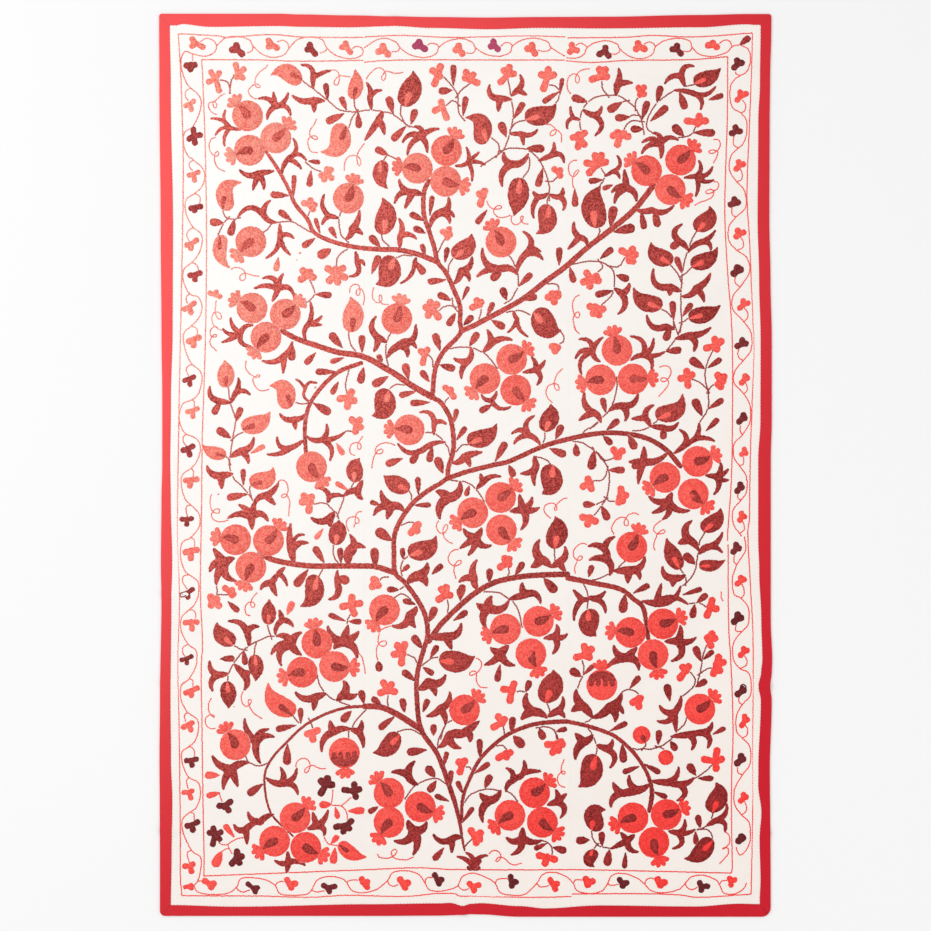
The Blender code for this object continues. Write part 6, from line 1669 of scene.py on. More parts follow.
@dataclass
class Binding:
    """One folded binding strip, mitred at both ends."""

    name: str
    cloth: Cloth
    edge: Edge
    thick: float = 1.0 * MM
    gap: float = 0.3 * MM
    puff: float = 0.9 * MM
    step: float = 9 * MM
    fan_length: float = 90 * MM
    back_short: float = 1.0 * MM
    lip: float = 1.4 * MM
    lip_drop: float = 0.3 * MM
    mitre_back: float = 0.25 * MM
    mitre_angles: tuple = (15, 30, 45)
    fold_angles: tuple = (240, 210, 180, 150, 120)
    puff_shares: tuple = (0.3, 0.45, 0.6, 0.75, 0.88)
    slack_range: tuple = (0.2, 1.4)
    slack_span: int = 5

    def ends(self) -> tuple[Edge, Edge]:
        """The two edges that this one runs between, the one at its low end first."""
        pair = (Side.BOTTOM, Side.TOP) if self.edge.across_x else (Side.LEFT, Side.RIGHT)
        return self.cloth.edges[pair[0]], self.cloth.edges[pair[1]]

    def corner(self, end: Edge) -> tuple[int, float, float, float]:
        """The end's sign, its corner's place, radius, and inner corner's place.

        Args:
            end: the edge that this one meets there.

        Returns:
            The sign, the outer place, the radius and the inner place.
        """
        drawn, wide = end.sizes(self.edge.sign * self.edge.reach)
        pair = (self.edge.sign, end.sign) if self.edge.across_x else (end.sign, self.edge.sign)
        place = end.reach - drawn
        return end.sign, place, CORNER_RADII[pair], place - wide

    def lines(self) -> list[list]:
        """The strip's cross-lines, each [place, (along, outer end), (along, inner end)].

        Returns:
            The lines in order along the strip.
        """
        low, high = (self.corner(end) for end in self.ends())
        start, finish = -low[1] + low[2], high[1] - high[2]
        lines = []
        even = np.linspace(start, finish, round((finish - start) / self.step))
        for place in np.union1d(even, self.edge.crease_places()):
            drawn, wide = self.edge.sizes(place)
            outer = self.edge.reach - drawn
            lines.append([place, (place, outer), (place, outer - wide)])
        for end in self.ends():
            sign, place, radius, inner = self.corner(end)
            drawn, wide = self.edge.sizes(sign * place)
            outer = self.edge.reach - drawn
            for degrees in self.mitre_angles:
                angle = math.radians(degrees)
                along = place - radius + radius * math.sin(angle)
                rounded = outer - radius + radius * math.cos(angle)
                lines.append([sign * along, (sign * along, rounded), (sign * along, outer - wide)])
            last = place - radius + radius * math.sin(math.radians(self.mitre_angles[-1]))
            shift = last - inner
            for line in lines:
                away = (sign * line[0] - (last - self.fan_length)) / self.fan_length
                if away > 0:
                    line[2] = (line[2][0] - sign * shift * away**2, line[2][1])
            lines.sort(key=lambda line: line[0])
            mitre = lines[-1] if sign > 0 else lines[0]
            for k in (1, 2):
                mitre[k] = (mitre[k][0] - sign * self.mitre_back, mitre[k][1])
        return lines

    def section(self, width: float, sag: float) -> list[tuple[float, float]]:
        """The folded strip's middle as (depth from the outer edge, height).

        Args:
            width: the strip's width.
            sag: how much of the full puff it has.

        Returns:
            The places from the back's inner edge, round the fold, to the face's.
        """
        step = self.cloth.ground_thick + 2 * self.gap + self.thick
        radius = step / 2
        centre = radius + self.thick / 2
        low = self.thick / 2
        high = low + step
        middle = low + radius
        section = [(width - self.back_short, low), (width / 2, low), (centre, low)]
        for degrees in self.fold_angles:
            angle = math.radians(degrees)
            depth = centre + radius * math.cos(angle)
            section.append((depth, middle + radius * math.sin(angle)))
        section.append((centre, high))
        for share in self.puff_shares:
            puff = self.puff * math.sin(math.pi * share) * sag
            section.append((share * width, high + puff))
        section.append((width - self.lip, high - self.lip_drop / 2))
        section.append((width, high - self.lip_drop))
        return section

    def build(self) -> bpy.types.Object:
        """Builds the strip as a closed sheet of even thickness.

        Returns:
            The new object.
        """
        rng = np.random.default_rng(SEED + len(self.name))
        rows = []
        lines = self.lines()
        slack = rng.uniform(*self.slack_range, len(lines) + self.slack_span - 1)
        sags = np.convolve(slack, np.ones(self.slack_span) / self.slack_span, "valid")
        for line, sag in zip(lines, sags):
            place, outer, inner = line
            width = math.dist(outer, inner)
            lift = float(self.edge.lift(np.array(place), np.array(0.0)))
            row = []
            for depth, height in self.section(width, sag):
                share = depth / width
                along = outer[0] + share * (inner[0] - outer[0])
                outward = outer[1] + share * (inner[1] - outer[1])
                row.append((*self.edge.plan(along, outward), height + lift))
            rows.append(row)
        middle = np.array(rows)
        top = np.array([0, 0, self.thick / 2])
        self.rim, self.inside = middle[:, -1] + top, middle[:, -2] + top
        return self.thicken(middle)

    def thicken(self, middle: np.ndarray) -> bpy.types.Object:
        """A closed sheet whose middle passes through a grid of points.

        Args:
            middle: rows and columns of (x, y, z).

        Returns:
            The new object.
        """
        along = np.gradient(middle, axis=0)
        across = np.gradient(middle, axis=1)
        normal = np.cross(along, across)
        normal /= np.linalg.norm(normal, axis=2, keepdims=True)
        if normal[len(normal) // 2, -3, 2] < 0:
            normal = -normal
        low, high = middle - normal * self.thick / 2, middle + normal * self.thick / 2
        strip = sheet_object(self.name, middle[..., :2], middle[..., 2], middle[..., 2])
        points = np.vstack([low.reshape(-1, 3), high.reshape(-1, 3)])
        strip.data.vertices.foreach_set("co", points.astype(np.float32).ravel())
        if np.cross(along, across)[len(normal) // 2, -3, 2] < 0:
            strip.data.flip_normals()
        strip.data.update()
        return strip


class Thread(Enum):
    """The thread colours."""

    CORAL = "coral"
    DARK = "dark"
    MAROON = "maroon"
    STEM = "stem"
    PINK = "pink"
    CREAM = "cream"
    RED = "red"


class Layer(Enum):
    """What a row of stitches stops at: a motif of a higher layer."""

    LINE = 0
    BRANCH = 1
    LEAF = 2
    BODY = 3
    FRUIT = 4
    PATCH = 5


@dataclass
class Stroke:
    """A line of a motif that is broad: its points and its half-width at each of them."""

    points: np.ndarray
    half: np.ndarray


@dataclass
class Motif:
    """A filled shape of rows of chain stitch, or a line of one row."""

    thread: Thread
    layer: Layer
    strokes: list
    filled: bool = True

    def __post_init__(self) -> None:
        """Finds the box that holds the motif."""
        self.points = np.vstack([stroke.points for stroke in self.strokes])
        self.half = np.concatenate([stroke.half for stroke in self.strokes])
        self.low = (self.points - self.half[:, None]).min(0)
        self.high = (self.points + self.half[:, None]).max(0)

    def raster(self) -> None:
        """Works out how far outside the motif each place on its own grid is."""
        self.low_corner = self.low - FIELD_MARGIN
        size = self.high + FIELD_MARGIN - self.low_corner
        counts = np.ceil(size / FIELD_CELL).astype(int) + 1
        self.xs = self.low_corner[0] + FIELD_CELL * np.arange(counts[0])
        self.ys = self.low_corner[1] + FIELD_CELL * np.arange(counts[1])
        self.field = np.full((counts[1], counts[0]), FIELD_FAR, np.float32)
        for (x, y), half in zip(self.points, self.half):
            reach = half + FIELD_MARGIN
            corner = np.array([x, y]) - self.low_corner
            first = np.maximum(0, np.floor((corner - reach) / FIELD_CELL).astype(int))
            last = np.ceil((corner + reach) / FIELD_CELL).astype(int) + 1
            columns, rows = slice(first[0], last[0]), slice(first[1], last[1])
            gap = np.hypot(self.xs[None, columns] - x, self.ys[rows, None] - y) - half
            part = self.field[rows, columns]
            np.minimum(part, gap, out=part, casting="same_kind")
        if self.filled:
            x, y = self.xs[None, :], self.ys[:, None]
            a, b, c, d = WOBBLE_WAVES
            bend = np.sin(x * a + 2 * np.sin(y * b)) + np.sin(y * c + 2 * np.sin(x * d))
            self.field += (WOBBLE * bend).astype(np.float32)

    def depth(self, places: np.ndarray) -> np.ndarray:
        """How far outside the motif each place is; inside it is negative.

        Args:
            places: rows of (x, y).

        Returns:
            The distances.
        """
        spot = np.rint((places - self.low_corner) / FIELD_CELL).astype(int)
        columns = np.clip(spot[:, 0], 0, len(self.xs) - 1)
        rows = np.clip(spot[:, 1], 0, len(self.ys) - 1)
        return self.field[rows, columns]

    def meets(self, other: "Motif") -> bool:
        """Whether the two motifs' boxes overlap."""
        return bool(np.all(self.low < other.high) and np.all(other.low < self.high))


def smooth_curve(points: list, spacing: float = SAMPLE_STEP) -> np.ndarray:
    """A smooth curve through points, in centimetres, sampled evenly.

    Args:
        points: x and y in turn.
        spacing: the distance between samples.

    Returns:
        Rows of (x, y).
    """
    knots = np.array(points, float).reshape(-1, 2)
    if len(knots) < 3:
        return even_samples(knots, spacing)
    padded = np.vstack([2 * knots[0] - knots[1], knots, 2 * knots[-1] - knots[-2]])
    share = np.linspace(0, 1, KNOT_SAMPLES, endpoint=False)[:, None]
    parts = []
    for p, q, r, s in zip(padded, padded[1:], padded[2:], padded[3:]):
        cubic = (-p + 3 * q - 3 * r + s) * share**3
        square = (2 * p - 5 * q + 4 * r - s) * share**2
        parts.append((2 * q + (r - p) * share + square + cubic) / 2)
    return even_samples(np.vstack([*parts, knots[-1:]]), spacing)


def even_samples(points: np.ndarray, spacing: float) -> np.ndarray:
    """A polyline's points, spaced evenly.

    Args:
        points: rows of (x, y).
        spacing: the distance between samples.

    Returns:
        Rows of (x, y), with the first and last as they were.
    """
    gaps = np.hypot(*np.diff(points, axis=0).T)
    along = np.concatenate([[0], np.cumsum(gaps)])
    count = max(2, round(along[-1] / spacing) + 1)
    at = np.linspace(0, along[-1], count)
    return np.stack([np.interp(at, along, points[:, 0]), np.interp(at, along, points[:, 1])], 1)


def bowed(start: np.ndarray, end: np.ndarray, bulge: float) -> np.ndarray:
    """A curve from start to end whose middle lies bulge to the left, in centimetres.

    Args:
        start: its first place.
        end: its last place.
        bulge: how far it bows.

    Returns:
        Rows of (x, y).
    """
    way = end - start
    left = np.array([-way[1], way[0]]) / max(TINY, float(np.hypot(*way)))
    control = (start + end) / 2 + 2 * bulge * left
    share = np.linspace(0, 1, BOW_SAMPLES)[:, None]
    curve = (1 - share) ** 2 * start + 2 * share * (1 - share) * control + share**2 * end
    return even_samples(curve, SAMPLE_STEP)


def contours(motif: Motif, field: np.ndarray, level: float) -> Iterator[np.ndarray]:
    """The closed lines inside a motif at one depth from its rim.

    Args:
        motif: the shape, whose grid the field lies on.
        field: how far outside the shape each grid place is.
        level: the depth, in metres.

    Yields:
        Arrays of points, the first repeated at the end.
    """
    field = field + level
    inside = field < 0
    if not inside.any():
        return
    wide = field.shape[1]
    case = inside[:-1, :-1] * 1 + inside[:-1, 1:] * 2 + inside[1:, 1:] * 4 + inside[1:, :-1] * 8
    rows, columns = np.nonzero((case > 0) & (case < 15))
    ways = {}
    kinds = case[rows, columns].tolist()
    for base, kind in zip((rows * wide + columns).tolist(), kinds):
        sides = (2 * base, 2 * (base + 1) + 1, 2 * (base + wide), 2 * base + 1)
        for start, end in CELL_CASES[kind]:
            ways[sides[start]] = sides[end]
    flat = field.ravel()
    while ways:
        key, after = ways.popitem()
        loop = [key]
        while after in ways:
            loop.append(after)
            after = ways.pop(after)
        if len(loop) > 4:
            base, upright = np.divmod(np.array(loop + loop[:1]), 2)
            other = base + np.where(upright, wide, 1)
            share = flat[base] / (flat[base] - flat[other])
            row, column = np.divmod(base, wide)
            x = motif.xs[column] + np.where(upright, 0, share) * FIELD_CELL
            y = motif.ys[row] + np.where(upright, share, 0) * FIELD_CELL
            yield np.stack([x, y], 1)


@dataclass
class StitchMesh:
    """Rows of chain stitch in one thread on one loom width, built as closed tubes."""

    name: str
    cloth: Cloth
    link_waist: float = 0.72
    link_dip: float = 0.55
    link_widths: tuple = (0.9, 1.08)
    link_lean: float = 0.12
    link_stray: float = 0.07
    link_tone: float = 0.34
    stitch_sunk: float = 0.15 * MM

    def __post_init__(self) -> None:
        """Starts an empty mesh."""
        self.points = []
        self.faces = []
        self.tones = []
        self.count = 0

    def add(
        self,
        line: np.ndarray,
        wide: float,
        tone: float,
        rng: np.random.Generator,
        face: np.ndarray | None = None,
        height: float = STITCH_HEIGHT,
    ) -> None:
        """Adds one row.

        Args:
            line: the row's middle, an array of (x, y), two to a link.
            wide: the row's width.
            tone: how dark the row is, from 0 to 1.
            rng: the source of the links' unevenness.
            face: the height that each place of it lies on, or None on the ground's face.
            height: how far the row stands above that.
        """
        count = len(line)
        way = np.gradient(line, axis=0)
        way /= np.maximum(TINY, np.hypot(*way.T))[:, None]
        left = np.stack([-way[:, 1], way[:, 0]], 1)
        full = np.where(np.arange(count) % 2, 1.0, self.link_waist)
        full = full * rng.uniform(*self.link_widths, count)
        half = (wide / 2 * full)[:, None]
        if face is None:
            face = self.cloth.face(line[:, 0], line[:, 1])
        ridge = height * np.where(np.arange(count) % 2, 1.0, self.link_dip)
        lean = left * (rng.uniform(-self.link_lean, self.link_lean, count)[:, None] * wide)
        line = line + left * (rng.normal(0, self.link_stray, count)[:, None] * wide)
        sides = [line + left * half, line + lean, line - left * half]
        heights = [face - self.stitch_sunk, face + ridge, face - self.stitch_sunk]
        block = np.stack([np.column_stack([s, h]) for s, h in zip(sides, heights)], 1)
        self.points.append(block.reshape(-1, 3))
        tones = np.repeat(tone + rng.normal(0, self.link_tone, (count + 1) // 2), 2)[:count]
        self.tones.append(np.repeat(np.clip(tones, 0, 1), 3))
        base = self.count + 3 * np.arange(count - 1)[:, None]
        for a, b in ((0, 1), (1, 2), (2, 0)):
            self.faces.append(np.hstack([base + a, base + b, base + b + 3]))
            self.faces.append(np.hstack([base + a, base + b + 3, base + a + 3]))
        last = self.count + 3 * (count - 1)
        self.faces.append(np.array([[self.count, self.count + 2, self.count + 1]]))
        self.faces.append(np.array([[last, last + 1, last + 2]]))
        self.count += 3 * count

    def pad(self, line: np.ndarray, faces: np.ndarray, tone: float, height: float) -> None:
        """Adds a thin closed plate of flat triangles, which turn left seen from above.

        Args:
            line: rows of (x, y).
            faces: the triangles' corners, by row of line.
            tone: how dark the plate is, from 0 to 1.
            height: how far it stands above the ground's face.
        """
        if not len(faces):
            return
        used, faces = np.unique(faces, return_inverse=True)
        line, faces, count = line[used], faces.reshape(-1, 3), len(used)
        face = self.cloth.face(line[:, 0], line[:, 1])
        top = np.column_stack([line, face + height])
        low = np.column_stack([line, face - self.stitch_sunk])
        sides = np.vstack([faces[:, [0, 1]], faces[:, [1, 2]], faces[:, [2, 0]]])
        shared = np.isin(sides[:, 0] * count + sides[:, 1], sides[:, 1] * count + sides[:, 0])
        start, end = sides[~shared].T
        self.points += [top, low]
        self.tones.append(np.full(2 * count, float(np.clip(tone, 0, 1))))
        self.faces += [self.count + faces, self.count + count + faces[:, ::-1]]
        self.faces.append(self.count + np.stack([end, start, start + count], 1))
        self.faces.append(self.count + np.stack([end, start + count, end + count], 1))
        self.count += 2 * count

    def build(self) -> bpy.types.Object | None:
        """Makes the object, or returns None if there are no rows.

        Returns:
            The new object, or None.
        """
        if not self.points:
            return None
        thing = mesh_object(self.name, np.vstack(self.points), np.vstack(self.faces))
        tone = thing.data.attributes.new("tone", "FLOAT", "POINT")
        tone.data.foreach_set("value", np.concatenate(self.tones).astype(np.float32))
        return thing


@dataclass
class Embroidery:
    """All the motifs, and the stitched rows that fill them."""

    cloth: Cloth
    row_pitch: float = 3.95 * MM
    row_full: float = 1.04
    most_rows: int = 60
    link_length: float = 6.4 * MM
    row_tone: float = 0.12
    motif_tone: float = 0.12
    cover_gap: float = 0.4 * MM
    underlay_in: float = 0.4 * MM
    underlay_step: float = 3.3 * MM
    underlay_height: float = 0.25 * MM
    patch_rise: float = 1.5
    merge_near: float = 1e-7

    def __post_init__(self) -> None:
        """Starts with no motifs."""
        self.motifs = []
        self.rng = np.random.default_rng(SEED)
        self.meshes = {}
        self.length = 0.0

    def add(self, motif: Motif) -> None:
        """Adds a motif."""
        motif.raster()
        self.motifs.append(motif)

    def width_name(self, motif: Motif) -> str:
        """The loom width that a motif's middle lies on.

        Args:
            motif: the motif.

        Returns:
            left, centre or right.
        """
        x = (motif.low[0] + motif.high[0]) / 2
        if x < LEFT_SEAM[0]:
            return "left"
        return "right" if x > RIGHT_SEAM[1] else "centre"

    def stitch(self) -> None:
        """Turns every motif into rows of stitches."""
        for motif in self.motifs:
            over = [m for m in self.motifs if m.layer.value > motif.layer.value and m.filled]
            over = [m for m in over if motif.meets(m)]
            tone = float(np.clip(self.rng.normal(0.5, self.motif_tone), 0, 1))
            if motif.filled:
                self.underlay(motif, over, tone)
            for line, wide in self.rows(motif):
                for part in self.uncovered(self.links(line), over):
                    row_tone = tone + self.rng.normal(0, self.row_tone)
                    self.mesh(motif).add(part, wide, row_tone, self.rng)
                    self.length += float(np.hypot(*np.diff(part, axis=0).T).sum())

    def underlay(self, motif: Motif, over: list, tone: float) -> None:
        """Adds the thin padding that shows between a motif's rows.

        Args:
            motif: the motif, which is filled.
            over: the motifs that cover it.
            tone: how dark its thread is, from 0 to 1.
        """
        field = motif.field.copy()
        places = np.stack(np.meshgrid(motif.xs, motif.ys), 2).reshape(-1, 2)
        if motif.layer in (Layer.BODY, Layer.FRUIT):
            over = [other for other in over if other.layer is not Layer.PATCH]
        for other in over:
            near = np.all((places > other.low) & (places < other.high), axis=1)
            rows, columns = np.divmod(np.flatnonzero(near), len(motif.xs))
            covered = -self.underlay_in - other.depth(places[near])
            field[rows, columns] = np.maximum(field[rows, columns], covered)
        rims = contours(motif, field, self.underlay_in)
        loops = [even_samples(rim, self.underlay_step)[:-1] for rim in rims]
        loops = [loop for loop in loops if len(loop) > 3]
        if not loops:
            return
        ends = np.cumsum([0] + [len(loop) for loop in loops])
        edges = [
            (k, k + 1 if k + 1 < end else start)
            for start, end in zip(ends[:-1].tolist(), ends[1:].tolist())
            for k in range(start, end)
        ]
        corners = [Vector(place) for place in np.vstack(loops).tolist()]
        corners, _, faces, _, _, _ = delaunay_2d_cdt(corners, edges, [], 0, self.merge_near)
        line, faces = np.array(corners), np.array(faces)
        middle = (line[faces].mean(axis=1) - motif.low_corner) / FIELD_CELL
        column, row = np.floor(middle).astype(int).T
        right, up = (middle - np.floor(middle)).T
        depth = (field[row, column] * (1 - right) + field[row, column + 1] * right) * (1 - up)
        depth += (field[row + 1, column] * (1 - right) + field[row + 1, column + 1] * right) * up
        height = self.underlay_height * (self.patch_rise if motif.layer is Layer.PATCH else 1)
        self.mesh(motif).pad(line, faces[depth < -self.underlay_in], tone, height)

    def mesh(self, motif: Motif) -> StitchMesh:
        """The mesh that takes a motif's rows.

        Args:
            motif: the motif.

        Returns:
            The mesh of its thread on its loom width.
        """
        name = f"{motif.thread.value}_stitches_{self.width_name(motif)}"
        if name not in self.meshes:
            self.meshes[name] = StitchMesh(name, self.cloth)
        return self.meshes[name]

    def rows(self, motif: Motif) -> Iterator[tuple[np.ndarray, float]]:
        """The middles of a motif's rows, each with the row's width.

        Args:
            motif: the motif.

        Yields:
            Rows of (x, y), and a width.
        """
        if not motif.filled:
            for stroke in motif.strokes:
                yield stroke.points, float(2 * stroke.half.mean())
            return
        for k in range(self.most_rows):
            level = (k + 0.5) * self.row_pitch
            found = False
            for line in contours(motif, motif.field, level):
                found = True
                yield line, self.row_pitch * self.row_full
            if not found:
                break

    def links(self, line: np.ndarray) -> np.ndarray:
        """A row's middle with two points to a link.

        Args:
            line: the row's middle.

        Returns:
            Rows of (x, y).
        """
        gaps = np.hypot(*np.diff(line, axis=0).T)
        along = np.concatenate([[0], np.cumsum(gaps)])
        count = max(1, round(along[-1] / self.link_length))
        at = np.linspace(0, along[-1], 2 * count + 1)
        return np.stack([np.interp(at, along, line[:, 0]), np.interp(at, along, line[:, 1])], 1)

    def uncovered(self, line: np.ndarray, over: list) -> Iterator[np.ndarray]:
        """The parts of a row that no higher motif covers, each run half a step under it.

        Args:
            line: the row's middle.
            over: the motifs of higher layers that it may meet.

        Yields:
            Rows of (x, y).
        """
        clear = np.ones(len(line), bool)
        for other in over:
            near = np.all((line > other.low) & (line < other.high), axis=1) & clear
            if near.any():
                clear[near] = other.depth(line[near]) > self.cover_gap
        edges = np.flatnonzero(np.diff(np.concatenate([[0], clear.astype(int), [0]])))
        for start, end in zip(edges[::2], edges[1::2]):
            if end - start < 3:
                continue
            part = [line[start:end]]
            if start:
                part.insert(0, line[start - 1 : start + 1].mean(axis=0, keepdims=True))
            if end < len(line):
                part.append(line[end - 1 : end + 1].mean(axis=0, keepdims=True))
            yield np.vstack(part)


@dataclass
class Sewing:
    """The short stitches that join the widths and hold the binding down."""

    cloth: Cloth
    wide: float = 1.1 * MM
    stray: float = 0.1
    seam_end: float = 26 * MM
    seam_step: float = 6 * MM
    seam_reach: float = 1.8 * MM
    seam_reaches: tuple = (0.8, 1.2)
    seam_slant: float = 1.6 * MM
    seam_height: float = 0.3 * MM
    seam_tones: tuple = (0.5, 1)
    binding_step: float = 8 * MM
    binding_out: float = 1.3 * MM
    binding_height: float = 0.4 * MM
    binding_tones: tuple = (0.3, 0.9)

    def __post_init__(self) -> None:
        """Starts the random unevenness of the hand sewing."""
        self.rng = np.random.default_rng(SEED + 1)

    def seam(self, name: str, seam: tuple) -> bpy.types.Object:
        """Slanted stitches across one seam.

        Args:
            name: the object's name.
            seam: the seam's x at the cloth's two ends.

        Returns:
            The new object.
        """
        mesh = StitchMesh(name, self.cloth)
        for y in np.arange(-LENGTH / 2 + self.seam_end, LENGTH / 2 - self.seam_end, self.seam_step):
            x = self.cloth.seam_x(seam, y)
            left, right = self.seam_reach * self.rng.uniform(*self.seam_reaches, 2)
            middle, end = y + self.seam_slant / 2, y + self.seam_slant
            line = np.array([[x - left, y], [x, middle], [x + right, end]])
            tone = self.rng.uniform(*self.seam_tones)
            mesh.add(line, self.wide, tone, self.rng, None, self.seam_height)
        return mesh.build()

    def binding(self, name: str, rim: np.ndarray, inside: np.ndarray) -> bpy.types.Object:
        """Stitches over one strip's inner edge.

        Args:
            name: the object's name.
            rim: (x, y, z) along the strip's inner edge.
            inside: (x, y, z) along a line on the strip beside that edge.

        Returns:
            The new object.
        """
        mesh = StitchMesh(name, self.cloth)
        along = np.concatenate([[0], np.cumsum(np.hypot(*np.diff(rim[:, :2], axis=0).T))])
        for at in np.arange(along[0] + self.binding_step, along[-1], self.binding_step):
            at += self.rng.uniform(-self.stray, self.stray) * self.binding_step
            edge = np.array([np.interp(at, along, places) for places in rim.T])
            back = np.array([np.interp(at, along, places) for places in inside.T])
            way = (edge - back)[:2]
            way /= float(np.hypot(*way))
            ground = edge[:2] + way * self.binding_out
            start = back[:2] - way * self.binding_out
            line = np.array([start, edge[:2], ground])
            low = float(self.cloth.face(ground[:1], ground[1:])[0])
            face = np.array([back[2], edge[2], low])
            tone = self.rng.uniform(*self.binding_tones)
            mesh.add(line, self.wide, tone, self.rng, face, self.binding_height)
        return mesh.build()


FLOWER_THREADS = {"W": Thread.CORAL, "V": Thread.MAROON, "J": Thread.PINK}


def beyond(curve: np.ndarray) -> np.ndarray:
    """A place a little past the end of a stem, so that the stem runs under what it meets."""
    way = curve[-1] - curve[-3]
    return curve[-1] + way * STEM_MORE / float(np.hypot(*way))


@dataclass
class Planting:
    """Draws each kind of motif from its readings, in centimetres, and adds it."""

    work: Embroidery
    tip_half: float = 0.2
    arm_tip_half: float = 0.3
    tendril_wide: float = 0.44
    stem_wide: float = 0.54
    drop_full: float = 0.9
    drop_swell: float = 1.2
    leaf_shares: tuple = (0.0, 0.12, 0.3, 0.5, 0.7, 0.85, 1.0)
    leaf_halves: tuple = (0.84, 0.97, 1.0, 0.8, 0.45, 0.2, 0.0)
    leaf_start: float = 0.42
    leaf_drop_long: float = 0.42
    leaf_drop_wide: float = 0.3
    leaf_drop_aim: float = 0.3
    lobe_more: float = 0.3
    lobe_share: float = 1.05
    lobe_most: float = 0.95
    lobe_least: float = 0.1
    lobe_neck: float = 0.78
    lobe_swell: float = 0.22
    fruit_radius: float = 3.8
    crown_sunk: float = 0.2
    crown_reach: float = 2.5
    crown_half: float = 0.62
    crown_angles: tuple = (-0.95, -0.32, 0.32, 0.95)
    seeds_wide: float = 2.15
    seeds_outer: float = 0.92
    seeds_inner: float = 0.25
    seeds_bow: float = 0.25
    split_out: float = 1.0
    split_rise: float = 1.5
    split_side: float = 2.5
    split_angles: tuple = (-1.4, -0.9, -0.3, 0.3, 0.9, 1.4)
    split_half: float = 0.9
    split_lobes: tuple = (-2.3, -0.8, 0.8, 2.3)
    split_lobe_ends: tuple = (2.2, 0.2)
    split_lobe_spread: float = 1.1
    split_lobe_half: float = 0.62

    def put(self, thread: Thread, layer: Layer, lines: list, filled: bool = True) -> None:
        """Adds a motif of lines, each (points, half-widths) in centimetres.

        Args:
            thread: its thread.
            layer: its layer.
            lines: the broad lines that make it up.
            filled: whether it is filled with rows, or is itself one row.
        """
        strokes = [
            Stroke((points + READ_SHIFT) * CM, np.broadcast_to(half, len(points)) * CM)
            for points, half in lines
        ]
        self.work.add(Motif(thread, layer, strokes, filled))

    def line(self, thread: Thread, points: list, wide: float) -> None:
        """A line of one row, such as a stem or a tendril.

        Args:
            thread: its thread.
            points: x and y in turn.
            wide: its width.
        """
        curve = smooth_curve(points)
        if thread is Thread.STEM:
            curve = np.vstack([beyond(curve[::-1]), curve, beyond(curve)])
        self.put(thread, Layer.LINE, [(curve, wide / 2)], filled=False)

    def branch(self, thread: Thread, points: list, first: float, last: float) -> None:
        """A branch that narrows from its first width to its last.

        Args:
            thread: its thread.
            points: x and y in turn.
            first: its width at the first point.
            last: its width at the last.
        """
        curve = smooth_curve(points)
        half = np.linspace(first / 2, last / 2, len(curve))
        self.put(thread, Layer.BRANCH, [(curve, half)])

    def drop(
        self, thread: Thread, layer: Layer, base: list, end: list, wide: float, bulge: float = 0
    ) -> None:
        """A drop-shaped leaf, pointed at its base and round at its end.

        Args:
            thread: its thread.
            layer: its layer.
            base: the place of its point.
            end: the place of its round end.
            wide: its greatest width.
            bulge: how far it bows to the left.
        """
        base, end = np.array(base, float), np.array(end, float)
        way = (end - base) / float(np.hypot(*(end - base)))
        curve = bowed(base + way * self.tip_half, end - way * wide / 2, bulge)
        share = np.linspace(0, 1, len(curve))
        swell = np.sin(np.pi / 2 * np.minimum(1, share / self.drop_full)) ** self.drop_swell
        half = self.tip_half + (wide / 2 - self.tip_half) * swell
        self.put(thread, layer, [(curve, half)])

    def leaf(self, thread: Thread, base: list, tip: list, wide: float, bulge: float) -> None:
        """An almond-shaped leaf with a drop of the other colour at its base.

        Args:
            thread: its thread.
            base: the place of its round base.
            tip: the place of its tip.
            wide: its greatest width.
            bulge: how far it bows to the left.
        """
        base, tip = np.array(base, float), np.array(tip, float)
        way = (tip - base) / float(np.hypot(*(tip - base)))
        curve = bowed(base + way * wide * self.leaf_start, tip - way * self.tip_half, bulge)
        share = np.linspace(0, 1, len(curve))
        profile = np.interp(share, self.leaf_shares, self.leaf_halves)
        half = self.tip_half + (wide / 2 - self.tip_half) * profile
        self.put(thread, Layer.BODY, [(curve, half)])
        other = Thread.CORAL if thread is Thread.DARK else Thread.DARK
        reach = self.leaf_drop_long * float(np.hypot(*(tip - base)))
        middle = curve[int(self.leaf_drop_aim * len(curve))]
        inward = (middle - base) / float(np.hypot(*(middle - base)))
        self.drop(other, Layer.PATCH, base, base + inward * reach, wide * self.leaf_drop_wide)

    def antler(self, centre: list, half: float, arms: list) -> None:
        """A leaf of several pointed arms, each (x, y, bow) with the bow a share of its length.

        Args:
            centre: where its arms meet.
            half: their half-width there.
            arms: the arms.
        """
        centre = np.array(centre, float)
        lines = []
        for x, y, bow in arms:
            tip = np.array([x, y])
            length = float(np.hypot(*(tip - centre)))
            curve = bowed(centre, tip, bow * length)
            share = np.linspace(0, 1, len(curve))
            lines.append((curve, self.arm_tip_half + (half - self.arm_tip_half) * (1 - share**2)))
        self.put(Thread.DARK, Layer.LEAF, lines)

    def flower(self, thread: Thread, centre: list, half: float, lobes: list) -> None:
        """A flower of round lobes, each the (x, y) of its outer end.

        Args:
            thread: its thread.
            centre: where its lobes meet.
            half: the half-width there.
            lobes: the lobes' outer ends.
        """
        centre = np.array(centre, float)
        round_end = min(half * self.lobe_share, self.lobe_most)
        lines = [(centre[None, :], np.array([half]))]
        for lobe in lobes:
            way = np.array(lobe, float) - centre
            length = float(np.hypot(*way))
            end = centre + way * max(self.lobe_least, length + self.lobe_more - round_end) / length
            curve = even_samples(np.array([centre, end]), SAMPLE_STEP)
            share = np.linspace(0, 1, len(curve))
            lines.append((curve, round_end * (self.lobe_neck + self.lobe_swell * share)))
        self.put(thread, Layer.LEAF, lines)

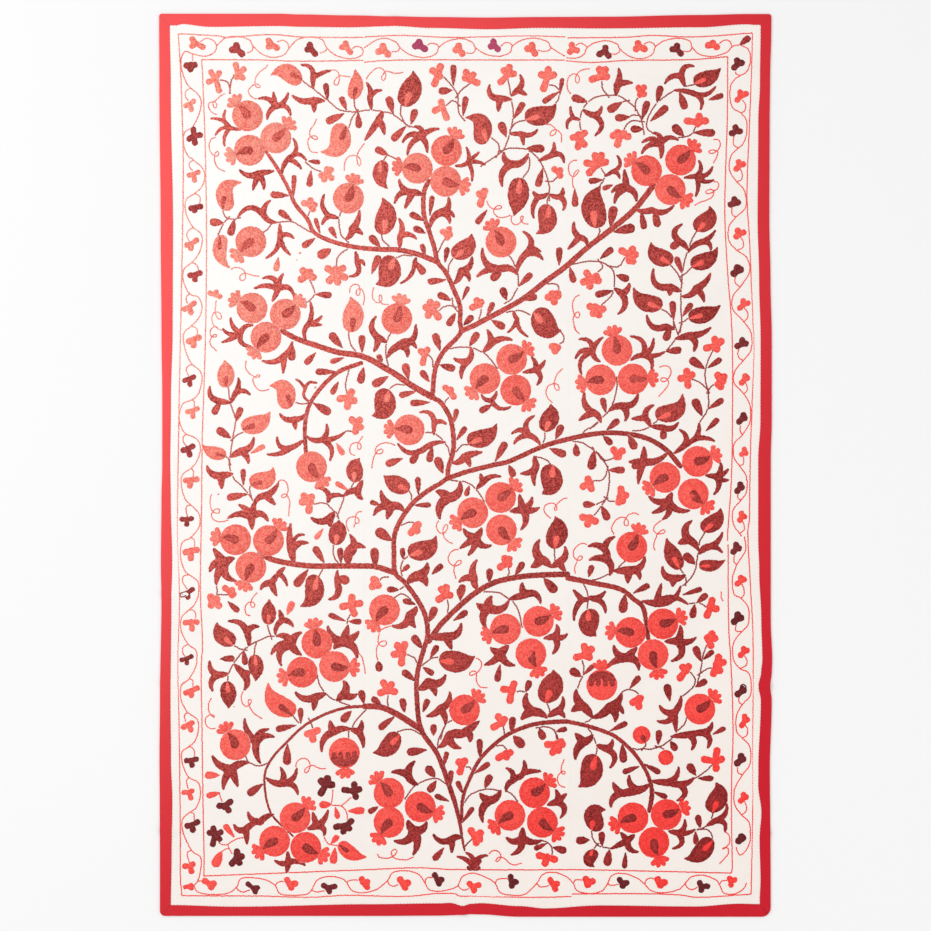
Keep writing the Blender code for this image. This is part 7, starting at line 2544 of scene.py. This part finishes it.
    def fruit(self, centre: list, crown: list) -> None:
        """A pomegranate: a disc, a crown of four lobes and a patch of seeds.

        Args:
            centre: its middle.
            crown: a place that its crown points at.
        """
        centre, crown = np.array(centre, float), np.array(crown, float)
        away = crown - centre
        away /= float(np.hypot(*away))
        self.crown(centre, away)
        self.disc(centre, self.fruit_radius)
        outer = centre + away * self.fruit_radius * self.seeds_outer
        inner = centre - away * self.fruit_radius * self.seeds_inner
        self.drop(Thread.DARK, Layer.PATCH, outer, inner, self.seeds_wide, self.seeds_bow)

    def crown(self, centre: np.ndarray, away: np.ndarray) -> None:
        """The four lobes at a fruit's end.

        Args:
            centre: the fruit's middle.
            away: the crown's direction.
        """
        side = np.array([-away[1], away[0]])
        root = centre + away * (self.fruit_radius - self.crown_sunk)
        ways = [away * math.cos(angle) + side * math.sin(angle) for angle in self.crown_angles]
        lobes = [root + self.crown_reach * way for way in ways]
        self.flower(Thread.CORAL, root, self.crown_half, lobes)

    def disc(self, centre: list, radius: float) -> None:
        """A round fruit or berry without its crown."""
        centre = np.array(centre, float)
        self.put(Thread.CORAL, Layer.FRUIT, [(centre[None, :], np.array([radius]))])

    def split_fruit(self, centre: list, crown: list) -> None:
        """A fruit that is split open, with dark seeds in lobes on its crown's side.

        Args:
            centre: its middle.
            crown: a place that its crown points at.
        """
        centre, crown = np.array(centre, float), np.array(crown, float)
        away = crown - centre
        away /= float(np.hypot(*away))
        side = np.array([-away[1], away[0]])
        self.crown(centre, away)
        self.disc(centre, self.fruit_radius)
        band = [
            centre
            + away * (self.split_out + self.split_rise * math.cos(angle))
            + side * self.split_side * math.sin(angle)
            for angle in self.split_angles
        ]
        lines = [(even_samples(np.array(band), SAMPLE_STEP), self.split_half)]
        near, far = self.split_lobe_ends
        for across in self.split_lobes:
            start = centre + away * near + side * across
            end = centre + away * far + side * across * self.split_lobe_spread
            lobe = even_samples(np.array([start, end]), SAMPLE_STEP)
            lines.append((lobe, self.split_lobe_half))
        self.put(Thread.DARK, Layer.PATCH, lines)

    def plant(self, text: str) -> None:
        """Draws every motif of a block of readings.

        Args:
            text: one motif a line, laid out as the note above TREE says.
        """
        for line in text.strip().replace("\n ", " ").splitlines():
            kind, *words = line.split()
            last = words.pop() if words[-1].isalpha() else ""
            n = [float(word) for word in words]
            if kind == "D":
                self.drop(Thread.DARK, Layer.LEAF, n[:2], n[2:4], n[4])
            elif kind == "E":
                self.drop(Thread.CORAL, Layer.LEAF, n[:2], n[2:4], n[4])
            elif kind == "A":
                thread = Thread.DARK if last == "d" else Thread.CORAL
                self.leaf(thread, n[:2], n[2:4], n[4], n[5])
            elif kind == "S":
                arms = [n[k : k + 3] for k in range(3, len(n), 3)]
                self.antler(n[:2], n[2], arms)
            elif kind in FLOWER_THREADS:
                thread = FLOWER_THREADS[kind]
                lobes = [n[k : k + 2] for k in range(3, len(n), 2)]
                self.flower(thread, n[:2], n[2], lobes)
            elif kind == "O":
                self.disc(n[:2], n[2])
            elif kind == "P":
                self.drop(Thread.DARK, Layer.PATCH, n[:2], n[2:4], n[4])
            elif kind == "H":
                self.split_fruit(n[:2], n[2:4])
            elif kind == "T":
                self.line(Thread.CORAL, n, self.tendril_wide)
            elif kind == "M":
                self.line(Thread.STEM, n, self.stem_wide)
            elif kind == "B":
                self.branch(Thread.DARK, n[2:], n[0], n[1])
            elif kind == "F":
                self.fruit(n[:2], n[2:4])
            else:
                raise ValueError(f"no such motif: {line}")


def linear(red: int, green: int, blue: int) -> tuple[float, float, float, float]:
    """A screen colour of 0 to 255 as a linear one.

    Args:
        red: its red.
        green: its green.
        blue: its blue.

    Returns:
        The linear red, green and blue, and full alpha.
    """
    parts = [c / 255 for c in (red, green, blue)]
    parts = [p / 12.92 if p <= 0.04045 else ((p + 0.055) / 1.055) ** 2.4 for p in parts]
    return (*parts, 1.0)


@dataclass(frozen=True)
class ThreadFinish:
    """A dyed thread: its colour in painted light at the top left and in painted shade away from it, and the
    share of each that its dips keep.
    """

    name: str
    # The first colour is the thread's in painted light at the top left, the second its colour in painted
    # shade away from there.
    pale: tuple
    strong: tuple
    dips: tuple
    roughness: float = 0.62
    bump: float = 0.5
    relief: float = 0.3 * MM

    def material(self) -> bpy.types.Material:
        """The thread's material."""
        values = {"Pale": self.pale, "Strong": self.strong, "Dips": (*self.dips, 1.0)}
        return dressed(self, thread_group(), values)


@dataclass(frozen=True)
class WeaveFinish:
    """A plain-woven cotton: its colours in painted light and in painted shade, and its threads' wave scale.
    """

    name: str
    # The first colour is the cloth's in painted light at the top left, the second its colour in painted
    # shade away from there.
    pale: tuple
    strong: tuple
    threads: float = 900.0
    mottle: tuple = (0.94, 0.94, 0.94)
    roughness: float = 0.9
    bump: float = 0.6
    relief: float = 0.25 * MM

    def material(self) -> bpy.types.Material:
        """The cloth's material."""
        values = {"Pale": self.pale, "Strong": self.strong, "Threads": self.threads}
        return dressed(self, weave_group(), {**values, "Mottle": (*self.mottle, 1.0)})


def dressed(
    finish: ThreadFinish | WeaveFinish, tree: bpy.types.NodeTree, values: dict
) -> bpy.types.Material:
    """A material whose colour and relief come from one node group.

    Args:
        finish: the finish, with its name, roughness, bump and relief.
        tree: the node group, which puts out Colour and Height.
        values: the group's input values by name.

    Returns:
        The new material.
    """
    made, nodes, links = new_material(finish.name)
    shader = nodes["Principled BSDF"]
    shader.inputs["Roughness"].default_value = finish.roughness
    shader.inputs["Specular IOR Level"].default_value = SHEEN
    group = nodes.new("ShaderNodeGroup")
    group.node_tree = tree
    for label, value in values.items():
        group.inputs[label].default_value = value
    bump = nodes.new("ShaderNodeBump")
    bump.inputs["Strength"].default_value = finish.bump
    bump.inputs["Distance"].default_value = finish.relief
    links.new(group.outputs["Colour"], shader.inputs["Base Color"])
    links.new(group.outputs["Height"], bump.inputs["Height"])
    links.new(bump.outputs["Normal"], shader.inputs["Normal"])
    return made


def new_material(name: str) -> tuple:
    """A new node material, with its nodes and links.

    Args:
        name: the material's name.

    Returns:
        The material, its nodes and its links.
    """
    made = bpy.data.materials.new(name)
    made.use_nodes = True
    return made, made.node_tree.nodes, made.node_tree.links


def new_group(name: str, inputs: list, outputs: list) -> bpy.types.NodeTree:
    """A new shader node group with the given (name, kind) sockets.

    Args:
        name: its name.
        inputs: its input sockets.
        outputs: its output sockets.

    Returns:
        The group, whose end nodes are named in and out.
    """
    tree = bpy.data.node_groups.new(name, "ShaderNodeTree")
    for label, kind in inputs:
        tree.interface.new_socket(label, in_out="INPUT", socket_type=kind)
    for label, kind in outputs:
        tree.interface.new_socket(label, in_out="OUTPUT", socket_type=kind)
    tree.nodes.new("NodeGroupInput").name = "in"
    tree.nodes.new("NodeGroupOutput").name = "out"
    return tree


def painted_light_colour(tree: bpy.types.NodeTree) -> tuple:
    """Nodes that paint light and shade: the Lit colour at the top left turns into the Shaded one away from
    it.

    Args:
        tree: a group with Pale and Strong inputs.

    Returns:
        The colour socket and the object coordinates' node.
    """
    nodes, links = tree.nodes, tree.links
    places = nodes.new("ShaderNodeTexCoord")
    away = nodes.new("ShaderNodeVectorMath")
    away.operation = "DISTANCE"
    away.inputs[1].default_value = PAINTED_LIGHT_PLACE
    links.new(places.outputs["Object"], away.inputs[0])
    share = nodes.new("ShaderNodeMapRange")
    share.interpolation_type = "SMOOTHSTEP"
    share.inputs["From Max"].default_value = PAINTED_SHADE_REACH
    links.new(away.outputs["Value"], share.inputs["Value"])
    mix = nodes.new("ShaderNodeMix")
    mix.data_type = "RGBA"
    links.new(share.outputs["Result"], mix.inputs["Factor"])
    links.new(nodes["in"].outputs["Pale"], mix.inputs[6])
    links.new(nodes["in"].outputs["Strong"], mix.inputs[7])
    return mix.outputs[2], places


def multiplied(
    tree: bpy.types.NodeTree,
    colour: bpy.types.NodeSocket,
    low: bpy.types.NodeSocket,
    share: bpy.types.NodeSocket,
) -> bpy.types.NodeSocket:
    """A colour that is multiplied by low where share is 0, and left as it is where it is 1.

    Args:
        tree: the group that the nodes go in.
        colour: the colour's socket.
        low: the socket of the colour it is multiplied by.
        share: the share's socket.

    Returns:
        The new colour's socket.
    """
    nodes, links = tree.nodes, tree.links
    rise = nodes.new("ShaderNodeMix")
    rise.data_type = "RGBA"
    rise.inputs[7].default_value = (1, 1, 1, 1)
    links.new(share, rise.inputs["Factor"])
    links.new(low, rise.inputs[6])
    times = nodes.new("ShaderNodeVectorMath")
    times.operation = "MULTIPLY"
    links.new(colour, times.inputs[0])
    links.new(rise.outputs[2], times.inputs[1])
    return times.outputs["Vector"]


def thread_group() -> bpy.types.NodeTree:
    """Dyed thread: painted light and shade across the cloth, uneven tone from link to link, and a fine
    twist.

    Returns:
        The group, made on the first call.
    """
    if "dyed thread" in bpy.data.node_groups:
        return bpy.data.node_groups["dyed thread"]
    kinds = [("Pale", "NodeSocketColor"), ("Strong", "NodeSocketColor"), ("Dips", "NodeSocketColor")]
    results = [("Colour", "NodeSocketColor"), ("Height", "NodeSocketFloat")]
    tree = new_group("dyed thread", kinds, results)
    nodes, links = tree.nodes, tree.links
    colour, places = painted_light_colour(tree)
    tone = nodes.new("ShaderNodeAttribute")
    tone.attribute_name = "tone"
    specks = nodes.new("ShaderNodeTexNoise")
    specks.inputs["Scale"].default_value = SPECK_SCALE
    links.new(places.outputs["Object"], specks.inputs["Vector"])
    strong = nodes.new("ShaderNodeMapRange")
    strong.inputs["From Min"].default_value = SPECK_RANGE[0]
    strong.inputs["From Max"].default_value = SPECK_RANGE[1]
    links.new(specks.outputs["Fac"], strong.inputs["Value"])
    both = nodes.new("ShaderNodeMath")
    links.new(tone.outputs["Fac"], both.inputs[0])
    links.new(strong.outputs["Result"], both.inputs[1])
    # Two shares from 0 to 1 add up to one from 0 to 2.
    share = nodes.new("ShaderNodeMapRange")
    share.inputs["From Max"].default_value = 2.0
    links.new(both.outputs[0], share.inputs["Value"])
    toned = multiplied(tree, colour, nodes["in"].outputs["Dips"], share.outputs["Result"])
    noise = nodes.new("ShaderNodeTexNoise")
    noise.inputs["Scale"].default_value = TWIST_SCALE
    links.new(places.outputs["Object"], noise.inputs["Vector"])
    links.new(toned, nodes["out"].inputs["Colour"])
    links.new(noise.outputs["Fac"], nodes["out"].inputs["Height"])
    return tree


def weave_group() -> bpy.types.NodeTree:
    """Plain weave: painted light and shade across the cloth, two crossing sets of threads, with slubs and a
    faint mottle.

    Returns:
        The group, made on the first call.
    """
    if "plain weave" in bpy.data.node_groups:
        return bpy.data.node_groups["plain weave"]
    kinds = [
        ("Pale", "NodeSocketColor"),
        ("Strong", "NodeSocketColor"),
        ("Threads", "NodeSocketFloat"),
        ("Mottle", "NodeSocketColor"),
    ]
    results = [("Colour", "NodeSocketColor"), ("Height", "NodeSocketFloat")]
    tree = new_group("plain weave", kinds, results)
    nodes, links = tree.nodes, tree.links
    colour, places = painted_light_colour(tree)
    heights = []
    for axis in ("X", "Y"):
        wave = nodes.new("ShaderNodeTexWave")
        wave.bands_direction = axis
        wave.inputs["Distortion"].default_value = WEAVE_WANDER
        links.new(places.outputs["Object"], wave.inputs["Vector"])
        links.new(nodes["in"].outputs["Threads"], wave.inputs["Scale"])
        heights.append(wave.outputs["Fac"])
    high = nodes.new("ShaderNodeMath")
    high.operation = "MAXIMUM"
    links.new(heights[0], high.inputs[0])
    links.new(heights[1], high.inputs[1])
    noise = nodes.new("ShaderNodeTexNoise")
    noise.inputs["Scale"].default_value = MOTTLE_SCALE
    noise.inputs["Detail"].default_value = MOTTLE_DETAIL
    links.new(places.outputs["Object"], noise.inputs["Vector"])
    toned = multiplied(tree, colour, nodes["in"].outputs["Mottle"], noise.outputs["Fac"])
    links.new(toned, nodes["out"].inputs["Colour"])
    links.new(high.outputs[0], nodes["out"].inputs["Height"])
    return tree


@dataclass
class Studio:
    """A plain whitish floor, soft lights and the camera straight above."""

    distance: float = 6.31
    framed: float = 2.271
    sensor: float = 36.0
    aside: tuple = (-0.0005, -0.0006)
    floor_size: float = 30
    floor_drop: float = 0.0002
    floor_grey: int = 240
    air: float = 0.80
    lamps: tuple = (((-4.5, 1.5, 4.5), 3.0, 118), ((4.0, -2.0, 5.0), 4.0, 68))

    def floor(self) -> None:
        """A large floor just under the cloth."""
        place = (0, 0, -self.floor_drop)
        bpy.ops.mesh.primitive_plane_add(size=self.floor_size, location=place)
        floor = bpy.context.object
        floor.name = "studio_floor"
        made, nodes, _ = new_material("studio floor")
        shader = nodes["Principled BSDF"]
        shader.inputs["Base Color"].default_value = linear(*[self.floor_grey] * 3)
        shader.inputs["Roughness"].default_value = 1.0
        floor.data.materials.append(made)
        floor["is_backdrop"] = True

    def light(self, place: tuple, size: float, power: float) -> None:
        """A square soft light that faces the cloth's middle.

        Args:
            place: the lamp's place.
            size: its side.
            power: its power in watts.
        """
        lamp = bpy.data.lights.new("soft light", "AREA")
        lamp.size = size
        lamp.energy = power
        holder = bpy.data.objects.new("soft_light", lamp)
        holder.location = place
        holder.rotation_euler = Vector(place).to_track_quat("Z", "Y").to_euler()
        bpy.context.scene.collection.objects.link(holder)

    def build(self) -> None:
        """Sets the stage, the lights and the camera."""
        self.floor()
        for place, size, power in self.lamps:
            self.light(place, size, power)
        scene = bpy.context.scene
        world = bpy.data.worlds.new("studio air")
        world.use_nodes = True
        background = world.node_tree.nodes["Background"]
        background.inputs["Color"].default_value = (1, 1, 1, 1)
        background.inputs["Strength"].default_value = self.air
        scene.world = world
        scene.view_settings.view_transform = "Standard"
        lens = bpy.data.cameras.new("camera")
        lens.sensor_width = self.sensor
        lens.lens = self.sensor * self.distance / self.framed
        camera = bpy.data.objects.new("camera", lens)
        camera.location = (*self.aside, self.distance)
        scene.collection.objects.link(camera)
        scene.camera = camera


def finish_piece(thing: bpy.types.Object, made: bpy.types.Material) -> None:
    """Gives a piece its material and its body.

    Args:
        thing: the piece.
        made: its material.
    """
    thing.data.materials.append(made)
    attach(thing, "root")
    log.info("%s: %d faces", thing.name, len(thing.data.polygons))


def thread_finishes() -> dict:
    """The finish of each thread.

    Returns:
        The finish by thread.
    """
    # Each thread's colour in painted light at the top left, its colour in painted shade away from there,
    # and the share that its dips keep.
    colours = {
        Thread.CORAL: ((255, 180, 160), (255, 78, 72), (0.82, 0.25, 0.25)),
        Thread.DARK: ((255, 125, 113), (182, 50, 50), (0.25, 0.05, 0.05)),
        Thread.MAROON: ((214, 92, 88), (126, 36, 42), (0.3, 0.12, 0.12)),
        Thread.STEM: ((226, 124, 112), (156, 50, 52), (0.6, 0.5, 0.5)),
        Thread.PINK: ((205, 84, 124), (190, 70, 106), (0.6, 0.6, 0.6)),
        Thread.CREAM: ((255, 253, 250), (250, 241, 234), (0.95, 0.95, 0.95)),
        Thread.RED: ((240, 80, 80), (180, 26, 42), (0.7, 0.7, 0.7)),
    }
    return {
        thread: ThreadFinish(f"{thread.value} thread", linear(*pale), linear(*strong), dips)
        for thread, (pale, strong, dips) in colours.items()
    }


def main() -> None:
    """Builds the cloth, its binding and its embroidery, then the stage."""
    edges = {
        Side.LEFT: Edge(
            Side.LEFT,
            LEFT_STATIONS,
            (Crease(-890, 3, 18, 130), Crease(-531, 2, 14, 95), Crease(-316, 2.5, 16, 120)),
        ),
        Side.RIGHT: Edge(
            Side.RIGHT, RIGHT_STATIONS, (Crease(-897, 2.5, 16, 110), Crease(-538, 4, 18, 160))
        ),
        Side.BOTTOM: Edge(Side.BOTTOM, BOTTOM_STATIONS, (Crease(-7, 4, 18, 150),)),
        Side.TOP: Edge(Side.TOP, TOP_STATIONS, (Crease(-172, 2, 18, 100),)),
    }
    cloth = Cloth(edges)
    work = Embroidery(cloth)
    planting = Planting(work)
    for block in PLANTS:
        planting.plant(block)
    work.stitch()
    log.info("%d motifs, %.0f m of stitched rows", len(work.motifs), work.length)

    threads = {thread: finish.material() for thread, finish in thread_finishes().items()}
    stitched = {"left": [], "centre": [], "right": []}
    for mesh in work.meshes.values():
        thing = mesh.build()
        if thing is None:
            continue
        thread, _, width = mesh.name.split("_")
        red = Thread(thread) in (Thread.CORAL, Thread.PINK)
        finish_piece(thing, threads[Thread(thread)])
        stitched[width].append(thing)

    sewing = Sewing(cloth)
    for width, seam in (("left", LEFT_SEAM), ("right", RIGHT_SEAM)):
        thing = sewing.seam(f"seam_stitches_{width}", seam)
        finish_piece(thing, threads[Thread.CREAM])
        stitched[width].append(thing)

    # The ground's colour in painted light at the top left, then in painted shade away from there.
    ground = WeaveFinish("ground cotton", linear(255, 253, 250), linear(247, 238, 231)).material()
    bounds = {
        "left": (edges[Side.LEFT], LEFT_SEAM),
        "centre": (LEFT_SEAM, RIGHT_SEAM),
        "right": (RIGHT_SEAM, edges[Side.RIGHT]),
    }
    for width, (low, high) in bounds.items():
        panel = Loom(f"ground_{width}", cloth, low, high).build()
        finish_piece(panel, ground)
        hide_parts(f"panel_{width}")
        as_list(stitched[width])

    # The binding's colour in painted light at the top left, then in painted shade away from there, so
    # darker towards the bottom.
    red = WeaveFinish("binding cotton", linear(255, 92, 92), linear(206, 28, 44), threads=1100.0).material()
    for side, edge in edges.items():
        label = side.name.lower()
        binding = Binding(f"binding_{label}_cloth", cloth, edge)
        strip = binding.build()
        finish_piece(strip, red)
        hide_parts(f"binding_{label}")
        stitches = sewing.binding(f"binding_stitches_{label}", binding.rim, binding.inside)
        finish_piece(stitches, threads[Thread.RED])

    Studio().build()
    look_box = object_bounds()
    boxes = {"cad": cad_box, "visual": look_box}
    {k: [list(corner) for corner in box] for k, box in boxes.items()}


if __name__ == "__main__":
    main()
